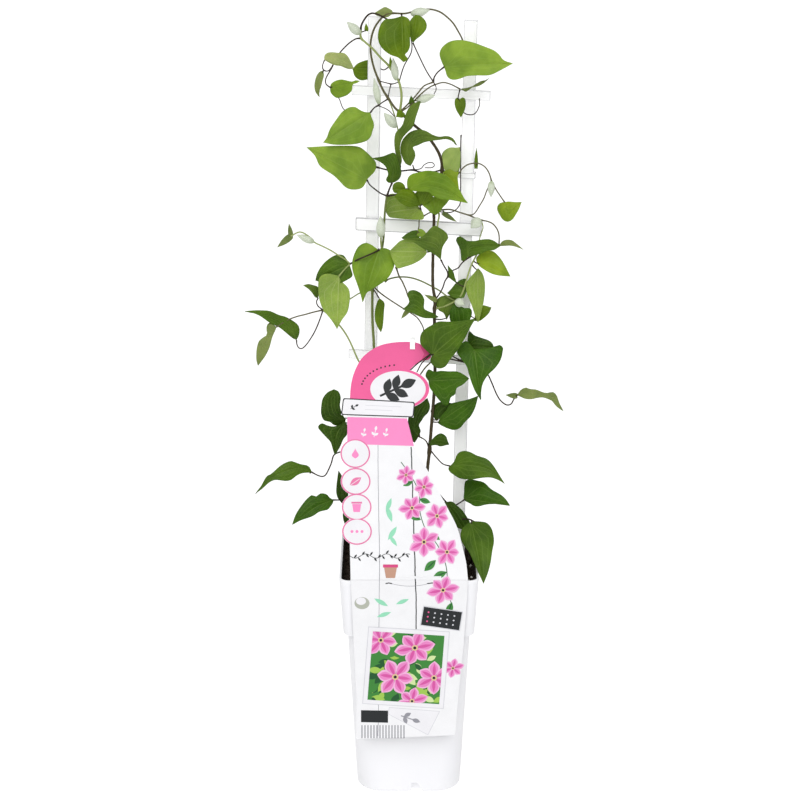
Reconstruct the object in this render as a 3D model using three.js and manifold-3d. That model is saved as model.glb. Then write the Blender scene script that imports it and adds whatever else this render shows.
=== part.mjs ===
// Potted climbing clematis: a tall square pot, its soil, a ladder trellis, a plant label and two vines.
// Millimetres, +Z up, the origin at the middle of the pot's foot, the front of the pot towards -Y.
import * as THREE from 'three';
import { mergeVertices } from 'three/addons/utils/BufferGeometryUtils.js';
import Module from 'manifold-3d';

const wasm = await Module();
wasm.setup();

// Driving dimensions
const GAP = 0.35; // clearance between pieces that touch

const POT_HEIGHT = 241;
const RIM_WIDTH = 139.4;
const COLLAR_FOOT_WIDTH = 132;
const COLLAR_HEIGHT = 61;
const BODY_TOP_WIDTH = 123.4;
const FOOT_WIDTH = 106;
const WALL = 2;
const FLOOR = 2.4;
const SOIL_TOP = 230;

const RAIL_SPACING = 93.5;
const RAIL_WIDTH = 12.7;
const RAIL_DEPTH = 6;
const RAIL_TOP = 786;
const RAIL_FOOT = 130;
const BAR_DEPTH = 3.7;
const BARS = [
  { name: 'crossbar_1', height: 714, length: 136, face: 9.4 },
  { name: 'crossbar_2', height: 580, length: 126, face: 13.4 },
  { name: 'crossbar_3', height: 445, length: 137, face: 9.4 },
];
const TRELLIS_Y = 31; // how far behind the pot's middle the rails stand
const TRELLIS_X = 1;
const TRELLIS_YAW = THREE.MathUtils.degToRad(8);
const TRELLIS_LEAN = THREE.MathUtils.degToRad(0.9);

const LABEL_THICKNESS = 0.7;
const LABEL_FOLD_HEIGHT = 243;
const LABEL_LEAN = THREE.MathUtils.degToRad(21.3);
const LABEL_Y = -RIM_WIDTH / 2 - GAP - LABEL_THICKNESS / 2;

const BLADE = 0.8; // thickness of a leaf

// The viewpoint that the outlines were read from: a point at (px, py) in its 800 x 800 frame, and the
// distance y of that point behind the pot's middle, give a place in the model.
const VIEW = { x: -9, y: -2380, z: 1181, tilt: THREE.MathUtils.degToRad(18), scale: 2500, middle: 400 };

function sightLine(px, py) {
  const up = (VIEW.middle - py) / VIEW.scale;
  return new THREE.Vector3(
    (px - VIEW.middle) / VIEW.scale,
    Math.cos(VIEW.tilt) + Math.sin(VIEW.tilt) * up,
    -Math.sin(VIEW.tilt) + Math.cos(VIEW.tilt) * up,
  );
}

function seen(px, py, y) {
  const line = sightLine(px, py);
  const reach = (y - VIEW.y) / line.y;
  return new THREE.Vector3(VIEW.x, VIEW.y, VIEW.z).addScaledVector(line, reach);
}

// The same random numbers every time
function randomSource(seed) {
  let state = seed;
  return () => {
    state = (state * 16807) % 2147483647;
    return state / 2147483647;
  };
}

// Solids for joining and cutting
function solid(geometry) {
  const bare = geometry.index ? geometry.toNonIndexed() : geometry.clone();
  bare.deleteAttribute('normal');
  bare.deleteAttribute('uv');
  const merged = mergeVertices(bare, 1e-4);
  const corners = merged.index.array;
  const kept = [];
  for (let i = 0; i < corners.length; i += 3) {
    const [a, b, c] = [corners[i], corners[i + 1], corners[i + 2]];
    if (a !== b && b !== c && c !== a) kept.push(a, b, c);
  }
  const mesh = new wasm.Mesh({
    numProp: 3,
    vertProperties: new Float32Array(merged.attributes.position.array),
    triVerts: new Uint32Array(kept),
  });
  return new wasm.Manifold(mesh);
}

function joined(solids) {
  let layer = solids;
  while (layer.length > 1) {
    const next = [];
    for (let i = 0; i < layer.length; i += 2) {
      next.push(i + 1 < layer.length ? layer[i].add(layer[i + 1]) : layer[i]);
    }
    layer = next;
  }
  return layer[0];
}

function largestPiece(body) {
  return body.decompose().reduce((best, piece) => (piece.volume() > best.volume() ? piece : best));
}

function geometryOf(body) {
  const { vertProperties, triVerts } = body.getMesh();
  const geometry = new THREE.BufferGeometry();
  geometry.setAttribute('position', new THREE.BufferAttribute(new Float32Array(vertProperties), 3));
  geometry.setIndex(new THREE.BufferAttribute(new Uint32Array(triVerts), 1));
  geometry.computeVertexNormals();
  return geometry;
}

function meshGeometry(points, faces) {
  const geometry = new THREE.BufferGeometry();
  const numbers = points.flatMap((p) => [p.x, p.y, p.z]);
  geometry.setAttribute('position', new THREE.Float32BufferAttribute(numbers, 3));
  geometry.setIndex(faces.flat());
  return geometry;
}

function piece(name, geometry, colour, roughness, metalness = 0) {
  const material = new THREE.MeshStandardMaterial({ color: colour, roughness, metalness });
  const mesh = new THREE.Mesh(geometry, material);
  mesh.name = name;
  return mesh;
}

// A closed skin through rings of equal size, with the first and the last ring filled
function loft(rings) {
  const size = rings[0].length;
  const points = rings.flat();
  const faces = [];
  for (let r = 0; r + 1 < rings.length; r += 1) {
    for (let i = 0; i < size; i += 1) {
      const j = (i + 1) % size;
      const [a, b] = [r * size + i, r * size + j];
      faces.push([a, b, b + size], [a, b + size, a + size]);
    }
  }
  for (const [start, turned] of [[0, true], [(rings.length - 1) * size, false]]) {
    for (let i = 1; i + 1 < size; i += 1) {
      faces.push(turned ? [start, start + i + 1, start + i] : [start, start + i, start + i + 1]);
    }
  }
  return meshGeometry(points, faces);
}

// The pot: square with round corners, thin walled, with a stepped collar
const CORNER_STEPS = 4;
const SIDE_STEPS = 2;

function roundedSquare(width, radius, z) {
  const ring = [];
  const reach = width / 2 - radius;
  for (let corner = 0; corner < 4; corner += 1) {
    const turn = (corner * Math.PI) / 2;
    const [sx, sy] = [[1, 1], [-1, 1], [-1, -1], [1, -1]][corner];
    for (let i = 0; i <= CORNER_STEPS; i += 1) {
      const angle = turn + (i / CORNER_STEPS) * (Math.PI / 2);
      const [x, y] = [sx * reach + radius * Math.cos(angle), sy * reach + radius * Math.sin(angle)];
      ring.push(new THREE.Vector3(x, y, z));
    }
    for (let i = 1; i < SIDE_STEPS; i += 1) {
      const [nx, ny] = [[-1, 1], [-1, -1], [1, -1], [1, 1]][corner];
      const from = ring.at(-1).clone();
      const to = corner % 2 === 0
        ? new THREE.Vector3(nx * reach, from.y, z)
        : new THREE.Vector3(from.x, ny * reach, z);
      ring.push(from.lerp(to, i / SIDE_STEPS));
    }
  }
  return ring;
}

const COLLAR_FOOT = POT_HEIGHT - COLLAR_HEIGHT;
const bodyWidth = (z) => THREE.MathUtils.lerp(FOOT_WIDTH, BODY_TOP_WIDTH, z / COLLAR_FOOT);
const bodyCorner = (z) => THREE.MathUtils.lerp(27, 13, z / COLLAR_FOOT);
const collarWidth = (z) => (
  THREE.MathUtils.lerp(COLLAR_FOOT_WIDTH, RIM_WIDTH, (z - COLLAR_FOOT) / COLLAR_HEIGHT)
);
const collarCorner = (z) => THREE.MathUtils.lerp(12, 9, (z - COLLAR_FOOT) / COLLAR_HEIGHT);

// The inside of the pot, drawn in by `inset` all round, from the height `low` to the height `high`
function insideRings(inset, low, high) {
  const ring = (z, width, corner) => roundedSquare(width - 2 * inset, Math.max(corner - inset, 2), z);
  const shelf = COLLAR_FOOT + 1;
  return [
    ring(low, bodyWidth(low) - 5, bodyCorner(low) - 2),
    ring(low + 2.5, bodyWidth(low + 2.5), bodyCorner(low + 2.5)),
    ring(COLLAR_FOOT / 2, bodyWidth(COLLAR_FOOT / 2), bodyCorner(COLLAR_FOOT / 2)),
    ring(shelf - 2, bodyWidth(shelf - 2), bodyCorner(shelf - 2)),
    ring(shelf + 4, collarWidth(shelf + 4), collarCorner(shelf + 4)),
    ring(high, collarWidth(high), collarCorner(high)),
  ];
}

const NOTCH_HEIGHT = 10.5;
const NOTCH_DEPTH = 9;
const HOUSING_WALL = 1.6;

// A drainage recess in the foot of one wall: its left side upright, its right side slanted
function notchSolid(grown) {
  const outline = new THREE.Shape();
  outline.moveTo(1.8 - grown, -6);
  outline.lineTo(15.5 + grown, -6);
  outline.lineTo(14.6 + grown, 0);
  outline.lineTo(8.6 + grown, NOTCH_HEIGHT + grown);
  outline.lineTo(2.8 - grown, NOTCH_HEIGHT + grown);
  outline.closePath();
  const depth = NOTCH_DEPTH + (grown > 0 ? grown : 8);
  const block = new THREE.ExtrudeGeometry(outline, { depth, bevelEnabled: false });
  block.rotateX(Math.PI / 2);
  block.translate(0, -FOOT_WIDTH / 2 + NOTCH_DEPTH + grown, 0);
  return solid(block);
}

function potBody() {
  const outside = [
    roundedSquare(FOOT_WIDTH - 4, 25, 0),
    roundedSquare(FOOT_WIDTH, 27, 1.6),
    roundedSquare(bodyWidth(COLLAR_FOOT / 2), bodyCorner(COLLAR_FOOT / 2), COLLAR_FOOT / 2),
    roundedSquare(bodyWidth(COLLAR_FOOT - 2), bodyCorner(COLLAR_FOOT - 2), COLLAR_FOOT - 2),
    roundedSquare(COLLAR_FOOT_WIDTH - 1.5, 11.5, COLLAR_FOOT - 1.5),
    roundedSquare(COLLAR_FOOT_WIDTH, 12, COLLAR_FOOT),
    roundedSquare(collarWidth(POT_HEIGHT - 3.4), 9, POT_HEIGHT - 3.4),
    roundedSquare(RIM_WIDTH, 9.4, POT_HEIGHT - 2.8),
    roundedSquare(RIM_WIDTH, 9.4, POT_HEIGHT - 0.6),
    roundedSquare(RIM_WIDTH - 1, 9, POT_HEIGHT),
  ];
  const inside = insideRings(WALL, FLOOR, POT_HEIGHT).reverse();
  let body = solid(loft([...outside, ...inside]));
  const core = solid(loft([...outside.slice(0, 4), roundedSquare(100, 12, COLLAR_FOOT)]));
  for (let side = 0; side < 4; side += 1) {
    const turn = [0, 0, side * 90];
    body = body.add(notchSolid(HOUSING_WALL).intersect(core).rotate(turn));
    body = body.subtract(notchSolid(0).rotate(turn));
  }
  const hole = new THREE.CylinderGeometry(4, 4, 8, 10).rotateX(Math.PI / 2);
  for (const [x, y] of [[28, 28], [-28, 28], [-28, -28], [28, -28]]) {
    body = body.subtract(solid(hole.clone().translate(x, y, 0)));
  }
  return body;
}

// The trellis: two channelled rails and three crossbars that lie over their fronts
function roundedBox(width, height, depth, radius) {
  const shape = new THREE.Shape();
  const [x, y] = [width / 2 - radius, height / 2 - radius];
  shape.absarc(x, y, radius, 0, Math.PI / 2);
  shape.absarc(-x, y, radius, Math.PI / 2, Math.PI);
  shape.absarc(-x, -y, radius, Math.PI, Math.PI * 1.5);
  shape.absarc(x, -y, radius, Math.PI * 1.5, Math.PI * 2);
  return new THREE.ExtrudeGeometry(shape, { depth, bevelEnabled: false, curveSegments: 2 });
}

function railBody(collarHeight) {
  const [w, d] = [RAIL_WIDTH / 2, RAIL_DEPTH / 2];
  const channel = { half: 3.4, depth: 1.1 };
  const section = new THREE.Shape([
    [-w, -d + 0.6], [-w + 0.6, -d], [-channel.half - 0.5, -d], [-channel.half, -d + channel.depth],
    [channel.half, -d + channel.depth], [channel.half + 0.5, -d], [w - 0.6, -d], [w, -d + 0.6],
    [w, d - 0.6], [w - 0.6, d], [-w + 0.6, d], [-w, d - 0.6],
  ].map(([x, y]) => new THREE.Vector2(x, y)));
  const rail = new THREE.ExtrudeGeometry(section, { depth: RAIL_TOP - RAIL_FOOT, bevelEnabled: false });
  rail.translate(0, 0, RAIL_FOOT);
  if (!collarHeight) return solid(rail);
  const collar = roundedBox(RAIL_WIDTH + 4, RAIL_DEPTH + 3, 5.6, 1.5).translate(0, 0, collarHeight);
  return solid(rail).add(solid(collar));
}

function crossbarGeometry(length, face) {
  const bar = roundedBox(length, face, BAR_DEPTH, 1.6);
  return geometryOf(solid(bar.rotateX(Math.PI / 2).translate(0, -RAIL_DEPTH / 2 - GAP, 0)));
}

const RAIL_COLLAR_HEIGHT = 633.5; // a small band moulded round the right rail
const rails = [
  { name: 'rail_left', x: -RAIL_SPACING / 2, body: railBody(0) },
  { name: 'rail_right', x: RAIL_SPACING / 2, body: railBody(RAIL_COLLAR_HEIGHT) },
];

const trellis = new THREE.Group();
trellis.position.set(TRELLIS_X, TRELLIS_Y, 0);
trellis.rotation.z = -TRELLIS_YAW;
const leaning = new THREE.Group();
leaning.rotation.y = TRELLIS_LEAN;
trellis.add(leaning);
for (const { name, x, body } of rails) {
  const rail = piece(name, geometryOf(body), 0xf4f4f6, 0.4);
  rail.position.x = x;
  leaning.add(rail);
}
for (const { name, height, length, face } of BARS) {
  const bar = piece(name, crossbarGeometry(length, face), 0xf4f4f6, 0.4);
  bar.position.z = height;
  leaning.add(bar);
}
trellis.updateMatrixWorld(true);

// The label: a stiff card that leans back above its fold and hangs in front of the collar below it
const LABEL_SLOPE = Math.tan(LABEL_LEAN);

// Where a sight line meets the card, as (x, height along the card above the fold)
function onCard(px, py, slope) {
  const line = sightLine(px, py);
  const reach = (LABEL_Y + slope * (VIEW.z - LABEL_FOLD_HEIGHT) - VIEW.y) / (line.y - slope * line.z);
  const x = VIEW.x + line.x * reach;
  const z = VIEW.z + line.z * reach;
  return new THREE.Vector2(x, (z - LABEL_FOLD_HEIGHT) * Math.hypot(1, slope));
}

const LABEL_HEAD = [
  [350, 400], [350, 397], [351, 385], [353, 376], [357, 366], [362, 358], [370, 351], [380, 345.5],
  [390, 343], [400, 342], [410, 342], [419, 343.5], [425, 349], [430, 354], [431, 357], [428, 360],
  [421, 361], [416, 364], [410, 369.5], [404, 400],
];
const LABEL_OVAL = { px: 398, py: 389, rx: 31.5, ry: 20.5 };
const LABEL_BANNER = [[343, 398], [415, 402], [413.5, 417.5], [341, 415]];
const LABEL_UPPER = [
  [347, 410], [407, 410], [407, 418.5], [414, 446], [424, 464], [432, 478], [438, 490], [447, 507],
  [457, 527], [462, 545], [466, 562], [468, 579.9], [350.6, 579.9],
];
const LABEL_DISCS = [[355, 453], [355.5, 480], [356.5, 507], [357, 531.5]];
const LABEL_DISC_RADIUS = 15;
const LABEL_LOWER = [
  [350.6, 579], [468, 579], [467, 600], [463, 650], [458, 700], [455, 735], [356, 739], [356.7, 698],
];
const LABEL_TONGUE = { left: -12, right: 32, drop: 9, rise: 5 };

function cardSheet(outline) {
  const shape = new THREE.Shape(outline);
  const sheet = new THREE.ExtrudeGeometry(shape, { depth: LABEL_THICKNESS, bevelEnabled: false });
  return solid(sheet.translate(0, 0, -LABEL_THICKNESS / 2).rotateX(Math.PI / 2));
}

function ovalOutline(centre, rx, ry, steps) {
  const turn = (i) => (i / steps) * Math.PI * 2;
  return Array.from({ length: steps }, (_, i) => (
    new THREE.Vector2(centre.x + rx * Math.cos(turn(i)), centre.y + ry * Math.sin(turn(i)))
  ));
}

function labelBody() {
  const flat = (outline) => cardSheet(outline.map(([px, py]) => onCard(px, py, LABEL_SLOPE)));
  const discs = LABEL_DISCS.map(([px, py]) => (
    cardSheet(ovalOutline(onCard(px, py, LABEL_SLOPE), LABEL_DISC_RADIUS, LABEL_DISC_RADIUS, 16))
  ));
  const middle = onCard(LABEL_OVAL.px, LABEL_OVAL.py, LABEL_SLOPE);
  const side = onCard(LABEL_OVAL.px + LABEL_OVAL.rx, LABEL_OVAL.py, LABEL_SLOPE);
  const top = onCard(LABEL_OVAL.px, LABEL_OVAL.py - LABEL_OVAL.ry, LABEL_SLOPE);
  const oval = cardSheet(ovalOutline(middle, side.x - middle.x, top.y - middle.y, 22));
  const upper = joined([flat(LABEL_HEAD), oval, flat(LABEL_BANNER), flat(LABEL_UPPER), ...discs]);
  const lean = -THREE.MathUtils.radToDeg(LABEL_LEAN);
  const lower = cardSheet(LABEL_LOWER.map(([px, py]) => onCard(px, py, 0)));
  const fold = [0, LABEL_Y, LABEL_FOLD_HEIGHT];
  return joined([upper.rotate([lean, 0, 0]).translate(fold), lower.translate(fold), tongueBody()]);
}

// A tongue behind the card that hooks over the rim, seen from the side
function tongueBody() {
  const [front, back] = [LABEL_Y - 0.1, -RIM_WIDTH / 2 + WALL + 3 * GAP];
  const [half, top] = [LABEL_THICKNESS / 2, POT_HEIGHT + GAP];
  const { left, right, drop, rise } = LABEL_TONGUE;
  const side = new THREE.Shape([
    [front, top], [back + half, top], [back, POT_HEIGHT - drop], [back + LABEL_THICKNESS, POT_HEIGHT - drop],
    [back + LABEL_THICKNESS + half, top + 1.2], [back - 0.6, top + 2.2], [front + 1.2, top + rise],
    [front, top + rise - 1],
  ].map(([y, z]) => new THREE.Vector2(y, z)));
  const tongue = new THREE.ExtrudeGeometry(side, { depth: right - left, bevelEnabled: false });
  return solid(placedFromSide(tongue, left));
}

// Turns an outline drawn as (y, z) and extruded sideways into its place, starting at x
function placedFromSide(geometry, x) {
  const frame = new THREE.Matrix4().makeBasis(
    new THREE.Vector3(0, 1, 0), new THREE.Vector3(0, 0, 1), new THREE.Vector3(1, 0, 0),
  );
  return geometry.applyMatrix4(frame).translate(x, 0, 0);
}

// A white strap that holds the top of the card to the third crossbar
const HOOK_WIDTH = 5;
const HOOK_THICKNESS = 1.4;

function hookBody() {
  const [top, foot] = [seen(412.5, 340.5, 15), seen(412.5, 350, 10)];
  const barTop = BARS[2].height + BARS[2].face / 2 + GAP;
  const barFront = TRELLIS_Y - RAIL_DEPTH / 2 - GAP - BAR_DEPTH - top.x * Math.sin(TRELLIS_YAW);
  const half = 0.5 * LABEL_THICKNESS / Math.cos(LABEL_LEAN);
  const cardFront = (z) => LABEL_Y + (z - LABEL_FOLD_HEIGHT) * LABEL_SLOPE - half;
  const inner = [
    [cardFront(foot.z) - GAP, foot.z], [cardFront(top.z) - GAP, top.z - 0.5],
    [cardFront(top.z) + 2, top.z + 1],
    [barFront + BAR_DEPTH / 2, barTop + 4], [barFront + BAR_DEPTH + 1, barTop],
    [barFront + BAR_DEPTH + 1, barTop - 5],
  ].map(([y, z]) => new THREE.Vector2(y, z));
  const outer = inner.map((p, i) => {
    const [before, after] = [inner[Math.max(i - 1, 0)], inner[Math.min(i + 1, inner.length - 1)]];
    const along = new THREE.Vector2().subVectors(after, before);
    return new THREE.Vector2(-along.y, along.x).normalize().multiplyScalar(HOOK_THICKNESS).add(p);
  });
  const side = new THREE.Shape([...inner, ...outer.reverse()]);
  const strap = new THREE.ExtrudeGeometry(side, { depth: HOOK_WIDTH, bevelEnabled: false });
  return solid(placedFromSide(strap, top.x - HOOK_WIDTH / 2));
}

// The two vines. A stem is a way through points [px, py, y] with its thickness at the start and the end.
// A leaf has its base and tip as such points, its width, and how it is turned (see bladePoint). `edges`
// are the outline on both sides from the base to the tip, and `rib` is where a bent midrib runs.
const RIGHT_STEMS = [
  { name: 'main', thick: [3.6, 2.8], way: [
    [424, 604, 5], [424, 562, 5], [426, 520, 6], [427, 475, 8], [429.5, 450, 10], [431.5, 425, 10],
    [434, 394, 10], [435, 370, 9], [434.5, 335, 8], [434.5, 309, 8], [435, 300, 8], [433, 287, 8],
    [433, 254, 8], [434, 221, 8], [434, 211, 8], [438, 188, 10], [442, 170, 12], [440, 156, 13],
    [432, 142, 13], [425, 134, 13], [414, 125, 12], [400, 112, 12],
  ] },
  { name: 'arch', thick: [2.3, 1.5], way: [
    [400, 112, 12], [396, 109, 12], [388, 98, 12], [383, 90, 12], [379, 81, 13], [374, 68, 14],
    [371, 55, 15], [370.5, 45, 15], [372, 35, 15], [375, 27, 15], [379, 21, 15], [384, 16, 15],
    [390, 13.5, 15], [405, 13.5, 16], [412, 12, 16], [425, 9.5, 15], [432, 9.5, 14], [440, 12, 14],
    [447, 17, 12], [453, 23, 10], [458, 31, 8], [462.5, 40, 4], [464, 50, 2],
  ] },
  { name: 'loop', thick: [2.5, 1.6], way: [
    [400, 112, 12], [401.5, 95, 10], [399, 82, 10], [394, 73, 10], [388, 65, 10], [380, 57, 9], [372, 48, 9],
    [365, 42, 8], [361, 38, 8], [360.5, 30, 8], [361.5, 25, 8], [364, 20, 8], [368, 15, 8], [372, 13.2, 8],
    [378, 14.5, 8], [384, 17.5, 10], [390, 21, 12],
  ] },
  { name: 'top_left', thick: [1.5, 1.1], way: [
    [361, 38.5, 8], [357, 38.5, 8], [352, 41, 7], [345, 47, 6], [339, 54, 5], [334, 63, 4], [330, 71, 3],
    [327, 76, 2], [325.5, 80, 1], [326, 84, 0], [331, 88, 0],
  ] },
  { name: 'top_left_twig', thick: [1.1, 0.9], way: [
    [332, 67, 3.6], [328, 71, 3], [323.5, 70, 2], [322.5, 66, 2], [324.5, 60, 2],
  ] },
  { name: 'hanging', thick: [1.1, 1.2], way: [
    [409, 28, 8], [412, 46, 9], [411, 53, 9], [404, 66, 10], [399, 82, 10],
  ] },
  { name: 'cross_twig', thick: [1, 1], way: [[379, 81, 13], [387, 83, 9], [392, 84, 8], [399, 82, 10]] },
  { name: 'cross_drop', thick: [1, 1], way: [[391, 84, 8], [389.5, 90, 9], [388, 98, 12]] },
  { name: 'left_leaf_stalk', thick: [1.3, 1.3], way: [
    [388, 99, 12], [383, 102, 9], [378, 105.5, 4], [374, 108, -2], [370.5, 112.5, -6],
  ] },
  { name: 'left_thread', thick: [0.9, 0.9], way: [
    [331, 88, 0], [335, 94, 5], [339, 98.5, 6], [344, 109.5, 5], [356, 114, 1], [370.5, 112.5, -6],
  ] },
  { name: 'left_link', thick: [0.9, 0.9], way: [[378, 105.5, 4], [388, 110, 9], [395, 117, 12]] },
  { name: 'heart_stalk', thick: [1.2, 1.2], way: [
    [413, 43, 4], [419, 56, 4], [427, 72, 2], [433.5, 82, 2],
  ] },
  { name: 'big_leaf_stalk', thick: [1.4, 1.4], way: [
    [433.5, 82, 2], [434, 78, 1], [437, 73, 0], [444, 67, -2],
  ] },
  { name: 'upper_right', thick: [1.5, 1.4], way: [
    [400, 112, 12], [406, 106, 11], [412, 100, 9], [418, 93, 7], [424, 86, 5], [433.5, 82, 2],
  ] },
  { name: 'curl', thick: [0.9, 0.9], way: [[433.5, 82, 2], [436, 87, 2], [436, 90, 2], [434, 94, 2]] },
  { name: 'right_reach', thick: [1.5, 1.2], way: [
    [400, 112, 12], [408, 107, 10], [420, 95, 6], [430, 87, 4], [437, 84, 3], [443, 82.5, 2],
    [450, 84, 2], [460, 89, 2],
  ] },
  { name: 'right_tendril', thick: [1.1, 0.9], way: [
    [460, 89, 2], [458, 99, 5], [459, 107, 7], [465, 113.5, 8], [470, 114.8, 9], [475, 113.5, 10],
    [479.5, 105, 10], [479.3, 98.5, 10],
  ] },
  { name: 'middle_drop', thick: [1.4, 1.3], way: [
    [388, 98, 12], [392, 108, 12], [395, 117, 12], [398, 130, 12],
  ] },
  { name: 'middle_rail', thick: [1.6, 1.5], way: [
    [376, 167, 15], [388, 170, 15], [400, 171, 15], [413, 170, 14], [420, 172, 13], [432, 172, 12],
    [442, 170, 12],
  ] },
  { name: 'rail_curl', thick: [1, 0.9], way: [
    [413, 170, 14], [421, 168.5, 11], [424, 165, 11], [429, 162.5, 11], [433, 163, 10], [434.5, 165.5, 10],
    [432, 167.5, 10], [425, 167.7, 9],
  ] },
  { name: 'upright_thread', thick: [1.1, 1.1], way: [
    [461, 135, 10], [460.5, 150, 11], [460.5, 170, 11], [460.5, 190, 11], [459.5, 205, 10], [452, 212, 9],
    [434, 211, 8],
  ] },
  { name: 'right_arch', thick: [1.3, 1.3], way: [
    [442, 170, 12], [455, 176, 9], [459, 173, 8], [462, 169, 8], [467, 165, 8], [473, 163.3, 8],
    [479, 163.5, 8], [485, 167, 6], [489, 173, 4], [491.5, 181, 2],
  ] },
  { name: 'right_arch_left', thick: [1.2, 1.2], way: [
    [491.5, 181, 2], [487, 190, 3], [484, 198, 4], [480, 205, 6], [473, 214.5, 7], [466, 214.5, 6],
  ] },
  { name: 'right_arch_right', thick: [1.2, 1.2], way: [[491.5, 181, 2], [497, 191, -1], [504.5, 202, -6]] },
  { name: 'bud_bough', thick: [1.6, 1.3], way: [
    [434, 211, 8], [441, 210, 7], [450, 209.5, 6], [460, 212.5, 6], [468, 215, 6], [481, 220, 4],
    [488, 221.5, 2], [493, 224, 0], [497, 229, -2], [499, 235, -4], [499, 246, -4],
  ] },
  { name: 'bud_drop', thick: [1.2, 1.1], way: [[481, 220, 4], [483, 227, 4], [480, 237, 4], [477, 254, 2]] },
  { name: 'node_left', thick: [1.3, 1.2], way: [
    [434, 211, 8], [429, 213, 6], [423, 216.5, 5], [419.5, 219, 5], [419, 226, 4], [418, 233, 2],
  ] },
  { name: 'node_up', thick: [1.3, 1.2], way: [[423, 216.5, 5], [421, 210, 3], [420, 206, 1]] },
  { name: 'node_green', thick: [2, 1.6], way: [
    [435, 209, 8], [439, 214, 2], [438, 222, -3], [437, 230, -7],
  ] },
  { name: 'dark_leaf_stalk', thick: [1.4, 1.4], way: [
    [435, 300, 8], [440, 293, 7], [443, 287, 6], [445, 281, 4], [448, 276, 2], [447, 271, 0], [444, 266, -4],
    [441, 260, -8],
  ] },
  { name: 'right_bow', thick: [1.3, 1.3], way: [
    [448, 276, 2], [452, 271, 3], [458, 268, 4], [462, 263, 3], [470, 257, 2], [477, 254, 2],
  ] },
  { name: 'green_bough', thick: [2, 1.6], way: [
    [434.5, 309, 8], [448, 305, 7], [460, 297, 5], [466, 282, 3], [468, 275, 2], [471, 266, 2],
    [477, 254, 2],
  ] },
  { name: 'low_arch', thick: [1.3, 1.4], way: [
    [385, 282, 12], [388, 279.5, 12], [395, 277.5, 11], [399.5, 277, 10.5], [405, 277, 10], [412, 278, 9],
    [421, 281, 8], [433, 287, 7.5], [440, 291, 7], [448, 297, 6], [455, 301, 6],
  ] },
  { name: 'low_thread', thick: [1.1, 1.1], way: [
    [396, 267, 8], [399.5, 277, 10.5], [402, 281, 9], [406, 290, 6], [409, 298, 3], [418, 306, 2],
  ] },
  { name: 'over_card_1', thick: [1.3, 1.3], way: [
    [435, 345, 8], [431, 353, 2], [425, 358, 0], [417, 364, 5], [411, 369.5, 15], [405, 374, 19],
  ] },
  { name: 'over_card_2', thick: [1.2, 1.2], way: [
    [435, 347, 8], [430, 355, 2], [422, 363, 4], [417, 372, 13],
  ] },
  { name: 'behind_card', thick: [1.6, 1.5], way: [
    [435, 358, 8.5], [430, 363, 9], [425, 368, 11], [418, 378, 14],
  ] },
  { name: 'card_right', thick: [1.5, 1.4], way: [
    [435, 350, 8], [446, 352, 3], [454, 357, 0], [464, 362, -4],
  ] },
  { name: 'far_right', thick: [1.6, 1.3], way: [
    [435, 356, 8.5], [455, 360, 8], [470, 364, 8], [480, 368, 6], [488, 375, 2], [491, 381, 0],
    [497, 395, -4], [501, 401, -6], [507, 405, -8], [511, 404, -9], [514, 399, -10], [517, 395.5, -10],
  ] },
  { name: 'low_left_twig', thick: [1.2, 1.2], way: [[429.5, 452, 10], [426, 441, 9], [418, 436, 8]] },
  { name: 'low_right_1', thick: [1.3, 1.3], way: [
    [429.5, 449, 10], [436, 457, 5], [443, 464, 0], [450, 466, -4],
  ] },
  { name: 'low_right_2', thick: [1.4, 1.4], way: [
    [426, 515, 6], [438, 512, 4], [448, 508, 2], [456, 505, 0], [464, 500, -4],
  ] },
  { name: 'low_right_3', thick: [1.3, 1.3], way: [[427, 478, 8], [437, 491, 4], [446, 502, 0]] },
  { name: 'low_right_4', thick: [1.4, 1.4], way: [
    [425.5, 532, 6], [440, 527, 3], [455, 521, 0], [468, 519, -5], [475, 522, -8],
  ] },
];

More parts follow.
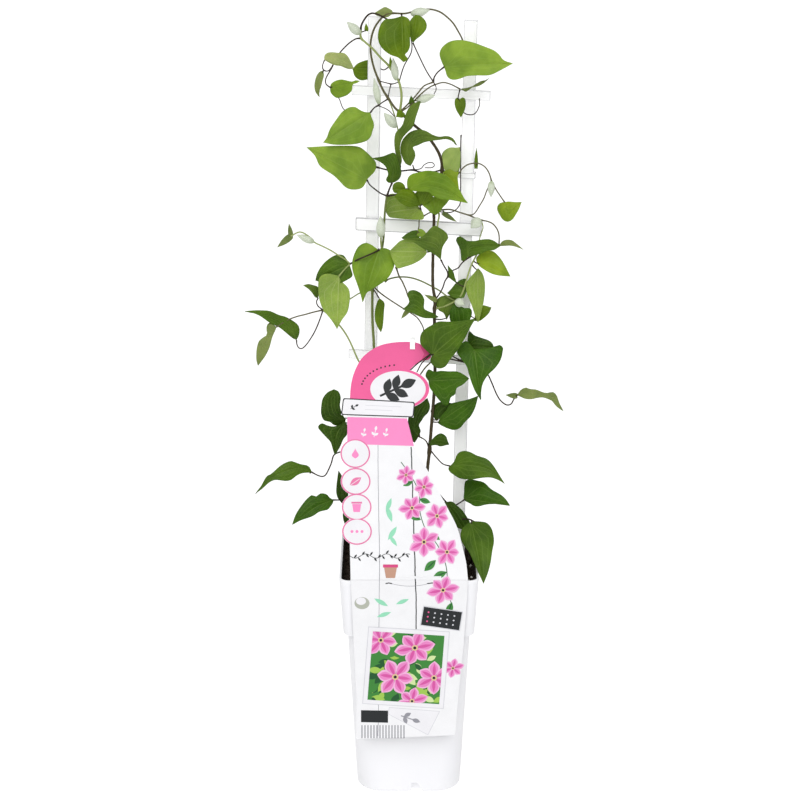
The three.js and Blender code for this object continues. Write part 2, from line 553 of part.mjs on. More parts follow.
const RIGHT_LEAVES = [
  { base: [392, 14, 14], tip: [373.5, 13.5, 22], width: 13, edges: [
    [[392.5, 11], [389, 8.5], [385, 7], [380, 9.5]],
    [[388, 17], [381, 17], [376.5, 15.5]],
  ] },
  { base: [324.5, 60, 2], tip: [354, 68.5, -6], width: 13, under: true, edges: [
    [[324.3, 56], [327, 53], [332, 52.2], [338, 52.8], [344, 53], [348, 56.5], [351, 62]],
    [[330, 63.2], [336, 65.5], [341, 66], [345, 68], [350, 69.2]],
  ] },
  { base: [323, 70.5, 2], tip: [319.5, 97.5, -2], width: 9, rib: [[319, 84]], edges: [
    [[320, 71.5], [317, 75], [315.2, 80], [314.4, 86], [315.5, 92]],
    [[324, 75], [322.5, 81], [321, 87], [319, 92.5]],
  ] },
  { base: [330, 87.5, 0], tip: [360, 81, -8], width: 19, edges: [
    [[331, 84], [335, 81], [341, 79.5], [347, 80.5], [352, 81.5], [356, 80.3]],
    [[330.5, 92], [333, 95.5], [337, 98], [343, 96.8], [348, 94.5], [352, 90], [352.8, 84.5], [357, 83]],
  ] },
  { base: [386, 67, 44], tip: [352.5, 69, 52], width: 20, arch: 0.05, from: 'loop', edges: [
    [[382, 63.5], [375, 60.5], [367.5, 60], [362, 61.5], [357, 64]],
    [[381, 72], [375, 78], [367.5, 79.5], [361, 80.3], [355, 76.5]],
  ] },
  { base: [402, 16, 8], tip: [403.5, 62.3, -4], width: 40, fold: 25, rib: [[403, 40]], edges: [
    [
      [393, 18.5], [385, 19.5], [381, 24], [378.5, 31], [378, 38], [380, 45], [385, 51], [391, 55],
      [398, 57.5],
    ],
    [[406, 17], [409.5, 20], [410.2, 28], [410, 38], [410, 46], [407.5, 52], [405, 54.5], [408, 59]],
  ] },
  { base: [413, 43, 4], tip: [417, 14, 10], width: 27, arch: 0.05, edges: [
    [[416, 39.5], [420, 36.5], [423.5, 33], [426.2, 29], [426.8, 25], [425.5, 21], [422, 17]],
    [[410.5, 38], [408.5, 30], [409, 23], [412, 18]],
  ] },
  { base: [444, 67, -2], tip: [513, 63.4, -16], width: 50, fold: 22, edges: [
    [
      [441, 60], [439.5, 54], [441, 49], [445, 44.5], [450, 41.5], [458, 40], [467, 41], [476, 43.5],
      [485, 46.8], [494, 50.5], [499, 54.5], [503.5, 60],
    ],
    [
      [445.5, 71], [447, 76], [450, 79], [454, 79.8], [460, 78.7], [466, 76.3], [475, 75.5], [490, 75],
      [500, 70.5],
    ],
  ] },
  { base: [460, 89, 2], tip: [490, 77.5, -3], width: 6,
    rib: [[466, 89.5], [473, 86.3], [481, 82.6]], edges: [
    [[466, 88], [471, 86.8], [476, 83.8], [481, 81], [486, 80]],
    [[462.5, 90.2], [465.5, 91.8], [469, 90], [472, 87.7], [479, 86], [484, 83]],
  ] },
  { base: [460, 99, 5], tip: [461, 118, 1], width: 11 },
  { base: [370.5, 112.5, -6], tip: [323, 142.5, -24], width: 38, edges: [
    [
      [365, 112], [361, 110.5], [355, 107], [350, 107.2], [346, 109], [342, 112], [336, 120], [330, 129],
      [326.5, 138],
    ],
    [
      [371.5, 117], [373.5, 122], [374, 126], [372.5, 131], [370.5, 137], [367, 140.5], [358, 143.5],
      [345, 144.8], [333, 144.5],
    ],
  ] },
  { base: [403, 112, 11], tip: [396, 117, 6], width: 9, fold: 5 },
  { base: [400, 168, 12], tip: [421, 101, 4], width: 14, fold: 25,
    rib: [[397.5, 148], [403, 130], [411, 114]], edges: [
    [
      [397.5, 160], [395.2, 152], [394.3, 140], [396, 132], [402, 126], [404.8, 117], [408, 109],
      [414, 103],
    ],
    [[402, 160], [400, 150], [402, 139], [409, 131], [413, 127], [416, 117], [419, 108]],
  ] },
  { base: [410.5, 166, 6], tip: [457.5, 146, -4], width: 28,
    rib: [[407, 153], [412, 141], [424, 136], [440, 138], [450, 139.6]], edges: [
    [
      [406, 164], [402.5, 158], [400.3, 151], [401.5, 142], [405.5, 136], [411, 131.5], [420, 129.5],
      [427, 131.5], [433, 135], [439, 136.8], [447, 136], [453, 138.3],
    ],
    [
      [413, 162], [415.3, 156], [414.5, 151], [412.8, 147.5], [418, 145.3], [424, 142.5], [431, 141],
      [439, 140], [446, 139.2], [452, 141],
    ],
  ] },
  { base: [446, 174, 9], tip: [460.5, 147, 12], width: 17, arch: 0.03, edges: [
    [[443.5, 167], [442.5, 160], [441.8, 154.5], [445, 150], [450, 147.5], [456, 147.6]],
    [[453, 173], [459, 170], [460.3, 160], [460.5, 152]],
  ] },
  { base: [443, 172, 9], tip: [459, 189, 6], width: 16, edges: [
    [[449, 169.5], [455, 168.3], [459.5, 168.8], [458.5, 173], [457.8, 178]],
    [[444, 176], [448, 182], [453, 187]],
  ] },
  { base: [504.5, 202, -6], tip: [521.5, 202, -12], width: 27, rib: [[508, 212]], edges: [
    [
      [500.5, 202.8], [497.5, 206], [497.3, 210], [500, 215.5], [503.5, 220.3], [508, 221.8],
      [512.5, 219.5], [515.5, 215], [519.5, 208],
    ],
    [[509, 201.5], [515, 202]],
  ] },
  { base: [420, 206, 1], tip: [394.5, 196.5, -12], width: 17, edges: [
    [[418, 200], [414, 192], [406, 189], [399, 191]],
    [[414, 206.5], [408, 206.8], [402, 204], [398, 200.5]],
  ] },
  { base: [421, 206, 1], tip: [430, 188, -3], width: 17, arch: 0.04, edges: [
    [[416, 203], [414, 196], [418, 190.5]],
    [[426, 204], [431, 199], [434, 194]],
  ] },
  { base: [433, 197, 5], tip: [436, 215, -2], width: 27, edges: [
    [[426, 195], [421.5, 199], [422.5, 205], [427, 209], [431, 213]],
    [[441, 194], [450, 197], [447, 203], [442.5, 208], [440, 212]],
  ] },
  { base: [420, 208, 3], tip: [386.5, 213, 16], width: 25, arch: 0.04, under: true, edges: [
    [[423.5, 214], [423.5, 219], [416, 219.8], [406, 219.3], [396, 218.3], [389, 217]],
    [[412, 200], [400, 195], [390, 194], [385.5, 199], [384.8, 206]],
  ] },
  { base: [443, 213, 5], tip: [457, 222, 3], width: 5, arch: 0 },
  { base: [418, 234, 2], tip: [401, 238, 0], width: 9, arch: 0.05 },
  { base: [418, 232, 2], tip: [428, 236, 0], width: 8, arch: 0.05 },
  { base: [441, 260, -8], tip: [402, 238.5, -18], width: 46, fold: 20,
    rib: [[437, 246], [425, 241.5]], edges: [
    [
      [441.5, 254], [442.5, 247.5], [446, 241.5], [448.3, 238], [446.5, 233], [441, 228.8],
      [434.5, 225.8], [430, 228.8], [426, 233.5], [421, 237.2], [413, 238.6],
    ],
    [[437, 256.5], [432, 253], [426, 250.5], [420, 246.5], [414, 242.5], [407, 240.3]],
  ] },
  { base: [427, 252, 0], tip: [389.5, 251, -4], width: 28, under: true, edges: [
    [[421, 243], [411, 239], [401, 240.5], [395, 245.5]],
    [[426, 254.5], [421, 259.5], [413, 264], [404, 267], [397.5, 268.3], [393.5, 262]],
  ] },
  { base: [468, 257, 1], tip: [500.5, 246, -8], width: 27, fold: 28,
    rib: [[469, 249], [483, 245.5]], edges: [
    [
      [462, 262], [460.8, 255], [460, 249], [457.5, 244], [455.8, 240], [458, 236.5], [462, 236.8],
      [466, 240.3], [474, 241], [482, 239.5], [490, 239.3], [496, 242],
    ],
    [[473, 255.8], [480, 254], [487, 250.8], [494, 250]],
  ] },
  { base: [499, 246, -4], tip: [524, 250, -10], width: 7, rib: [[508, 243.3], [517, 246]], edges: [
    [[502, 241.5], [506, 239.8], [512, 240.3], [517, 244]],
    [[503, 246], [511, 245.8], [518, 247.5]],
  ] },
  { base: [477, 263, 1], tip: [510.5, 276.5, -10], width: 21, edges: [
    [
      [476, 258.5], [479, 254.5], [484, 251.3], [489, 250.3], [494, 251.8], [498, 255.5], [502, 260.5],
      [506, 267.5],
    ],
    [[477, 263.5], [480, 266.8], [484, 269.5], [490, 273], [496, 275], [503, 276]],
  ] },
  { base: [478, 268, 1], tip: [478, 323, -8], width: 20, under: true, edges: [
    [[474, 273], [468.5, 279.5], [465.8, 287], [468, 296.5], [471.5, 305], [474.8, 315]],
    [[482, 272.5], [484.8, 281], [485, 290.5], [483.8, 301], [482, 309.5], [480, 317.5]],
  ] },
  { base: [474, 321, 4], tip: [491.5, 307.5, 0], width: 13, edges: [
    [[475.5, 312], [477, 305], [484, 305.3]],
    [[479.5, 321], [484, 318], [489, 313]],
  ] },
  { base: [464, 297, 4], tip: [447, 293, 10], width: 17, arch: 0.05, edges: [
    [[467, 290], [467, 279], [461, 279.5], [455, 284], [451, 289]],
    [[459, 299], [452, 297]],
  ] },
  { base: [457, 284, 4], tip: [447.7, 265, 3], width: 6, edges: [
    [[454, 281.5], [450, 278.5], [447, 276.3], [448, 271.5]],
    [[456, 280.5], [454.7, 276.5], [453.3, 271.5], [450.3, 268]],
  ] },
  { base: [439, 317, 5], tip: [402.5, 309.3, -6], width: 30, rib: [[427, 314.5], [414, 305]], edges: [
    [
      [433, 313], [428, 311], [424, 308.5], [423.5, 305], [424.5, 300], [421, 293.5], [417, 291],
      [413, 290], [408.5, 291.5], [407.7, 295], [409.5, 299], [408.5, 303.5],
    ],
    [[436, 318], [430, 318.3], [424, 318], [417, 315.5], [410, 312]],
  ] },
  { base: [409, 309, 0], tip: [401, 319, 0], width: 5, arch: 0 },
  { base: [446.5, 320, 6], tip: [458.5, 296, 10], width: 17, arch: 0.05,
    rib: [[446, 309], [449, 302]], edges: [
    [[443.5, 313], [439, 310.5], [436.2, 305], [437.5, 299], [442, 296], [449, 295.5]],
    [[449, 315.5], [451.5, 311], [454, 305], [457, 300]],
  ] },
  { base: [432, 355.5, 2], tip: [475.5, 318.5, -14], width: 50, fold: 22, edges: [
    [
      [427, 351], [421, 345], [420, 339], [421.5, 333], [426, 328.5], [432, 325], [438, 321.8],
      [450, 321.7], [461, 321],
    ],
    [
      [430.3, 361], [434, 366.5], [440, 368.5], [446, 366], [448.7, 361.5], [453.5, 355.5], [460, 346.5],
      [465, 338], [470, 328],
    ],
  ] },
  { base: [468, 347, 5], tip: [494, 347.5, 0], width: 17, edges: [
    [[467.5, 339], [469.5, 331], [474, 335], [482, 338], [489, 340.5], [492.5, 343.5]],
    [[476, 350], [486, 350]],
  ] },
  { base: [474, 349, -3], tip: [481, 400.5, -22], width: 43, edges: [
    [[466, 341], [459, 347], [457, 352], [462, 360], [466.5, 366], [470, 378], [475, 391]],
    [
      [485, 348.5], [495, 347.3], [499, 344.8], [503, 347.5], [502.5, 352.5], [501, 359], [496, 367],
      [488, 375], [483, 383], [481.3, 391],
    ],
  ] },
  { base: [517, 395.5, -10], tip: [563.5, 411.3, -30], width: 15,
    rib: [[530, 393.5], [545, 395.5], [554, 398]], edges: [
    [
      [519, 392], [522, 389], [526, 387.5], [530, 389], [536, 389.5], [541, 391.5], [546, 393],
      [553, 392], [556.5, 395], [559, 402],
    ],
    [
      [520, 396.5], [524, 398.5], [531, 399.3], [537, 398], [543, 397.5], [549, 399.5], [552, 401],
      [555, 405], [559, 408.5],
    ],
  ] },
  { base: [517, 396, -10], tip: [505.5, 395, -13], width: 6 },
  { base: [428.5, 381, 3], tip: [469.3, 378.5, -12], width: 31, edges: [
    [
      [425.5, 376], [427, 371], [429, 369.3], [434, 371.6], [441, 370.8], [448, 371.3], [457, 371.5],
      [463, 374],
    ],
    [
      [429.5, 387], [434, 393.5], [440, 401], [446, 406], [449.5, 402], [450.8, 397.3], [455, 394.5],
      [456.5, 388.5], [463, 384.5],
    ],
  ] },
  { base: [437.5, 423, 8], tip: [478.3, 395.8, -8], width: 23, edges: [
    [[441, 416], [446, 410.5], [450, 404], [457, 402], [466, 400]],
    [[442, 425.8], [448, 428.5], [454, 430], [460, 428], [465, 422], [470.5, 416.5], [475, 408]],
  ] },
  { base: [436, 421, 9], tip: [454.5, 403.5, 6], width: 16, arch: 0.05, edges: [
    [[433, 416], [430.5, 411.5], [434, 405.5], [440, 402]],
    [[443, 415], [449, 410.5], [454, 405.5]],
  ] },
  { base: [419, 436, 9], tip: [427.5, 398, 12], width: 18, arch: 0.05,
    rib: [[415, 430], [417, 415], [423, 405]], edges: [
    [[420.7, 431], [419, 425], [421.5, 421], [424, 417], [428.5, 412], [430, 406]],
    [[414, 443], [411, 436], [408, 428], [409, 415], [414, 407]],
  ] },
  { base: [428, 443.5, 8], tip: [449.2, 444.5, -2], width: 20, edges: [
    [[431, 440.5], [436, 435.5], [441, 433.3], [446, 436.3], [447.8, 441]],
    [[431, 445.5], [436, 445], [440, 446.4], [445, 445.5]],
  ] },
  { base: [450, 466, -4], tip: [505, 484, -26], width: 29,
    rib: [[465, 465], [486, 468.5], [497, 475.5]], edges: [
    [
      [454.5, 461], [456, 456.5], [459, 452.5], [464, 450.8], [470, 452], [477, 455.5], [486, 458.5],
      [490, 461.5], [494, 466.5], [500, 476],
    ],
    [
      [448.3, 468], [449.5, 471.5], [454, 475], [459, 478], [465, 479.3], [472, 479.5], [479, 478.3],
      [486, 477.5], [492, 477.8], [499, 480.5],
    ],
  ] },
  { base: [463.5, 499, -4], tip: [510, 505.5, -20], width: 28, edges: [
    [
      [464, 493], [464.3, 486], [465.5, 481], [470, 479.3], [477, 480.5], [484, 482.5], [491, 489],
      [497, 492.5], [502, 495.5], [506.5, 500],
    ],
    [[466, 501.5], [470, 503.5], [474, 506], [479, 506.3], [485, 504.8], [493, 504], [502, 504.3]],
  ] },
  { base: [446, 502, 0], tip: [464, 530, -2], width: 22, arch: 0.05, edges: [
    [[452, 501.5], [457, 505.5], [462, 510], [467, 517], [470, 523]],
    [[443, 502], [446, 512], [452, 522], [458, 528]],
  ] },
  { base: [471, 522, -8], tip: [483.5, 583.8, -60], width: 28, arch: 0.05, edges: [
    [
      [474, 521.3], [480, 521.5], [486, 522.5], [490, 526], [492.5, 531], [494, 541], [492.3, 551],
      [490.5, 563], [487.5, 574],
    ],
    [[467, 524], [462, 529], [460.5, 535], [461.5, 541], [465, 547], [469, 552], [473, 561], [478, 572]],
  ] },
  { base: [456.5, 302, 5], tip: [461, 326, 2], width: 22, edges: [
    [[452, 307], [449.5, 314], [451, 322]],
    [[463, 307.5], [470.5, 308.5], [472, 312.5], [469.5, 320]],
  ] },
  { base: [412, 104, 9], tip: [411, 95.5, 6], width: 6 },
  { base: [391.5, 69, 10], tip: [390, 56, 9], width: 4, arch: 0.05 },
  { base: [476, 168, 8.5], tip: [476.5, 147.5, 8], width: 4, arch: 0.03 },
  { base: [366.5, 31, 9], tip: [366, 23, 9], width: 4 },
  { base: [436.5, 300.5, 5], tip: [424, 294.5, 3], width: 5 },
];

const RIGHT_BUDS = [
  { base: [360, 34, 8], tip: [347, 22, 4], width: 9 },
  { base: [411, 14, 15], tip: [430, 10, 9], width: 9 },
  { base: [396, 80, 9], tip: [393, 58, 3], width: 7.5 },
  { base: [379, 104, 5], tip: [374, 78, 3], width: 7 },
  { base: [417, 101, 8], tip: [435, 95, 2], width: 8 },
  { base: [396, 127, 10], tip: [384, 113, 3], width: 9.5 },
  { base: [491.5, 181, 2], tip: [491, 197, -2], width: 7.5 },
  { base: [480, 219, 4], tip: [471, 228, -3], width: 11 },
  { base: [456, 301, 6], tip: [464, 305, -3], width: 9 },
];

const LEFT_STEMS = [
  { name: 'main', thick: [4.2, 2], way: [
    [371, 604, 18], [371, 560, 18], [372, 500, 18], [373, 430, 18], [374, 380, 19], [374, 348, 20],
    [372.5, 320, 21], [372.5, 291, 22], [374, 272, 21], [378, 258, 19], [382, 248, 16], [383.5, 238, 14],
    [384.5, 218, 12], [385.5, 205, 12], [387, 196, 12],
  ] },
  { name: 'upper_left', thick: [1.5, 1.3], way: [
    [387, 196, 12], [381, 193.5, 9], [376, 190, 6], [370, 185, 2], [367, 180, -2],
  ] },
  { name: 'upper_top', thick: [2, 1.6], way: [[387, 196, 12], [389, 190, 10], [392, 183, 8]] },
  { name: 'upper_right', thick: [1.6, 1.5], way: [
    [387, 196, 12], [394, 195, 8], [400, 193, 3], [407, 189, -2],
  ] },
  { name: 'bud_stalk', thick: [2, 1.8], way: [[382, 250, 16], [381, 243, 11], [381, 236, 7]] },
  { name: 'heart_stalk', thick: [1.5, 1.5], way: [[380, 254, 18], [379, 249, 12], [379, 250, 6]] },
  { name: 'left_bough', thick: [1.6, 1.3], way: [
    [379, 250, 6], [372, 253.5, 1], [365, 256.5, 0], [357, 260, 0], [350, 264, 2], [346, 260, 1],
    [338, 255, 0], [330, 250, -2], [322, 246, -4], [314, 242, -6], [309, 236.5, -7], [300, 232, -8],
    [291, 236, -8],
  ] },
  { name: 'veined_stalk', thick: [1.4, 1.3], way: [[350, 264, 2], [344, 270, 2], [339, 276, 1]] },
  { name: 'side_bough', thick: [1.9, 1.6], way: [
    [373.5, 378, 19], [366, 370, 18], [359, 361.5, 17], [352, 346, 14], [347, 336, 12], [340, 326, 10],
    [331, 317, 8], [323, 310, 6],
  ] },
  { name: 'side_cross', thick: [1.3, 1.2], way: [
    [372.5, 290, 22], [360, 293, 17], [350, 299, 13], [336, 306, 9], [323, 310, 6],
  ] },
  { name: 'side_leaf_stalk', thick: [1.2, 1.1], way: [
    [323, 310, 6], [318, 306, 6], [316.5, 302, 6], [318, 298, 5],
  ] },
  { name: 'side_out', thick: [1.5, 1.2], way: [
    [323, 310, 6], [314, 312, 4], [305, 314.5, 2], [297, 316.5, 0], [290, 319, -2], [284, 322, -4],
    [276.5, 327, -8],
  ] },
  { name: 'side_down', thick: [1.4, 1.1], way: [
    [323, 310, 6], [320, 319, 5], [315.5, 330, 4], [311, 338, 3], [306, 345, 2], [302, 348.5, 1],
    [299, 348, 0], [297, 344.5, 0], [296.5, 340, 0],
  ] },
  { name: 'small_stalk', thick: [1.2, 1.1], way: [[372.5, 288, 22], [376, 293, 20], [379, 298, 18]] },
  { name: 'long_runner', thick: [1.5, 1.2], way: [
    [372.5, 285, 22], [378, 291, 20], [385, 296.5, 18], [401, 307, 17], [410, 312.5, 17], [417, 317.5, 17],
    [421, 323, 17], [423.5, 329, 17], [423, 338, 17],
  ] },
  { name: 'low_left', thick: [1.6, 1.3], way: [
    [373, 440, 18], [355, 448, 13], [340, 452, 9], [334, 455, 6], [331, 464, 4], [325, 475.5, 0],
    [322, 476.5, -1], [317, 475, -2], [311.5, 472, -4],
  ] },
  { name: 'lowest_left', thick: [1.5, 1.3], way: [
    [372, 500, 18], [355, 500, 11], [343, 500, 7], [332, 500, 2],
  ] },
];

const LEFT_LEAVES = [
  { base: [367, 180, -2], tip: [306.5, 147.3, -24], width: 41, edges: [
    [
      [368.5, 177.5], [372, 174.5], [375, 171], [376.3, 166.5], [375.5, 161.5], [372, 157.5],
      [368.5, 154], [360.5, 147.5], [354, 146], [345, 145.8], [330, 146],
    ],
    [
      [365.5, 183], [363.5, 186.5], [360, 188.8], [354, 189.6], [349, 189], [345, 186.8], [338, 179.5],
      [333, 175], [320, 166], [315, 156],
    ],
  ] },
  { base: [392, 183, 8], tip: [372, 158.3, -8], width: 17, rib: [[393.5, 170], [388, 159.5]], edges: [
    [[388, 182.5], [386, 179.5], [388, 175], [387, 170], [385, 166], [380, 162]],
    [
      [396, 181.5], [400, 178], [401.5, 172], [399, 164], [396.5, 156], [394, 152.5], [389, 154],
      [384, 156], [378, 157.3],
    ],
  ] },
  { base: [407.5, 189.5, -2], tip: [468, 203.2, -18], width: 42, fold: 22,
    rib: [[424, 186], [445, 190.5]], edges: [
    [
      [407, 182], [408.5, 177], [412, 174], [418, 172.5], [424, 171], [430, 170.7], [437, 172],
      [444, 174.5], [450, 179], [459, 189], [464, 198],
    ],
    [[413, 191], [421, 191.5], [428, 192], [434, 196.5], [441, 199], [450, 200], [459, 201.5]],
  ] },
  { base: [406, 189.5, 0], tip: [392.3, 189, -3], width: 10, edges: [
    [[404, 184.5], [400, 182], [396, 182.3], [393, 185]],
    [[402, 192.3], [397, 193.2], [394, 192.5]],
  ] },
  { base: [379, 250, 6], tip: [362.5, 302.5, -10], width: 43, edges: [
    [
      [376, 248], [374, 246.5], [370, 244], [366, 242.8], [361, 244.5], [357, 248.5], [353, 258],
      [352, 265], [353, 272], [357.5, 285], [361, 296],
    ],
    [
      [383, 248], [388, 249], [391.5, 251.5], [394, 257], [394.8, 261.5], [393.5, 268], [388, 278],
      [379, 285], [367, 292.5],
    ],
  ] },
  { base: [291, 236, -8], tip: [289, 223.5, -10], width: 5, arch: 0 },
  { base: [291, 236, -8], tip: [277, 247.5, -10], width: 7, arch: 0 },
  { base: [349.5, 264.5, 2], tip: [315.3, 280.5, -8], width: 27, edges: [
    [[346.5, 259], [343, 255], [336, 255], [328, 259.5], [321.5, 266], [317, 274]],
    [[351, 269], [352.5, 276], [347, 280], [342.5, 282.3], [335, 283.5], [325, 283.5]],
  ] },
  { base: [339, 276, 1], tip: [337, 329, -10], width: 32, under: true, edges: [
    [
      [335, 275], [330, 273.8], [325, 274], [320.5, 276.5], [318.5, 281], [318.5, 294], [320, 302],
      [323, 309.5], [332, 321],
    ],
    [[341, 281], [345, 284.5], [348.5, 288.5], [350, 295], [349.5, 303], [347.5, 312], [342, 320]],
  ] },
  { base: [318, 298, 5], tip: [303, 285.3, 2], width: 10, rib: [[315, 291.5], [309.5, 286.8]], edges: [
    [[319.5, 292], [318, 287], [313, 285], [308, 284]],
    [[315.5, 297.5], [312.5, 293.5], [309, 289.5], [305.5, 287]],
  ] },
  { base: [296.5, 340, 0], tip: [245, 311.3, -12], width: 13, arch: 0.05,
    rib: [[289, 328], [272, 317.5]], edges: [
    [
      [298.5, 336.5], [299.7, 331], [298.5, 325.5], [294, 321.5], [285, 316.5], [279, 315], [270, 311],
      [262, 310.3], [254, 310.3],
    ],
    [[293, 338.5], [285, 332], [280, 328], [270, 323], [260, 316], [252, 312.7]],
  ] },
  { base: [276.5, 327, -8], tip: [258, 366, -18], width: 14, rib: [[269.5, 336], [262.5, 350]], edges: [
    [
      [270, 322.5], [267, 325], [266.5, 330], [267, 334.5], [263, 337.5], [259, 341], [257, 347],
      [256.3, 354], [256.5, 361],
    ],
    [[275.5, 330], [273, 335.5], [271.5, 340], [270, 346], [268, 351], [265, 356.5]],
  ] },
  { base: [379, 298, 18], tip: [381, 332.5, 13], width: 10, edges: [
    [[376.5, 304], [375, 311], [375, 320], [377.5, 327]],
    [[382, 300], [384.5, 303], [384, 311], [383.5, 320], [382.5, 328]],
  ] },
  { base: [346, 420, 10], tip: [334, 389.3, 4], width: 34, rib: [[335, 415], [331, 402]], edges: [
    [
      [340, 425.5], [334, 425], [330, 422], [324, 420.3], [321.2, 414], [321.3, 406], [323, 398],
      [328, 392],
    ],
    [[342.5, 414], [340, 406], [340.7, 397], [338.5, 391.5]],
  ] },
  { base: [345, 420.5, 9], tip: [334.8, 455.5, 6], width: 28, rib: [[337, 435]], edges: [
    [
      [340, 424.5], [333, 426.5], [327, 425.3], [321.5, 423.3], [318, 427], [320.5, 431],
      [326, 437], [330.5, 442], [332.7, 449],
    ],
    [[347.5, 426], [347, 434.5], [343.5, 439], [340, 447]],
  ] },
  { base: [312, 472.5, -4], tip: [255.3, 493.7, -20], width: 17,
    rib: [[300, 468.5], [282, 472.5], [267, 481]], edges: [
    [
      [310.5, 469], [308.5, 466], [300, 464], [296, 462.5], [291, 461], [286, 462.5], [280, 466],
      [271, 474], [267, 476], [261, 486],
    ],
    [[302, 473.3], [297, 475.5], [291, 480], [286, 481], [280, 480.3], [275, 480], [270, 482], [262, 489]],
  ] },
  { base: [333.5, 499.5, 2], tip: [292, 524.8, -14], width: 22, rib: [[318, 506]], edges: [
    [
      [330, 498], [327, 494.5], [323, 493.3], [320, 493.5], [316, 496.5], [312, 495], [309, 497],
      [305, 501], [296, 514],
    ],
    [[333, 503], [330.5, 506.5], [328, 509.5], [323, 510.8], [319, 512], [313, 516], [300, 520.7]],
  ] },
  { base: [342, 503.5, 9], tip: [338.5, 470.5, 12], width: 15, arch: 0.05, edges: [
    [[338, 498.5], [336.3, 493], [336.5, 485], [337.5, 477]],
    [[348, 497], [347.5, 490], [344, 481], [341.5, 475]],
  ] },
  { base: [347, 510, 9], tip: [345.5, 526, 8], width: 8, arch: 0.05 },
];

const LEFT_BUDS = [
  { base: [381, 237, 7], tip: [380.5, 216, 2], width: 9.5 },
  { base: [314, 242, -6], tip: [297, 235, -8], width: 7.5 },
];

// Stems: round tubes along smooth curves
const SAMPLES_PER_LEG = 4;
const TURN_PER_STEP = THREE.MathUtils.degToRad(46);

function tube(points, radii, sides) {
  const last = points.length - 1;
  const across = new THREE.Vector3(0.31, 0.83, 0.46);
  const rings = points.map((point, i) => {
    const along = points[Math.min(i + 1, last)].clone().sub(points[Math.max(i - 1, 0)]).normalize();
    across.addScaledVector(along, -across.dot(along)).normalize();
    const other = new THREE.Vector3().crossVectors(along, across);
    return Array.from({ length: sides }, (_, k) => {
      const turn = (k / sides) * Math.PI * 2;
      return point.clone().addScaledVector(across, radii[i] * Math.cos(turn))
        .addScaledVector(other, radii[i] * Math.sin(turn));
    });
  });
  return loft(rings);
}

// The points of a stem's curve: the given ones, with one more between two where it bends sharply
function stemPath(way) {
  const curve = new THREE.CatmullRomCurve3(way.map((point) => seen(...point)), false, 'centripetal');
  const legs = way.length - 1;
  const shares = [0];
  for (let leg = 0; leg < legs; leg += 1) {
    const turned = curve.getTangent(leg / legs).angleTo(curve.getTangent((leg + 1) / legs));
    if (turned > TURN_PER_STEP) shares.push((leg + 0.5) / legs);
    shares.push((leg + 1) / legs);
  }
  const all = curve.getPoints(legs * SAMPLES_PER_LEG);
  return { all, kept: shares.map((share) => curve.getPoint(share)), shares };
}

function stemBody({ way, thick }, extra = 0) {
  const { kept, shares } = stemPath(way);
  const radii = shares.map((share) => THREE.MathUtils.lerp(thick[0], thick[1], share) / 2 + extra);
  return solid(tube(kept, radii, thick[0] > 2.6 ? 6 : thick[0] > 1.35 ? 4 : 3));
}

// Leaves: heart shaped blades with a drawn-out tip. Each row of a blade starts on the midrib at a share of
// its length, and ends on the edge. A leaf without an outline of its own has the plain one: the edge's
// place along the midrib, as a share of the length, and its distance from it, as a share of the width.
const OUTLINE = {
  large: {
    rib: [0, 0.05, 0.3, 0.58, 0.82],
    edge: [[-0.08, 0.27], [0.04, 0.48], [0.33, 0.5], [0.62, 0.36], [0.86, 0.13]],
    columns: 2,
  },
  middle: {
    rib: [0, 0.05, 0.32, 0.7],
    edge: [[-0.08, 0.27], [0.05, 0.48], [0.36, 0.49], [0.73, 0.26]],
    columns: 1,
  },
  small: { rib: [0, 0.2, 0.58], edge: [[-0.05, 0.3], [0.24, 0.5], [0.62, 0.33]], columns: 1 },
};
const LARGE_LEAF = 28; // the width from which a leaf has the finer outline
const SMALL_LEAF = 11; // the width up to which it has the plainest one
const SUNK = 1.2; // how far the blade's root reaches into its stem
const FOLD = 16; // degrees that each half rises beside the midrib
const ARCH = 0.09; // rise of the midrib's middle, as a share of the length
const RIB_STEPS = 24; // places on a midrib from which a row of an outlined leaf can start

// The blade's plane: `along` the midrib, `side` across it, and `rise` for its folds and its arch
function bladeFrame(leaf) {
  const base = seen(...leaf.base);
  const along = seen(...leaf.tip).sub(base);
  const length = along.length();
  along.normalize();
  const toView = new THREE.Vector3(VIEW.x, VIEW.y, VIEW.z).sub(base).normalize();
  if (leaf.under) toView.negate();
  const facing = toView.clone().addScaledVector(along, -toView.dot(along)).normalize();
  const flat = new THREE.Vector3().crossVectors(along, facing);
  if (leaf.edges) return { base, length, along, side: flat, up: facing, rise: toView };
  const roll = THREE.MathUtils.degToRad(leaf.roll ?? 0);
  const side = flat.clone().multiplyScalar(Math.cos(roll)).addScaledVector(facing, Math.sin(roll));
  const up = facing.clone().multiplyScalar(Math.cos(roll)).addScaledVector(flat, -Math.sin(roll));
  return { base, length, along, side, up, rise: up };
}

// A point of the blade: millimetres along it and across it, and how far it is from the midrib
function bladePoint(leaf, frame, [u, v], reach) {
  const { base, length, along, side, rise } = frame;
  const fold = THREE.MathUtils.degToRad(leaf.fold ?? FOLD);
  const bow = 4 * (u / length) * (1 - u / length) * length;
  const lift = reach * Math.sin(fold) - (0.55 * reach * reach) / leaf.width;
  return base.clone()
    .addScaledVector(along, u)
    .addScaledVector(rise, bow * (leaf.arch ?? ARCH) + lift)
    .addScaledVector(side, bow * (leaf.sweep ?? 0) + v);
}

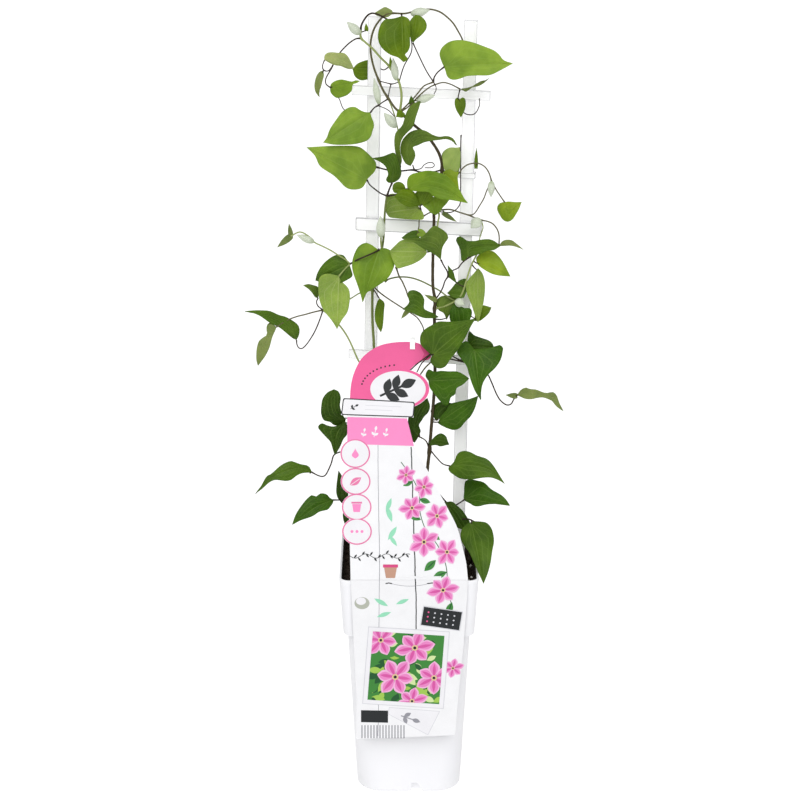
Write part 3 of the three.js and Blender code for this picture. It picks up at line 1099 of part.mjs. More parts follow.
// A smooth curve in the blade's plane, from the base through points of the frame to the tip
function bladeCurve(points, frame) {
  const { base, length, along, side, up } = frame;
  const eye = new THREE.Vector3(VIEW.x, VIEW.y, VIEW.z);
  const between = points.map(([px, py]) => {
    const line = sightLine(px, py);
    const offset = eye.clone().sub(base);
    offset.addScaledVector(line, -offset.dot(up) / line.dot(up));
    return new THREE.Vector3(offset.dot(along), offset.dot(side), 0);
  });
  const ends = [new THREE.Vector3(), new THREE.Vector3(length, 0, 0)];
  return new THREE.CatmullRomCurve3([ends[0], ...between, ends[1]], false, 'centripetal');
}

// The rows of a blade: for each its place on the midrib and on the two edges
function plainRows(leaf, { rib, edge }, frame) {
  const fold = THREE.MathUtils.degToRad(leaf.fold ?? FOLD);
  return rib.map((share, row) => {
    const [reach, wide] = edge[row];
    const half = wide * leaf.width * Math.cos(fold);
    return [[reach, -half], [share, 0], [reach, half]].map(([u, v]) => [u * frame.length, v]);
  });
}

// The same for a leaf with its own outline: even steps along its edges, and the midrib's place nearest to
// the middle between them
function outlinedRows(leaf, { rib }, frame) {
  const midrib = bladeCurve(leaf.rib ?? [], frame);
  const edges = leaf.edges.map((points) => bladeCurve(points, frame));
  edges.sort((a, b) => a.getPointAt(0.4).y - b.getPointAt(0.4).y);
  const places = midrib.getSpacedPoints(RIB_STEPS);
  let step = 0;
  return rib.map((_, row) => {
    const onEdge = (row + 1) / (rib.length + 1);
    const [left, right] = edges.map((edge) => edge.getPointAt(onEdge));
    const middle = left.clone().lerp(right, 0.5);
    const away = places.map((place) => place.distanceTo(middle));
    const nearest = Math.min(away.indexOf(Math.min(...away)), RIB_STEPS - 2 * (rib.length - row));
    step = row === 0 ? 0 : Math.max(step + 1, nearest);
    return [left, places[step], right].map(({ x, y }) => [x, y]);
  });
}

function bladeGeometry(leaf) {
  const frame = bladeFrame(leaf);
  const size = leaf.width <= SMALL_LEAF ? 'small' : leaf.width < LARGE_LEAF ? 'middle' : 'large';
  const { columns } = OUTLINE[size];
  const outline = (leaf.edges ? outlinedRows : plainRows)(leaf, OUTLINE[size], frame);
  outline[0][1][0] -= SUNK;
  const points = [];
  const rows = outline.map(([left, middle, right]) => (
    Array.from({ length: 2 * columns + 1 }, (_, k) => {
      const step = k / columns - 1;
      const edge = step < 0 ? left : right;
      const spot = middle.map((value, axis) => THREE.MathUtils.lerp(value, edge[axis], Math.abs(step)));
      return points.push(bladePoint(leaf, frame, spot, Math.abs(spot[1] - middle[1]))) - 1;
    })
  ));
  const tip = points.push(bladePoint(leaf, frame, [frame.length, 0], 0)) - 1;
  const faces = [];
  for (let k = 0; k < 2 * columns; k += 1) {
    for (let row = 0; row + 1 < rows.length; row += 1) {
      const [a, b] = [rows[row][k], rows[row][k + 1]];
      const [c, d] = [rows[row + 1][k + 1], rows[row + 1][k]];
      if (k < columns) faces.push([a, b, c], [a, c, d]);
      else faces.push([a, b, d], [b, c, d]);
    }
    faces.push([rows.at(-1)[k], rows.at(-1)[k + 1], tip]);
  }
  return thickened(points, faces, BLADE);
}

// Gives a surface a thickness: the same triangles on both faces, and a band round the edge
function thickened(points, faces, thickness) {
  const normals = points.map(() => new THREE.Vector3());
  const edges = new Map();
  for (const [a, b, c] of faces) {
    const normal = points[b].clone().sub(points[a]).cross(points[c].clone().sub(points[a]));
    for (const i of [a, b, c]) normals[i].add(normal);
    for (const [i, j] of [[a, b], [b, c], [c, a]]) {
      if (!edges.delete(`${j},${i}`)) edges.set(`${i},${j}`, [i, j]);
    }
  }
  const count = points.length;
  normals.forEach((normal) => normal.normalize().multiplyScalar(thickness / 2));
  const skin = [
    ...points.map((point, i) => point.clone().add(normals[i])),
    ...points.map((point, i) => point.clone().sub(normals[i])),
  ];
  const closed = faces.flatMap(([a, b, c]) => [[a, b, c], [c + count, b + count, a + count]]);
  for (const [i, j] of edges.values()) closed.push([j, i, i + count], [j, i + count, j + count]);
  return meshGeometry(skin, closed);
}

// A leaf or bud that isn't at a stem's own point gets a stalk from the nearest one, its end sunk in the leaf
const ON_STEM = 0.5;

function stalkBodies(leaf, paths) {
  const frame = bladeFrame(leaf);
  const near = paths.filter(({ name }) => !leaf.from || name === leaf.from).flatMap(({ all }) => all)
    .reduce((best, point) => (point.distanceTo(frame.base) < best.distanceTo(frame.base) ? point : best));
  if (near.distanceTo(frame.base) < ON_STEM) return [];
  const sunk = bladePoint(leaf, frame, [Math.min(0.15 * frame.length, 2.5), 0], 0);
  const radius = 0.6 + 0.006 * leaf.width;
  return [solid(tube([near, sunk], [radius, radius * 0.8], 3))];
}

// Buds: plump, with a drawn-out tip
const BUD = [[0, 0.3], [0.2, 0.85], [0.5, 1], [0.8, 0.55], [1, 0.1]];

function budBody({ base, tip, width }) {
  const [from, to] = [seen(...base), seen(...tip)];
  const points = BUD.map(([share]) => from.clone().lerp(to, share));
  return solid(tube(points, BUD.map(([, wide]) => (wide * width) / 2), 5));
}

function vineBody(stems, leaves, buds) {
  const paths = stems.map((stem) => ({ name: stem.name, all: stemPath(stem.way).all }));
  const blades = leaves.map((leaf) => solid(bladeGeometry(leaf)));
  const stalks = [...leaves, ...buds].flatMap((leaf) => stalkBodies(leaf, paths));
  const bodies = [...stems.map((stem) => stemBody(stem)), ...stalks, ...buds.map(budBody), ...blades];
  return largestPiece(joined(bodies));
}

// The soil: fills the pot to just under the rim, with a crumbly top and plain holes for rails and stems
const CRUMB_RINGS = [0.9, 0.62, 0.3];
const CRUMB_HEIGHT = 1.6;

function soilBody() {
  const random = randomSource(7);
  const sides = insideRings(WALL + GAP, FLOOR + GAP, SOIL_TOP - 2);
  const top = CRUMB_RINGS.map((share) => sides.at(-1).map((point) => (
    new THREE.Vector3(point.x * share, point.y * share, SOIL_TOP + (random() * 2 - 1) * CRUMB_HEIGHT)
  )));
  const housings = [0, 90, 180, 270].map((turn) => notchSolid(HOUSING_WALL + GAP).rotate([0, 0, turn]));
  const legs = rails.map(({ x }) => {
    const leg = new THREE.BoxGeometry(RAIL_WIDTH + 2 * GAP, RAIL_DEPTH + 2 * GAP, POT_HEIGHT);
    leg.translate(x, 0, RAIL_FOOT - GAP + POT_HEIGHT / 2);
    return solid(leg.applyMatrix4(leaning.matrixWorld));
  });
  const roots = [RIGHT_STEMS[0], LEFT_STEMS[0]].map((stem) => (
    stemBody({ ...stem, way: stem.way.slice(0, 4) }, 1.5 * GAP)
  ));
  const full = solid(loft([...sides, ...top]));
  return largestPiece(full.subtract(joined([...housings, ...legs, ...roots])));
}

// The whole
const pot = piece('pot', geometryOf(potBody()), 0xf6f6f8, 0.35);
const soil = piece('soil', geometryOf(soilBody()), 0x17130f, 0.95);
const label = piece('label', geometryOf(labelBody()), 0xf3f2f4, 0.45);
const hook = piece('label_hook', geometryOf(hookBody()), 0xf4f4f6, 0.4);
const rightBody = vineBody(RIGHT_STEMS, RIGHT_LEAVES, RIGHT_BUDS);
const vineRight = piece('vine_right', geometryOf(rightBody), 0x5c8f2a, 0.5);
const leftBody = vineBody(LEFT_STEMS, LEFT_LEAVES, LEFT_BUDS);
const vineLeft = piece('vine_left', geometryOf(leftBody), 0x5c8f2a, 0.5);

const group = new THREE.Group();
group.add(pot, soil, trellis, label, hook, vineRight, vineLeft);
group.updateMatrixWorld(true);

export default group;
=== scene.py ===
"""The looks of a potted climbing clematis on a ladder trellis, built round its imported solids.

Sizes are in millimetres until a mesh is made, in the frame of the solids: +Z up, the origin at the middle
of the pot's foot, the front of the pot towards -Y.
"""
import math
import random

import bmesh
import bpy
from mathutils import Matrix, Vector


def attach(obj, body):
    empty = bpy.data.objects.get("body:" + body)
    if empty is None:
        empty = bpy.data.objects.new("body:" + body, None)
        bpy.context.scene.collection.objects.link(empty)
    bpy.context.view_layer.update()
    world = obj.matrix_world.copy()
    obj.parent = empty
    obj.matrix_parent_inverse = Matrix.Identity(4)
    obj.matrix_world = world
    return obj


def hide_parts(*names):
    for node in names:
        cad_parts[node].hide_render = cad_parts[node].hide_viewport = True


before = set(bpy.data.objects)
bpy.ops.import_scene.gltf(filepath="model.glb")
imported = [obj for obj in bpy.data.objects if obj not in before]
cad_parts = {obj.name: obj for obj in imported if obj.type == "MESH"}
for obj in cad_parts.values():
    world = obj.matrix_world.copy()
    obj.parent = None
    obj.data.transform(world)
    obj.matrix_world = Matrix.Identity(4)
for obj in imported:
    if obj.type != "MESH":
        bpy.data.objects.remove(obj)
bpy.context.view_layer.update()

MM = 0.001
TURN = 6.28  # radians in one turn, for random angles and waves
TINY = 1e-6

# Driving dimensions, as in the solids
POT_HEIGHT = 241
RIM_WIDTH = 139.4
COLLAR_FOOT_WIDTH = 132
COLLAR_HEIGHT = 61
BODY_TOP_WIDTH = 123.4
FOOT_WIDTH = 106
WALL = 2
FLOOR = 2.4
SOIL_TOP = 230

RAIL_SPACING = 93.5
RAIL_WIDTH = 12.7
RAIL_DEPTH = 6
RAIL_TOP = 786
RAIL_FOOT = 130
RAIL_BAND = 633.5  # height of the small band moulded round the right rail
BAR_DEPTH = 3.7
# The height, width and face of each bar
BARS = {"crossbar_1": (714, 136, 9.4), "crossbar_2": (580, 126, 13.4), "crossbar_3": (445, 137, 9.4)}
BAR_GAP = 0.35
TRELLIS_Y = 31
TRELLIS_TURN = math.radians(-8)
TRELLIS_LEAN = math.radians(0.9)
TRELLIS_PLACE = (
    Matrix.Translation((1, TRELLIS_Y, 0))
    @ Matrix.Rotation(TRELLIS_TURN, 4, "Z")
    @ Matrix.Rotation(TRELLIS_LEAN, 4, "Y")
)

LABEL_THICKNESS = 0.7
LABEL_GAP = 0.35
LABEL_FOLD_HEIGHT = 243
LABEL_LEAN = math.radians(21.3)
LABEL_Y = -RIM_WIDTH / 2 - LABEL_GAP - LABEL_THICKNESS / 2

# Light
WORLD_LIGHT = 0.52
KEY_LIGHT = 2.1
KEY_SPREAD = math.radians(60)
KEY_WAY = Vector((0.06, 0.82, -0.95))
FLOOR_GLOW = 0.88
FLOOR_REACH = 60  # metres from the middle to each side

# The camera, which is also the viewpoint that the outlines were read from
CAMERA_PLACE = Vector((-9, -2380, 1181))
CAMERA_TILT = math.radians(18)
FRAME_SIZE = 800
FOCAL_PIXELS = 2500
SENSOR_WIDTH = 36


def sight_line(px, py):
    """The direction of the sight line through a pixel of the 800 x 800 frame."""
    up = (FRAME_SIZE / 2 - py) / FOCAL_PIXELS
    forward = math.cos(CAMERA_TILT) + math.sin(CAMERA_TILT) * up
    rise = -math.sin(CAMERA_TILT) + math.cos(CAMERA_TILT) * up
    return Vector(((px - FRAME_SIZE / 2) / FOCAL_PIXELS, forward, rise))


def seen(px, py, y):
    """The point at (px, py) in the frame that lies y behind the pot's middle."""
    line = sight_line(px, py)
    return CAMERA_PLACE + line * ((y - CAMERA_PLACE.y) / line.y)


def mix(a, b, share):
    """The value that lies at a share of the way from a to b."""
    return a + (b - a) * share


# Camera, light and floor
def make_camera():
    data = bpy.data.cameras.new("camera")
    data.sensor_width = SENSOR_WIDTH
    data.lens = SENSOR_WIDTH * FOCAL_PIXELS / FRAME_SIZE
    camera = bpy.data.objects.new("camera", data)
    camera.location = CAMERA_PLACE * MM
    camera.rotation_euler = (math.pi / 2 - CAMERA_TILT, 0, 0)
    bpy.context.scene.collection.objects.link(camera)
    bpy.context.scene.camera = camera


def make_studio():
    """White surroundings, one broad lamp and a white floor."""
    scene = bpy.context.scene
    scene.view_settings.view_transform = "Standard"
    scene.world = bpy.data.worlds.new("studio")
    scene.world.use_nodes = True
    background = scene.world.node_tree.nodes["Background"]
    background.inputs["Color"].default_value = (1, 1, 1, 1)
    background.inputs["Strength"].default_value = WORLD_LIGHT
    sun = bpy.data.lights.new("key", "SUN")
    sun.energy = KEY_LIGHT
    sun.angle = KEY_SPREAD
    lamp = bpy.data.objects.new("key", sun)
    lamp.rotation_euler = KEY_WAY.to_track_quat("-Z", "Y").to_euler()
    scene.collection.objects.link(lamp)
    mesh = bpy.data.meshes.new("floor")
    corners = [(x * FLOOR_REACH, y * FLOOR_REACH, 0) for x, y in ((-1, -1), (1, -1), (1, 1), (-1, 1))]
    mesh.from_pydata(corners, [], [(0, 1, 2, 3)])
    floor = bpy.data.objects.new("floor", mesh)
    scene.collection.objects.link(floor)
    mesh.materials.append(floor_material())


# Materials: a small kit of shader nodes
class Shader:
    """A Principled material whose nodes are made and joined by name."""

    def __init__(self, name, **values):
        self.material = bpy.data.materials.new(name)
        self.material.use_nodes = True
        self.tree = self.material.node_tree
        self.surface = self.tree.nodes["Principled BSDF"]
        self.fill(self.surface, values)

    def fill(self, node, values):
        for key, value in values.items():
            self.put(node.inputs[key.replace("_", " ")], value)

    def put(self, socket, value):
        if isinstance(value, bpy.types.NodeSocket):
            self.tree.links.new(value, socket)
        else:
            socket.default_value = (*value, 1) if socket.type == "RGBA" else value

    def node(self, kind, **inputs):
        made = self.tree.nodes.new("ShaderNode" + kind)
        self.fill(made, inputs)
        return made

    def math(self, operation, a, b=0.0, c=0.0):
        made = self.node("Math")
        made.operation = operation
        for socket, value in zip(made.inputs, (a, b, c)):
            self.put(socket, value)
        return made.outputs[0]

    def place(self):
        return self.node("NewGeometry").outputs["Position"]

    def noise(self, scale, detail=3.0, roughness=0.55):
        made = self.node("TexNoise", Vector=self.place(), Scale=scale, Detail=detail, Roughness=roughness)
        return made.outputs["Fac"]

    def ramp(self, value, low, high, start=0.0, end=1.0):
        """Value taken from low..high to start..end, smoothly and held at the ends."""
        made = self.node("MapRange", Value=value, From_Min=low, From_Max=high, To_Min=start, To_Max=end)
        made.interpolation_type = "SMOOTHSTEP"
        return made.outputs[0]

    def blend(self, share, a, b, kind="MIX"):
        made = self.node("Mix")
        made.data_type = "RGBA"
        made.blend_type = kind
        for socket, value in ((0, share), (6, a), (7, b)):
            self.put(made.inputs[socket], value)
        return made.outputs[2]

    def grown(self):
        """What a grown skin carries: its tone, and the place across or round its part and along it."""
        tone = self.node("Attribute")
        tone.attribute_name = "tone"
        where = self.node("UVMap")
        where.uv_map = "blade"
        split = self.node("SeparateXYZ", Vector=where.outputs[0])
        return tone.outputs[0], split.outputs[0], split.outputs[1]

    def finish(self, colour=None, roughness=None, bumps=()):
        """Joins what varies to the surface. A bump is (height, how deep in millimetres, strength)."""
        if colour is not None:
            self.put(self.surface.inputs["Base Color"], colour)
        if roughness is not None:
            self.put(self.surface.inputs["Roughness"], roughness)
        normal = None
        for height, depth, strength in bumps:
            made = self.node("Bump", Height=height, Distance=depth * MM, Strength=strength)
            if normal:
                self.tree.links.new(normal, made.inputs["Normal"])
            normal = made.outputs[0]
        if normal:
            self.tree.links.new(normal, self.surface.inputs["Normal"])
        return self.material


def floor_material():
    glow = {"Emission_Color": (1.0, 1.0, 1.0), "Emission_Strength": FLOOR_GLOW}
    shader = Shader("floor", Roughness=0.9, Specular_IOR_Level=0.0, **glow)
    tone = shader.noise(0.8)
    return shader.finish(shader.blend(tone, (0.25, 0.25, 0.25), (0.27, 0.27, 0.27)))


def plastic_material(name, colour, shade, roughness, grain, glow=0.0):
    """Moulded white plastic: a faint cloudiness, a fine grain and dull smears of handling.

    The glow is painted light: a faint emission that brightens the part as though more light fell on it.
    """
    depth = {"Subsurface_Weight": 0.08, "Subsurface_Scale": 0.003, "Subsurface_Radius": (1, 1, 1)}
    shader = Shader(name, Specular_IOR_Level=0.22, Emission_Strength=glow, **depth)
    cloud = shader.ramp(shader.noise(9, 2), 0.35, 0.7)
    smears = shader.ramp(shader.noise(34, 5, 0.6), 0.55, 0.72)
    colour_mix = shader.blend(cloud, colour, shade)
    rough = shader.math("MULTIPLY_ADD", smears, 0.12, roughness)
    fine = shader.noise(2600, 2)
    ripple = shader.noise(60, 2)
    return shader.finish(colour_mix, rough, [(ripple, 0.25, 0.4), (fine, grain, 0.35)])


WET_EARTH = (0.008, 0.006, 0.005)


def stained_material(plastic):
    """The inner wall above the soil: earth-coloured smears over a mid grey, painted shade under the rim."""
    shader = Shader("pot_inner_wall_dark", Specular_IOR_Level=0.2)
    cover = shader.ramp(shader.noise(130, 5, 0.65), 0.3, 0.42)
    grit = shader.noise(700, 4, 0.6)
    earth = shader.blend(grit, WET_EARTH, (0.05, 0.034, 0.024))
    return shader.finish(shader.blend(cover, plastic, earth), 0.85, [(grit, 0.6, 0.6)])


def soil_material():
    """Dark crumbs with brown fibres among them."""
    shader = Shader("soil", Specular_IOR_Level=0.2)
    crumbs = shader.noise(420, 6, 0.7)
    fibres = shader.noise(1500, 4, 0.6)
    dark = shader.blend(crumbs, WET_EARTH, (0.055, 0.036, 0.024))
    colour = shader.blend(shader.ramp(fibres, 0.62, 0.75, 0, 0.5), dark, (0.12, 0.075, 0.045))
    return shader.finish(colour, 0.95, [(crumbs, 2.0, 0.9), (fibres, 0.5, 0.6)])


# Meshes
def make_piece(name, points, faces, materials, slot, smooth=True, replaces=()):
    """Points and faces in millimetres become a piece that rides with the object."""
    mesh = bpy.data.meshes.new(name)
    mesh.from_pydata([Vector(p) * MM for p in points], [], faces)
    mesh.validate()
    return finish_piece(name, mesh, materials, smooth, replaces)


def finish_piece(name, mesh, materials, smooth=True, replaces=()):
    """A mesh in metres becomes a piece, with its materials and the nodes that it stands for."""
    for material in materials:
        mesh.materials.append(material)
    if smooth:
        mesh.polygons.foreach_set("use_smooth", [True] * len(mesh.polygons))
    piece = bpy.data.objects.new(name, mesh)
    bpy.context.scene.collection.objects.link(piece)
    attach(piece, "root")
    if replaces:
        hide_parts(*replaces)
    return piece


def shade_by_angle(mesh, degrees):
    """Smooth shading, with creases where two faces meet at more than the angle."""
    mesh.polygons.foreach_set("use_smooth", [True] * len(mesh.polygons))
    mesh.set_sharp_from_angle(angle=math.radians(degrees))


def ellipse(centre, across, tall, steps=36):
    """Points round an ellipse, given its two radii."""
    points = []
    for i in range(steps):
        angle = 2 * math.pi * i / steps
        points.append(centre + Vector((across * math.cos(angle), tall * math.sin(angle))))
    return points


def loft(rings):
    """Points and faces of a closed skin through rings of equal size."""
    size = len(rings[0])
    last = (len(rings) - 1) * size
    points = [point for ring in rings for point in ring]
    faces = []
    for first in range(0, last, size):
        for i in range(size):
            a, b = first + i, first + (i + 1) % size
            faces.append((a, b, b + size, a + size))
    faces.append(tuple(range(size - 1, -1, -1)))
    faces.append(tuple(range(last, last + size)))
    return points, faces


# The pot
COLLAR_FOOT = POT_HEIGHT - COLLAR_HEIGHT
FOOT_CORNER = 27
BODY_TOP_CORNER = 13
COLLAR_FOOT_CORNER = 12
RIM_CORNER = 9
FOOT_ROUNDING = 3
COLLAR_ROUNDING = 1.2
RIM_ROUNDING = 1.1
CORNERS = ((1, 1), (-1, 1), (-1, -1), (1, -1))
CORNER_STEPS = 14
SIDE_STEPS = 4
DRAIN_OFFSET = 28
DRAIN_RADIUS = 4
# The drainage recess in a wall, its places across measured from the middle of the wall
RECESS = {"left": 1.8, "top_left": 2.8, "top_right": 8.6, "foot_right": 14.6, "right": 15.5}
RECESS_HEIGHT = 10.5
RECESS_DEPTH = 9
HOUSING_WALL = 1.6
BELOW = -6  # how low the recess's cutting block starts, under the pot


def rounded_square(width, radius, z):
    """A ring round a square with rounded corners, with a few points on its straight sides."""
    ring = []
    reach = width / 2 - radius
    for corner, (sx, sy) in enumerate(CORNERS):
        for i in range(CORNER_STEPS + 1):
            angle = (corner + i / CORNER_STEPS) * math.pi / 2
            ring.append((sx * reach + radius * math.cos(angle), sy * reach + radius * math.sin(angle), z))
        x, y, _ = ring[-1]
        nx, ny = CORNERS[(corner + 1) % 4]
        end_x, end_y = (nx * reach, y) if corner % 2 == 0 else (x, ny * reach)
        for i in range(1, SIDE_STEPS):
            share = i / SIDE_STEPS
            ring.append((mix(x, end_x, share), mix(y, end_y, share), z))
    return ring


def body_width(z):
    return mix(FOOT_WIDTH, BODY_TOP_WIDTH, z / COLLAR_FOOT)


def body_ring(z, inset=0):
    """The ring of the body at a height, or of its inner wall."""
    corner = mix(FOOT_CORNER, BODY_TOP_CORNER, z / COLLAR_FOOT)
    return rounded_square(body_width(z) - 2 * inset, corner - inset, z)


def collar_width(z):
    return mix(COLLAR_FOOT_WIDTH, RIM_WIDTH, (z - COLLAR_FOOT) / COLLAR_HEIGHT)


def collar_ring(z, inset=0):
    """The ring of the collar at a height, or of its inner wall."""
    corner = mix(COLLAR_FOOT_CORNER, RIM_CORNER, (z - COLLAR_FOOT) / COLLAR_HEIGHT)
    return rounded_square(collar_width(z) - 2 * inset, corner - inset, z)


def arc(width, corner, centre_z, radius, start, end, steps):
    """Rings round a rounded edge: the wall goes in by radius*(1-cos) and up or down by radius*sin."""
    rings = []
    for i in range(steps + 1):
        angle = math.radians(mix(start, end, i / steps))
        inset = radius * (1 - math.cos(angle))
        z = centre_z + radius * math.sin(angle)
        rings.append(rounded_square(width - 2 * inset, max(corner - inset, 1), z))
    return rings


def pot_rings():
    """The rings of the pot's skin: up the outside, over the rim and down the inside to the floor."""
    rings = arc(FOOT_WIDTH, FOOT_CORNER, FOOT_ROUNDING, FOOT_ROUNDING, -90, 0, 5)
    rings += [body_ring(mix(FOOT_ROUNDING, COLLAR_FOOT - 2.2, i / 8)) for i in range(1, 9)]
    rings.append(rounded_square(BODY_TOP_WIDTH + 1, BODY_TOP_CORNER, COLLAR_FOOT - 1.4))
    rings += arc(COLLAR_FOOT_WIDTH, COLLAR_FOOT_CORNER, COLLAR_FOOT, COLLAR_ROUNDING, -80, 0, 3)
    rings += [collar_ring(mix(COLLAR_FOOT, POT_HEIGHT - 4.2, i / 5)) for i in range(1, 6)]
    rings.append(rounded_square(RIM_WIDTH - 0.1, RIM_CORNER + 0.2, POT_HEIGHT - 3.2))
    rings += arc(RIM_WIDTH, RIM_CORNER + 0.4, POT_HEIGHT - RIM_ROUNDING, RIM_ROUNDING, 0, 85, 4)
    rings += arc(RIM_WIDTH - 2 * WALL - 0.4, RIM_CORNER - 1.6, POT_HEIGHT - 0.9, -0.9, -80, 0, 3)
    shelf = COLLAR_FOOT + 1
    rings += [collar_ring(z, WALL) for z in (POT_HEIGHT - 6, mix(shelf, POT_HEIGHT, 0.5), shelf + 4)]
    rings += [body_ring(z, WALL) for z in (shelf - 2, COLLAR_FOOT / 2, FLOOR + 2.5)]
    rings.append(rounded_square(body_width(FLOOR) - 5 - 2 * WALL, FOOT_CORNER - 5, FLOOR))
    return rings


def recess_block(grown):
    """The block that cuts a drainage recess in the front wall, or, grown, the housing round it."""
    top = RECESS_HEIGHT + grown
    outline = [
        (RECESS["left"] - grown, BELOW), (RECESS["right"] + grown, BELOW), (RECESS["foot_right"] + grown, 0),
        (RECESS["top_right"] + grown, top), (RECESS["top_left"] - grown, top),
    ]
    front = -FOOT_WIDTH / 2 - (0.5 if grown else 8)
    back = -FOOT_WIDTH / 2 + RECESS_DEPTH + grown
    lowest = 0.6 if grown else BELOW
    return loft([[(x, y, max(z, lowest)) for x, z in outline] for y in (back, front)])


def boolean(target, points, faces, operation):
    """Cuts or joins a closed mesh into the target object's mesh."""
    mesh = bpy.data.meshes.new("tool")
    mesh.from_pydata([Vector(p) * MM for p in points], [], faces)
    tool = bpy.data.objects.new("tool", mesh)
    bpy.context.scene.collection.objects.link(tool)
    modifier = target.modifiers.new("cut", "BOOLEAN")
    modifier.operation = operation
    modifier.solver = "EXACT"
    modifier.object = tool
    bpy.context.view_layer.update()
    shaped = bpy.data.meshes.new_from_object(target.evaluated_get(bpy.context.evaluated_depsgraph_get()))
    target.modifiers.clear()
    target.data = shaped
    bpy.data.objects.remove(tool)


def paint_pot(mesh):
    """Gives the inner wall above the soil painted shade, and the backs of the foot recesses painted light.
    """
    for face in mesh.polygons:
        x, y, z = face.center / MM
        reach = max(abs(x), abs(y))
        outwards = (face.normal.x * x + face.normal.y * y) / reach
        in_recess = z < 11 and reach < FOOT_WIDTH / 2 - 6 and min(abs(x), abs(y)) < 16
        if SOIL_TOP - 10 < z < POT_HEIGHT - 1.2 and outwards < -0.5:
            face.material_index = 1
        elif in_recess and outwards > 0.9:
            face.material_index = 2


def make_pot():
    points, faces = loft(pot_rings())
    materials = [
        plastic_material("pot_white", (0.8, 0.8, 0.82), (0.77, 0.77, 0.795), 0.38, 0.012),
        # The inner wall above the soil: earth smears over plastic in mid grey, painted shade under the rim.
        stained_material((0.5, 0.5, 0.5)),
        # The recess backs: a whiter plastic with a glow, painted light so that they read bright, not shaded.
        plastic_material("pot_recess_painted_light", (0.9, 0.9, 0.92), (0.87, 0.87, 0.89), 0.4, 0.012, glow=0.07),
    ]
    pot = make_piece("pot_shell", points, faces, materials, "pot_white", replaces=["pot"])
    for side in range(4):
        turn = Matrix.Rotation(side * math.pi / 2, 4, "Z")
        for grown, operation in ((HOUSING_WALL, "UNION"), (0, "DIFFERENCE")):
            block_points, block_faces = recess_block(grown)
            boolean(pot, [turn @ Vector(p) for p in block_points], block_faces, operation)
    for corner in CORNERS:
        hole = ellipse(Vector(corner) * DRAIN_OFFSET, DRAIN_RADIUS, DRAIN_RADIUS, steps=24)
        boolean(pot, *loft([[(*p, z) for p in hole] for z in (-4, 4)]), "DIFFERENCE")
    shade_by_angle(pot.data, 32)
    paint_pot(pot.data)


# The trellis. A frame is how deep its field lies, how wide its border is and how far its edges are cut.
RAIL_FRAME = (1.1, 2.6, 0.55)
BAND_FRAME = (0.3, 1.4, 0.6)
NARROW_BAR_FRAME = (0.5, 1.5, 0.5)
WIDE_BAR_FRAME = (0.5, 1.5, 1.2)
BAND_HEIGHT = 5.6


def framed_bar(width, height, depth, recess, border, bevel, segments=2):
    """A bar with a shallow recess in its front (-Y) face, its middle at the origin.

    The narrow faces along its outer edges take the second material, a darker one painted as shade.
    """
    mesh = bmesh.new()
    bmesh.ops.create_cube(mesh, size=1)
    bmesh.ops.scale(mesh, vec=(width, depth, height), verts=mesh.verts)
    front = [face for face in mesh.faces if face.normal.y < -0.9]
    bmesh.ops.inset_region(mesh, faces=front, thickness=border, use_even_offset=True)
    for corner in front[0].verts:
        corner.co.y += recess
    bmesh.ops.bevel(mesh, geom=mesh.edges[:], offset=bevel, segments=segments, profile=0.5, affect="EDGES")
    mesh.normal_update()
    for face in mesh.faces:
        face.smooth = max(abs(part) for part in face.normal) < 0.99
        middle = face.calc_center_median()
        outer = abs(middle.x) > width / 2 - bevel or abs(middle.z) > height / 2 - bevel
        narrow = face.calc_area() < bevel * max(edge.calc_length() for edge in face.edges)
        face.material_index = 1 if outer and narrow else 0
    return mesh


def placed_piece(name, mesh, matrix, materials, node):
    """A bmesh in millimetres, moved by the matrix, becomes the piece that stands for a node."""
    bmesh.ops.transform(mesh, matrix=Matrix.Scale(MM, 4) @ matrix, verts=mesh.verts)
    data = bpy.data.meshes.new(name)
    mesh.to_mesh(data)
    mesh.free()
    finish_piece(name, data, materials, smooth=False, replaces=[node])


def add_band(rail, height):
    """Joins the small moulded band to a rail, at a height above the rail's middle."""
    band = framed_bar(RAIL_WIDTH + 4, BAND_HEIGHT, RAIL_DEPTH + 3, *BAND_FRAME)
    bmesh.ops.translate(band, vec=(0, 0, height), verts=band.verts)
    joined = bpy.data.meshes.new("band")
    band.to_mesh(joined)
    band.free()
    rail.from_mesh(joined)


def make_trellis():
    # The faint glow is painted light, lifting the white out of the shade that the leaves cast.
    white = plastic_material("trellis_white", (0.97, 0.97, 0.98), (0.94, 0.94, 0.955), 0.4, 0.02, glow=0.04)
    # A darker grey on the bevelled edges: painted shade that draws the outlines of rails and bars.
    edge = plastic_material("trellis_edge_painted_shade", (0.64, 0.64, 0.66), (0.56, 0.56, 0.58), 0.5, 0.02)
    materials = [white, edge]
    length = RAIL_TOP - RAIL_FOOT
    middle = RAIL_FOOT + length / 2
    for side, sign in (("left", -1), ("right", 1)):
        rail = framed_bar(RAIL_WIDTH, length, RAIL_DEPTH, *RAIL_FRAME)
        if side == "right":
            add_band(rail, RAIL_BAND - middle)
        place = TRELLIS_PLACE @ Matrix.Translation((sign * RAIL_SPACING / 2, 0, middle))
        placed_piece("upright_" + side, rail, place, materials, "rail_" + side)
    for node, (height, width, face) in BARS.items():
        frame_sizes = NARROW_BAR_FRAME if face < 10 else WIDE_BAR_FRAME
        bar = framed_bar(width, face, BAR_DEPTH, *frame_sizes, segments=3)
        place = TRELLIS_PLACE @ Matrix.Translation((0, -RAIL_DEPTH / 2 - BAR_GAP - BAR_DEPTH / 2, height))
        placed_piece(node.replace("crossbar", "rung"), bar, place, materials, node)
    make_strap(white)


# The soil. Each kind of lump has a seed, a count, its smallest and largest size and how high it is strewn.
CRUMBS = (3, 1500, 1.0, 3.6, 1.2)
PERLITE = (11, 90, 0.8, 2.2, 2.6)
CRUMB_MARGIN = 3.2


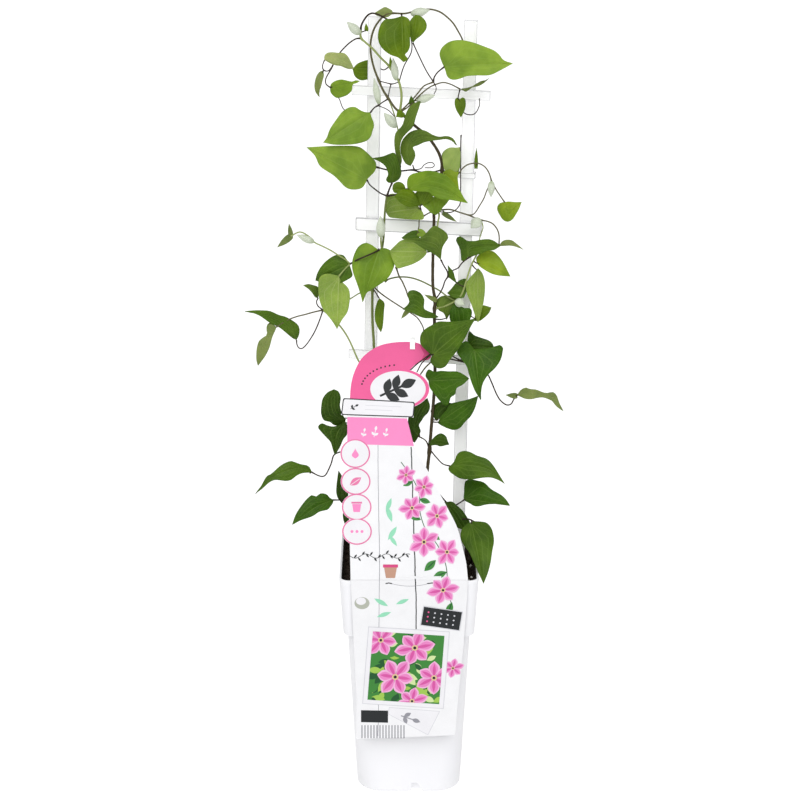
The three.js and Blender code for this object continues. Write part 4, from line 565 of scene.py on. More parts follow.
def lump(source, place, size, points, faces):
    """Adds one irregular crumb: a rough, stretched ball, turned at random."""
    mesh = bmesh.new()
    bmesh.ops.create_icosphere(mesh, subdivisions=1, radius=size)
    stretch = Vector([source.uniform(0.6, 1.3) for _ in range(3)])
    angle = source.uniform(0, TURN)
    axis = Vector((source.random(), source.random(), 0.4))
    turn = Matrix.Rotation(angle, 3, axis)
    first = len(points)
    for vertex in mesh.verts:
        rough = source.uniform(0.75, 1.2)
        points.append(turn @ (vertex.co * rough * stretch) + place)
    mesh.verts.index_update()
    faces.extend([tuple(first + v.index for v in face.verts) for face in mesh.faces])
    mesh.free()


def scatter(seed, count, low, high, lift):
    """Lumps strewn over the soil, out to near the pot's wall."""
    source = random.Random(seed)
    points, faces = [], []
    reach = collar_width(SOIL_TOP) / 2 - WALL - CRUMB_MARGIN
    for _ in range(count):
        size = mix(low, high, source.random() ** 2)
        x, y = source.uniform(-reach, reach), source.uniform(-reach, reach)
        lump(source, Vector((x, y, SOIL_TOP + lift * source.random())), size, points, faces)
    return points, faces


def perlite_material():
    shader = Shader("perlite", Specular_IOR_Level=0.3)
    pits = shader.noise(1800, 4, 0.7)
    return shader.finish(shader.blend(pits, (0.55, 0.54, 0.5), (0.9, 0.89, 0.86)), 0.9, [(pits, 0.4, 0.7)])


def make_soil():
    """The soil's own solid with a new material, and the lumps that lie on it."""
    earth = soil_material()
    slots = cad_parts["soil"].data.materials
    slots.clear()
    slots.append(earth)
    make_piece("soil_crumbs", *scatter(*CRUMBS), [earth], "soil_dark", smooth=False)
    make_piece("soil_perlite", *scatter(*PERLITE), [perlite_material()], "soil_dark", smooth=False)


# The two vines. A stem is a way through points (px, py, y) with its thickness at the start and the end.
# A leaf has its base and tip as such points, its width, its tone and how it is bent. `edges` are the
# outline on both sides from the base to the tip, `rib` is where a bent midrib runs, `under` leaves show
# their undersides, and `start` names the stem that carries the leaf.
def stem(name, thick, tone, way):
    return {"name": name, "thick": thick, "tone": tone, "way": way}


def leaf(base, tip, width, tone, fold=16, arch=0.09, under=False, start=None, rib=(), edges=()):
    bends = {"fold": fold, "arch": arch, "under": under, "rib": rib, "edges": edges}
    return {"base": base, "tip": tip, "width": width, "tone": tone, "start": start, **bends}


def bud(base, tip, width):
    return leaf(base, tip, width, "bud")


RIGHT_STEMS = [
    stem("main", (3.6, 2.8), "bark", [
        (424, 604, 5), (424, 562, 5), (426, 520, 6), (427, 475, 8), (429.5, 450, 10), (431.5, 425, 10),
        (434, 394, 10), (435, 370, 9), (434.5, 335, 8), (434.5, 309, 8), (435, 300, 8), (433, 287, 8),
        (433, 254, 8), (434, 221, 8), (434, 211, 8), (438, 188, 10), (442, 170, 12), (440, 156, 13),
        (432, 142, 13), (425, 134, 13), (414, 125, 12), (400, 112, 12),
    ]),
    stem("arch", (2.3, 1.5), "twig", [
        (400, 112, 12), (396, 109, 12), (388, 98, 12), (383, 90, 12), (379, 81, 13), (374, 68, 14),
        (371, 55, 15), (370.5, 45, 15), (372, 35, 15), (375, 27, 15), (379, 21, 15), (384, 16, 15),
        (390, 13.5, 15), (405, 13.5, 16), (412, 12, 16), (425, 9.5, 15), (432, 9.5, 14), (440, 12, 14),
        (447, 17, 12), (453, 23, 10), (458, 31, 8), (462.5, 40, 4), (464, 50, 2),
    ]),
    stem("loop", (2.5, 1.9), "green", [
        (400, 112, 12), (401.5, 95, 10), (399, 82, 10), (394, 73, 10), (388, 65, 10), (380, 57, 9),
        (372, 48, 9), (365, 42, 8), (361, 38, 8), (360.5, 30, 8),
    ]),
    stem("loop_top", (1.9, 1.6), "brown", [
        (360.5, 30, 8), (361.5, 25, 8), (364, 20, 8), (368, 15, 8), (372, 13.2, 8), (378, 14.5, 8),
        (384, 17.5, 10), (390, 21, 12),
    ]),
    stem("top_left", (1.5, 1.1), "brown", [
        (361, 38.5, 8), (357, 38.5, 8), (352, 41, 7), (345, 47, 6), (339, 54, 5), (334, 63, 4),
        (330, 71, 3), (327, 76, 2), (325.5, 80, 1), (326, 84, 0), (331, 88, 0),
    ]),
    stem("top_left_twig", (1.1, 0.9), "brown", [
        (332, 67, 3.6), (328, 71, 3), (323.5, 70, 2), (322.5, 66, 2), (324.5, 60, 2),
    ]),
    stem("hanging", (1.1, 1.2), "brown", [
        (409, 28, 8), (412, 46, 9), (411, 53, 9), (404, 66, 10), (399, 82, 10),
    ]),
    stem("cross_twig", (1, 1), "brown", [(379, 81, 13), (387, 83, 9), (392, 84, 8), (399, 82, 10)]),
    stem("cross_drop", (1, 1), "brown", [(391, 84, 8), (389.5, 90, 9), (388, 98, 12)]),
    stem("left_leaf_stalk", (1.3, 1.3), "brown", [
        (388, 99, 12), (383, 102, 9), (378, 105.5, 4), (374, 108, -2), (370.5, 112.5, -6),
    ]),
    stem("left_thread", (0.9, 0.9), "brown", [
        (331, 88, 0), (335, 94, 5), (339, 98.5, 6), (344, 109.5, 5), (356, 114, 1), (370.5, 112.5, -6),
    ]),
    stem("left_link", (0.9, 0.9), "brown", [(378, 105.5, 4), (388, 110, 9), (395, 117, 12)]),
    stem("heart_stalk", (1.2, 1.2), "brown", [(413, 43, 4), (419, 56, 4), (427, 72, 2), (433.5, 82, 2)]),
    stem("big_leaf_stalk", (1.4, 1.4), "brown", [
        (433.5, 82, 2), (434, 78, 1), (437, 73, 0), (444, 67, -2),
    ]),
    stem("upper_right", (1.5, 1.4), "twig", [
        (400, 112, 12), (406, 106, 11), (412, 100, 9), (418, 93, 7), (424, 86, 5), (433.5, 82, 2),
    ]),
    stem("curl", (0.9, 0.9), "brown", [(433.5, 82, 2), (436, 87, 2), (436, 90, 2), (434, 94, 2)]),
    stem("right_reach", (1.5, 1.2), "twig", [
        (400, 112, 12), (408, 107, 10), (420, 95, 6), (430, 87, 4), (437, 84, 3), (443, 82.5, 2),
        (450, 84, 2), (460, 89, 2),
    ]),
    stem("right_tendril", (1.1, 0.9), "brown", [
        (460, 89, 2), (458, 99, 5), (459, 107, 7), (465, 113.5, 8), (470, 114.8, 9), (475, 113.5, 10),
        (479.5, 105, 10), (479.3, 98.5, 10),
    ]),
    stem("middle_drop", (1.4, 1.3), "green", [
        (388, 98, 12), (392, 108, 12), (395, 117, 12), (398, 130, 12),
    ]),
    stem("middle_rail", (1.6, 1.5), "brown", [
        (376, 167, 15), (388, 170, 15), (400, 171, 15), (413, 170, 14), (420, 172, 13), (432, 172, 12),
        (442, 170, 12),
    ]),
    stem("rail_curl", (1, 0.9), "brown", [
        (413, 170, 14), (421, 168.5, 11), (424, 165, 11), (429, 162.5, 11), (433, 163, 10),
        (434.5, 165.5, 10), (432, 167.5, 10), (425, 167.7, 9),
    ]),
    stem("upright_thread", (1.1, 1.1), "brown", [
        (461, 135, 10), (460.5, 150, 11), (460.5, 170, 11), (460.5, 190, 11), (459.5, 205, 10),
        (452, 212, 9), (434, 211, 8),
    ]),
    stem("right_arch", (1.3, 1.3), "twig", [
        (442, 170, 12), (455, 176, 9), (459, 173, 8), (462, 169, 8), (467, 165, 8), (473, 163.3, 8),
        (479, 163.5, 8), (485, 167, 6), (489, 173, 4), (491.5, 181, 2),
    ]),
    stem("right_arch_left", (1.2, 1.2), "twig", [
        (491.5, 181, 2), (487, 190, 3), (484, 198, 4), (480, 205, 6), (473, 214.5, 7), (466, 214.5, 6),
    ]),
    stem("right_arch_right", (1.2, 1.2), "twig", [(491.5, 181, 2), (497, 191, -1), (504.5, 202, -6)]),
    stem("bud_bough", (1.6, 1.3), "twig", [
        (434, 211, 8), (441, 210, 7), (450, 209.5, 6), (460, 212.5, 6), (468, 215, 6), (481, 220, 4),
        (488, 221.5, 2), (493, 224, 0), (497, 229, -2), (499, 235, -4), (499, 246, -4),
    ]),
    stem("bud_drop", (1.2, 1.1), "green", [(481, 220, 4), (483, 227, 4), (480, 237, 4), (477, 254, 2)]),
    stem("node_left", (1.3, 1.2), "twig", [
        (434, 211, 8), (429, 213, 6), (423, 216.5, 5), (419.5, 219, 5), (419, 226, 4), (418, 233, 2),
    ]),
    stem("node_up", (1.3, 1.2), "brown", [(423, 216.5, 5), (421, 210, 3), (420, 206, 1)]),
    stem("node_green", (2, 1.6), "green", [(435, 209, 8), (439, 214, 2), (438, 222, -3), (437, 230, -7)]),
    stem("dark_leaf_stalk", (1.4, 1.4), "brown", [
        (435, 300, 8), (440, 293, 7), (443, 287, 6), (445, 281, 4), (448, 276, 2), (447, 271, 0),
        (444, 266, -4), (441, 260, -8),
    ]),
    stem("right_bow", (1.3, 1.3), "brown", [
        (448, 276, 2), (452, 271, 3), (458, 268, 4), (462, 263, 3), (470, 257, 2), (477, 254, 2),
    ]),
    stem("green_bough", (2, 1.6), "green", [
        (434.5, 309, 8), (448, 305, 7), (460, 297, 5), (466, 282, 3), (468, 275, 2), (471, 266, 2),
        (477, 254, 2),
    ]),
    stem("low_arch", (1.6, 1.5), "olive", [
        (385, 282, 12), (388, 279.5, 12), (395, 277.5, 11), (399.5, 277, 10.5), (405, 277, 10),
        (412, 278, 9), (421, 281, 8), (433, 287, 7.5), (440, 291, 7), (448, 297, 6), (455, 301, 6),
    ]),
    stem("low_thread", (1.7, 1.4), "twig", [
        (396, 267, 8), (399.5, 277, 10.5), (402, 281, 9), (406, 290, 6), (409, 298, 3), (418, 306, 2),
    ]),
    stem("over_card_1", (1.3, 1.3), "brown", [
        (435, 345, 8), (431, 353, 2), (425, 358, 0), (417, 364, 5), (411, 369.5, 15), (405, 374, 19),
    ]),
    stem("over_card_2", (1.2, 1.2), "brown", [
        (435, 347, 8), (430, 355, 2), (422, 363, 4), (417, 372, 13),
    ]),
    stem("behind_card", (1.6, 1.5), "twig", [
        (435, 358, 8.5), (430, 363, 9), (425, 368, 11), (418, 378, 14),
    ]),
    stem("card_right", (1.5, 1.4), "brown", [
        (435, 350, 8), (446, 352, 3), (454, 357, 0), (464, 362, -4),
    ]),
    stem("far_right", (1.6, 1.3), "brown", [
        (435, 356, 8.5), (455, 360, 8), (470, 364, 8), (480, 368, 6), (488, 375, 2), (491, 381, 0),
        (497, 395, -4), (501, 401, -6), (507, 405, -8), (511, 404, -9), (514, 399, -10),
        (517, 395.5, -10),
    ]),
    stem("low_left_twig", (1.2, 1.2), "bark", [(429.5, 452, 10), (426, 441, 9), (418, 436, 8)]),
    stem("low_right_1", (1.3, 1.3), "brown", [
        (429.5, 449, 10), (436, 457, 5), (443, 464, 0), (450, 466, -4),
    ]),
    stem("low_right_2", (1.4, 1.4), "brown", [
        (426, 515, 6), (438, 512, 4), (448, 508, 2), (456, 505, 0), (464, 500, -4),
    ]),
    stem("low_right_3", (1.3, 1.3), "brown", [(427, 478, 8), (437, 491, 4), (446, 502, 0)]),
    stem("low_right_4", (1.4, 1.4), "brown", [
        (425.5, 532, 6), (440, 527, 3), (455, 521, 0), (468, 519, -5), (475, 522, -8),
    ]),
]

LEFT_STEMS = [
    stem("main", (4.2, 2), "olive", [
        (371, 604, 18), (371, 560, 18), (372, 500, 18), (373, 430, 18), (374, 380, 19), (374, 348, 20),
        (372.5, 320, 21), (372.5, 291, 22), (374, 272, 21), (378, 258, 19), (382, 248, 16),
        (383.5, 238, 14), (384.5, 218, 12), (385.5, 205, 12), (387, 196, 12),
    ]),
    stem("upper_left", (1.5, 1.3), "brown", [
        (387, 196, 12), (381, 193.5, 9), (376, 190, 6), (370, 185, 2), (367, 180, -2),
    ]),
    stem("upper_top", (2, 1.6), "brown", [(387, 196, 12), (389, 190, 10), (392, 183, 8)]),
    stem("upper_right", (1.6, 1.5), "brown", [
        (387, 196, 12), (394, 195, 8), (400, 193, 3), (407, 189, -2),
    ]),
    stem("bud_stalk", (2, 1.8), "green", [(382, 250, 16), (381, 243, 11), (381, 236, 7)]),
    stem("heart_stalk", (1.5, 1.5), "brown", [(380, 254, 18), (379, 249, 12), (379, 250, 6)]),
    stem("left_bough_start", (1.6, 1.5), "brown", [
        (379, 250, 6), (372, 253.5, -2), (365, 256.5, -5), (357, 260, -4), (350, 264, 2),
    ]),
    stem("left_bough", (1.5, 1.3), "green", [
        (350, 264, 2), (346, 260, 1), (338, 255, 0), (330, 250, -2), (322, 246, -4), (314, 242, -6),
        (309, 236.5, -7), (300, 232, -8), (291, 236, -8),
    ]),
    stem("veined_stalk", (1.4, 1.3), "green", [(350, 264, 2), (344, 270, -3), (339, 276, -4)]),
    stem("side_bough", (1.9, 1.6), "green", [
        (373.5, 378, 19), (366, 370, 18), (359, 361.5, 17), (352, 346, 14), (347, 336, 12),
        (340, 326, 10), (331, 317, 8), (323, 310, 6),
    ]),
    stem("side_cross", (1.3, 1.2), "green", [
        (372.5, 290, 22), (360, 293, 17), (350, 299, 13), (336, 306, 9), (323, 310, 6),
    ]),
    stem("side_leaf_stalk", (1.2, 1.1), "brown", [
        (323, 310, 6), (318, 306, 6), (316.5, 302, 6), (318, 298, 5),
    ]),
    stem("side_out", (1.5, 1.2), "twig", [
        (323, 310, 6), (314, 312, 4), (305, 314.5, 2), (297, 316.5, 0), (290, 319, -2), (284, 322, -4),
        (276.5, 327, -8),
    ]),
    stem("side_down", (1.4, 1.1), "brown", [
        (323, 310, 6), (320, 319, 5), (315.5, 330, 4), (311, 338, 3), (306, 345, 2), (302, 348.5, 1),
        (299, 348, 0), (297, 344.5, 0), (296.5, 340, 0),
    ]),
    stem("small_stalk", (1.2, 1.1), "brown", [(372.5, 288, 22), (376, 293, 20), (379, 298, 18)]),
    stem("long_runner", (1.5, 1.2), "twig", [
        (372.5, 285, 22), (378, 291, 20), (385, 296.5, 18), (401, 307, 17), (410, 312.5, 17),
        (417, 317.5, 17), (421, 323, 17), (423.5, 329, 17), (423, 338, 17),
    ]),
    stem("low_left", (1.6, 1.3), "brown", [
        (373, 440, 18), (355, 448, 13), (340, 452, 9), (334, 455, 6), (331, 464, 4), (325, 475.5, 0),
        (322, 476.5, -1), (317, 475, -2), (311.5, 472, -4),
    ]),
    stem("lowest_left", (1.5, 1.3), "brown", [
        (372, 500, 18), (355, 500, 11), (343, 500, 7), (332, 500, 2),
    ]),
]

RIGHT_LEAVES = [
    leaf((392, 14, 14), (373.5, 13.5, 22), 13, "pale", edges=[
        [(392.5, 11), (389, 8.5), (385, 7), (380, 9.5)],
        [(388, 17), (381, 17), (376.5, 15.5)],
    ]),
    leaf((324.5, 60, 2), (354, 68.5, -6), 13, "pale", under=True, edges=[
        [(324.3, 56), (327, 53), (332, 52.2), (338, 52.8), (344, 53), (348, 56.5), (351, 62)],
        [(330, 63.2), (336, 65.5), (341, 66), (345, 68), (350, 69.2)],
    ]),
    leaf((323, 70.5, 2), (319.5, 97.5, -2), 9, "olive", rib=[(319, 84)], edges=[
        [(320, 71.5), (317, 75), (315.2, 80), (314.4, 86), (315.5, 92)],
        [(324, 75), (322.5, 81), (321, 87), (319, 92.5)],
    ]),
    leaf((330, 87.5, 0), (360, 81, -8), 19, "fresh", edges=[
        [(331, 84), (335, 81), (341, 79.5), (347, 80.5), (352, 81.5), (356, 80.3)],
        [(330.5, 92), (333, 95.5), (337, 98), (343, 96.8), (348, 94.5), (352, 90), (352.8, 84.5),
         (357, 83)],
    ]),
    leaf((380.5, 67, 44), (352.5, 69, 52), 20, "grass", arch=0.05, start="loop", edges=[
        [(379, 63.5), (375, 60.5), (367.5, 60), (362, 61.5), (357, 64)],
        [(378.5, 72), (375, 78), (367.5, 79.5), (361, 80.3), (355, 76.5)],
    ]),
    leaf((402, 16, 8), (403.5, 62.3, -4), 40, "grass", fold=25, rib=[(403, 40)], edges=[
        [(393, 18.5), (385, 19.5), (381, 24), (378.5, 31), (378, 38), (380, 45), (385, 51), (391, 55),
         (398, 57.5)],
        [(406, 17), (409.5, 20), (410.2, 28), (410, 38), (410, 46), (407.5, 52), (405, 54.5), (408, 59)],
    ]),
    leaf((413, 43, 4), (417, 14, 10), 27, "grass", arch=0.05, edges=[
        [(416, 39.5), (420, 36.5), (423.5, 33), (426.2, 29), (426.8, 25), (425.5, 21), (422, 17)],
        [(410.5, 38), (408.5, 30), (409, 23), (412, 18)],
    ]),
    leaf((444, 67, -2), (513, 63.4, -16), 50, "bright", fold=22, edges=[
        [(441, 60), (439.5, 54), (441, 49), (445, 44.5), (450, 41.5), (458, 40), (467, 41), (476, 43.5),
         (485, 46.8), (494, 50.5), (499, 54.5), (503.5, 60)],
        [(445.5, 71), (447, 76), (450, 79), (454, 79.8), (460, 78.7), (466, 76.3), (475, 75.5),
         (490, 75), (500, 70.5)],
    ]),
    leaf((460, 89, 2), (490, 77.5, -3), 6, "olive", rib=[(466, 89.5), (473, 86.3), (481, 82.6)], edges=[
        [(466, 88), (471, 86.8), (476, 83.8), (481, 81), (486, 80)],
        [(462.5, 90.2), (465.5, 91.8), (469, 90), (472, 87.7), (479, 86), (484, 83)],
    ]),
    leaf((460, 99, 5), (461, 118, 1), 11, "grass"),
    leaf((370.5, 112.5, -6), (323, 142.5, -24), 38, "bright", edges=[
        [(365, 112), (361, 110.5), (355, 107), (350, 107.2), (346, 109), (342, 112), (336, 120),
         (330, 129), (326.5, 138)],
        [(371.5, 117), (373.5, 122), (374, 126), (372.5, 131), (370.5, 137), (367, 140.5), (358, 143.5),
         (345, 144.8), (333, 144.5)],
    ]),
    leaf((403, 112, 11), (396, 117, 6), 9, "grass", fold=5),
    leaf((400, 168, 12), (421, 101, 4), 14, "moss", fold=25,
        rib=[(397.5, 148), (403, 130), (411, 114)], edges=[
        [(397.5, 160), (395.2, 152), (394.3, 140), (396, 132), (402, 126), (404.8, 117), (408, 109),
         (414, 103)],
        [(402, 160), (400, 150), (402, 139), (409, 131), (413, 127), (416, 117), (419, 108)],
    ]),
    leaf((410.5, 166, 6), (457.5, 146, -4), 28, "moss",
        rib=[(407, 153), (412, 141), (424, 136), (440, 138), (450, 139.6)], edges=[
        [(406, 164), (402.5, 158), (400.3, 151), (401.5, 142), (405.5, 136), (411, 131.5), (420, 129.5),
         (427, 131.5), (433, 135), (439, 136.8), (447, 136), (453, 138.3)],
        [(413, 162), (415.3, 156), (414.5, 151), (412.8, 147.5), (418, 145.3), (424, 142.5), (431, 141),
         (439, 140), (446, 139.2), (452, 141)],
    ]),
    leaf((446, 174, 9), (460.5, 147, 12), 17, "light", arch=0.03, edges=[
        [(443.5, 167), (442.5, 160), (441.8, 154.5), (445, 150), (450, 147.5), (456, 147.6)],
        [(453, 173), (459, 170), (460.3, 160), (460.5, 152)],
    ]),
    leaf((443, 172, 9), (459, 189, 6), 16, "lime", edges=[
        [(449, 169.5), (455, 168.3), (459.5, 168.8), (458.5, 173), (457.8, 178)],
        [(444, 176), (448, 182), (453, 187)],
    ]),
    leaf((504.5, 202, -6), (521.5, 202, -12), 27, "lime", rib=[(508, 212)], edges=[
        [(500.5, 202.8), (497.5, 206), (497.3, 210), (500, 215.5), (503.5, 220.3), (508, 221.8),
         (512.5, 219.5), (515.5, 215), (519.5, 208)],
        [(509, 201.5), (515, 202)],
    ]),
    leaf((420, 206, 1), (394.5, 196.5, -12), 17, "grass", edges=[
        [(418, 200), (414, 192), (406, 189), (399, 191)],
        [(414, 206.5), (408, 206.8), (402, 204), (398, 200.5)],
    ]),
    leaf((421, 206, 1), (430, 188, -3), 17, "grass", arch=0.04, edges=[
        [(416, 203), (414, 196), (418, 190.5)],
        [(426, 204), (431, 199), (434, 194)],
    ]),
    leaf((433, 197, 5), (436, 215, -2), 27, "fresh", edges=[
        [(426, 195), (421.5, 199), (422.5, 205), (427, 209), (431, 213)],
        [(441, 194), (450, 197), (447, 203), (442.5, 208), (440, 212)],
    ]),
    leaf((420, 208, 3), (386.5, 213, 16), 25, "fresh", arch=0.04, under=True, edges=[
        [(423.5, 214), (423.5, 219), (416, 219.8), (406, 219.3), (396, 218.3), (389, 217)],
        [(412, 200), (400, 195), (390, 194), (385.5, 199), (384.8, 206)],
    ]),
    leaf((443, 213, 5), (457, 222, 3), 5, "olive", arch=0),
    leaf((418, 234, 2), (401, 238, 0), 9, "deep", arch=0.05),
    leaf((418, 232, 2), (428, 236, 0), 8, "bright", arch=0.05),
    leaf((441, 260, -8), (402, 238.5, -18), 46, "moss", fold=20, rib=[(437, 246), (425, 241.5)], edges=[
        [(441.5, 254), (442.5, 247.5), (446, 241.5), (448.3, 238), (446.5, 233), (441, 228.8),
         (434.5, 225.8), (430, 228.8), (426, 233.5), (421, 237.2), (413, 238.6)],
        [(437, 256.5), (432, 253), (426, 250.5), (420, 246.5), (414, 242.5), (407, 240.3)],
    ]),
    leaf((427, 252, 0), (389.5, 251, -4), 28, "bright", under=True, edges=[
        [(421, 243), (411, 239), (401, 240.5), (395, 245.5)],
        [(426, 254.5), (421, 259.5), (413, 264), (404, 267), (397.5, 268.3), (393.5, 262)],
    ]),
    leaf((468, 257, 1), (500.5, 246, -8), 27, "deep", fold=28, rib=[(469, 249), (483, 245.5)], edges=[
        [(462, 262), (460.8, 255), (460, 249), (457.5, 244), (455.8, 240), (458, 236.5), (462, 236.8),
         (466, 240.3), (474, 241), (482, 239.5), (490, 239.3), (496, 242)],
        [(473, 255.8), (480, 254), (487, 250.8), (494, 250)],
    ]),
    leaf((499, 246, -4), (524, 250, -10), 7, "olive", rib=[(508, 243.3), (517, 246)], edges=[
        [(502, 241.5), (506, 239.8), (512, 240.3), (517, 244)],
        [(503, 246), (511, 245.8), (518, 247.5)],
    ]),
    leaf((477, 263, 1), (510.5, 276.5, -10), 21, "lime", edges=[
        [(476, 258.5), (479, 254.5), (484, 251.3), (489, 250.3), (494, 251.8), (498, 255.5),
         (502, 260.5), (506, 267.5)],
        [(477, 263.5), (480, 266.8), (484, 269.5), (490, 273), (496, 275), (503, 276)],
    ]),
    leaf((478, 268, 1), (478, 323, -8), 20, "fresh", under=True, edges=[
        [(474, 273), (468.5, 279.5), (465.8, 287), (468, 296.5), (471.5, 305), (474.8, 315)],
        [(482, 272.5), (484.8, 281), (485, 290.5), (483.8, 301), (482, 309.5), (480, 317.5)],
    ]),
    leaf((474, 321, 4), (491.5, 307.5, 0), 13, "grass", edges=[
        [(475.5, 312), (477, 305), (484, 305.3)],
        [(479.5, 321), (484, 318), (489, 313)],
    ]),
    leaf((464, 297, 4), (447, 293, 10), 17, "deep", arch=0.05, edges=[
        [(467, 290), (467, 279), (461, 279.5), (455, 284), (451, 289)],
        [(459, 299), (452, 297)],
    ]),
    leaf((457, 284, 4), (447.7, 265, 3), 6, "deep", edges=[
        [(454, 281.5), (450, 278.5), (447, 276.3), (448, 271.5)],
        [(456, 280.5), (454.7, 276.5), (453.3, 271.5), (450.3, 268)],
    ]),
    leaf((439, 317, 5), (402.5, 309.3, -6), 30, "deep", rib=[(427, 314.5), (414, 305)], edges=[
        [(433, 313), (428, 311), (424, 308.5), (423.5, 305), (424.5, 300), (421, 293.5), (417, 291),
         (413, 290), (408.5, 291.5), (407.7, 295), (409.5, 299), (408.5, 303.5)],
        [(436, 318), (430, 318.3), (424, 318), (417, 315.5), (410, 312)],
    ]),
    leaf((409, 309, 0), (401, 319, 0), 5, "olive", arch=0),
    leaf((446.5, 320, 6), (458.5, 296, 10), 17, "moss", arch=0.05, rib=[(446, 309), (449, 302)], edges=[
        [(443.5, 313), (439, 310.5), (436.2, 305), (437.5, 299), (442, 296), (449, 295.5)],
        [(449, 315.5), (451.5, 311), (454, 305), (457, 300)],
    ]),
    leaf((432, 355.5, 2), (475.5, 318.5, -14), 50, "deep", fold=22, edges=[
        [(427, 351), (421, 345), (420, 339), (421.5, 333), (426, 328.5), (432, 325), (438, 321.8),
         (450, 321.7), (461, 321)],
        [(430.3, 361), (434, 366.5), (440, 368.5), (446, 366), (448.7, 361.5), (453.5, 355.5),
         (460, 346.5), (465, 338), (470, 328)],
    ]),
    leaf((468, 347, 5), (494, 347.5, 0), 17, "shade", edges=[
        [(467.5, 339), (469.5, 331), (474, 335), (482, 338), (489, 340.5), (492.5, 343.5)],
        [(476, 350), (486, 350)],
    ]),
    leaf((474, 349, -3), (481, 400.5, -22), 43, "dark", edges=[
        [(466, 341), (459, 347), (457, 352), (462, 360), (466.5, 366), (470, 378), (475, 391)],
        [(485, 348.5), (495, 347.3), (499, 344.8), (503, 347.5), (502.5, 352.5), (501, 359), (496, 367),
         (488, 375), (483, 383), (481.3, 391)],
    ]),
    leaf((517, 395.5, -10), (563.5, 411.3, -30), 15, "olive",
        rib=[(530, 393.5), (545, 395.5), (554, 398)], edges=[
        [(519, 392), (522, 389), (526, 387.5), (530, 389), (536, 389.5), (541, 391.5), (546, 393),
         (553, 392), (556.5, 395), (559, 402)],
        [(520, 396.5), (524, 398.5), (531, 399.3), (537, 398), (543, 397.5), (549, 399.5), (552, 401),
         (555, 405), (559, 408.5)],
    ]),
    leaf((517, 396, -10), (505.5, 395, -13), 6, "olive"),
    leaf((428.5, 381, 3), (469.3, 378.5, -12), 31, "dark", edges=[
        [(425.5, 376), (427, 371), (429, 369.3), (434, 371.6), (441, 370.8), (448, 371.3), (457, 371.5),
         (463, 374)],
        [(429.5, 387), (434, 393.5), (440, 401), (446, 406), (449.5, 402), (450.8, 397.3), (455, 394.5),
         (456.5, 388.5), (463, 384.5)],
    ]),
    leaf((437.5, 423, 8), (478.3, 395.8, -8), 23, "dark", edges=[
        [(441, 416), (446, 410.5), (450, 404), (457, 402), (466, 400)],
        [(442, 425.8), (448, 428.5), (454, 430), (460, 428), (465, 422), (470.5, 416.5), (475, 408)],
    ]),
    leaf((436, 421, 9), (454.5, 403.5, 6), 16, "shade", arch=0.05, edges=[
        [(433, 416), (430.5, 411.5), (434, 405.5), (440, 402)],
        [(443, 415), (449, 410.5), (454, 405.5)],
    ]),
    leaf((419, 436, 9), (427.5, 398, 12), 18, "shade", arch=0.05,
        rib=[(415, 430), (417, 415), (423, 405)], edges=[
        [(420.7, 431), (419, 425), (421.5, 421), (424, 417), (428.5, 412), (430, 406)],
        [(414, 443), (411, 436), (408, 428), (409, 415), (414, 407)],
    ]),
    leaf((428, 443.5, 8), (449.2, 444.5, -2), 20, "shade", edges=[
        [(431, 440.5), (436, 435.5), (441, 433.3), (446, 436.3), (447.8, 441)],
        [(431, 445.5), (436, 445), (440, 446.4), (445, 445.5)],
    ]),
    leaf((450, 466, -4), (505, 484, -26), 29, "deep",
        rib=[(465, 465), (486, 468.5), (497, 475.5)], edges=[
        [(454.5, 461), (456, 456.5), (459, 452.5), (464, 450.8), (470, 452), (477, 455.5), (486, 458.5),
         (490, 461.5), (494, 466.5), (500, 476)],
        [(448.3, 468), (449.5, 471.5), (454, 475), (459, 478), (465, 479.3), (472, 479.5), (479, 478.3),
         (486, 477.5), (492, 477.8), (499, 480.5)],
    ]),
    leaf((463.5, 499, -4), (510, 505.5, -20), 28, "dark", edges=[
        [(464, 493), (464.3, 486), (465.5, 481), (470, 479.3), (477, 480.5), (484, 482.5), (491, 489),
         (497, 492.5), (502, 495.5), (506.5, 500)],
        [(466, 501.5), (470, 503.5), (474, 506), (479, 506.3), (485, 504.8), (493, 504), (502, 504.3)],
    ]),
    leaf((446, 502, 0), (464, 530, -2), 22, "shade", arch=0.05, edges=[
        [(452, 501.5), (457, 505.5), (462, 510), (467, 517), (470, 523)],
        [(443, 502), (446, 512), (452, 522), (458, 528)],
    ]),
    leaf((471, 522, -8), (483.5, 583.8, -60), 28, "deep", arch=0.05, edges=[
        [(474, 521.3), (480, 521.5), (486, 522.5), (490, 526), (492.5, 531), (494, 541), (492.3, 551),
         (490.5, 563), (487.5, 574)],
        [(467, 524), (462, 529), (460.5, 535), (461.5, 541), (465, 547), (469, 552), (473, 561),
         (478, 572)],
    ]),
    leaf((456.5, 302, 5), (461, 326, 2), 22, "dark", edges=[
        [(452, 307), (449.5, 314), (451, 322)],
        [(463, 307.5), (470.5, 308.5), (472, 312.5), (469.5, 320)],
    ]),
    leaf((412, 104, 9), (411, 95.5, 6), 6, "deep"),
    leaf((391.5, 69, 10), (390, 56, 9), 4, "fresh", arch=0.05),
    leaf((476, 168, 8.5), (476.5, 147.5, 8), 4, "grass", arch=0.03),
    leaf((366.5, 31, 9), (366, 23, 9), 4, "grass"),
    leaf((436.5, 300.5, 5), (424, 294.5, 3), 5, "olive"),
]

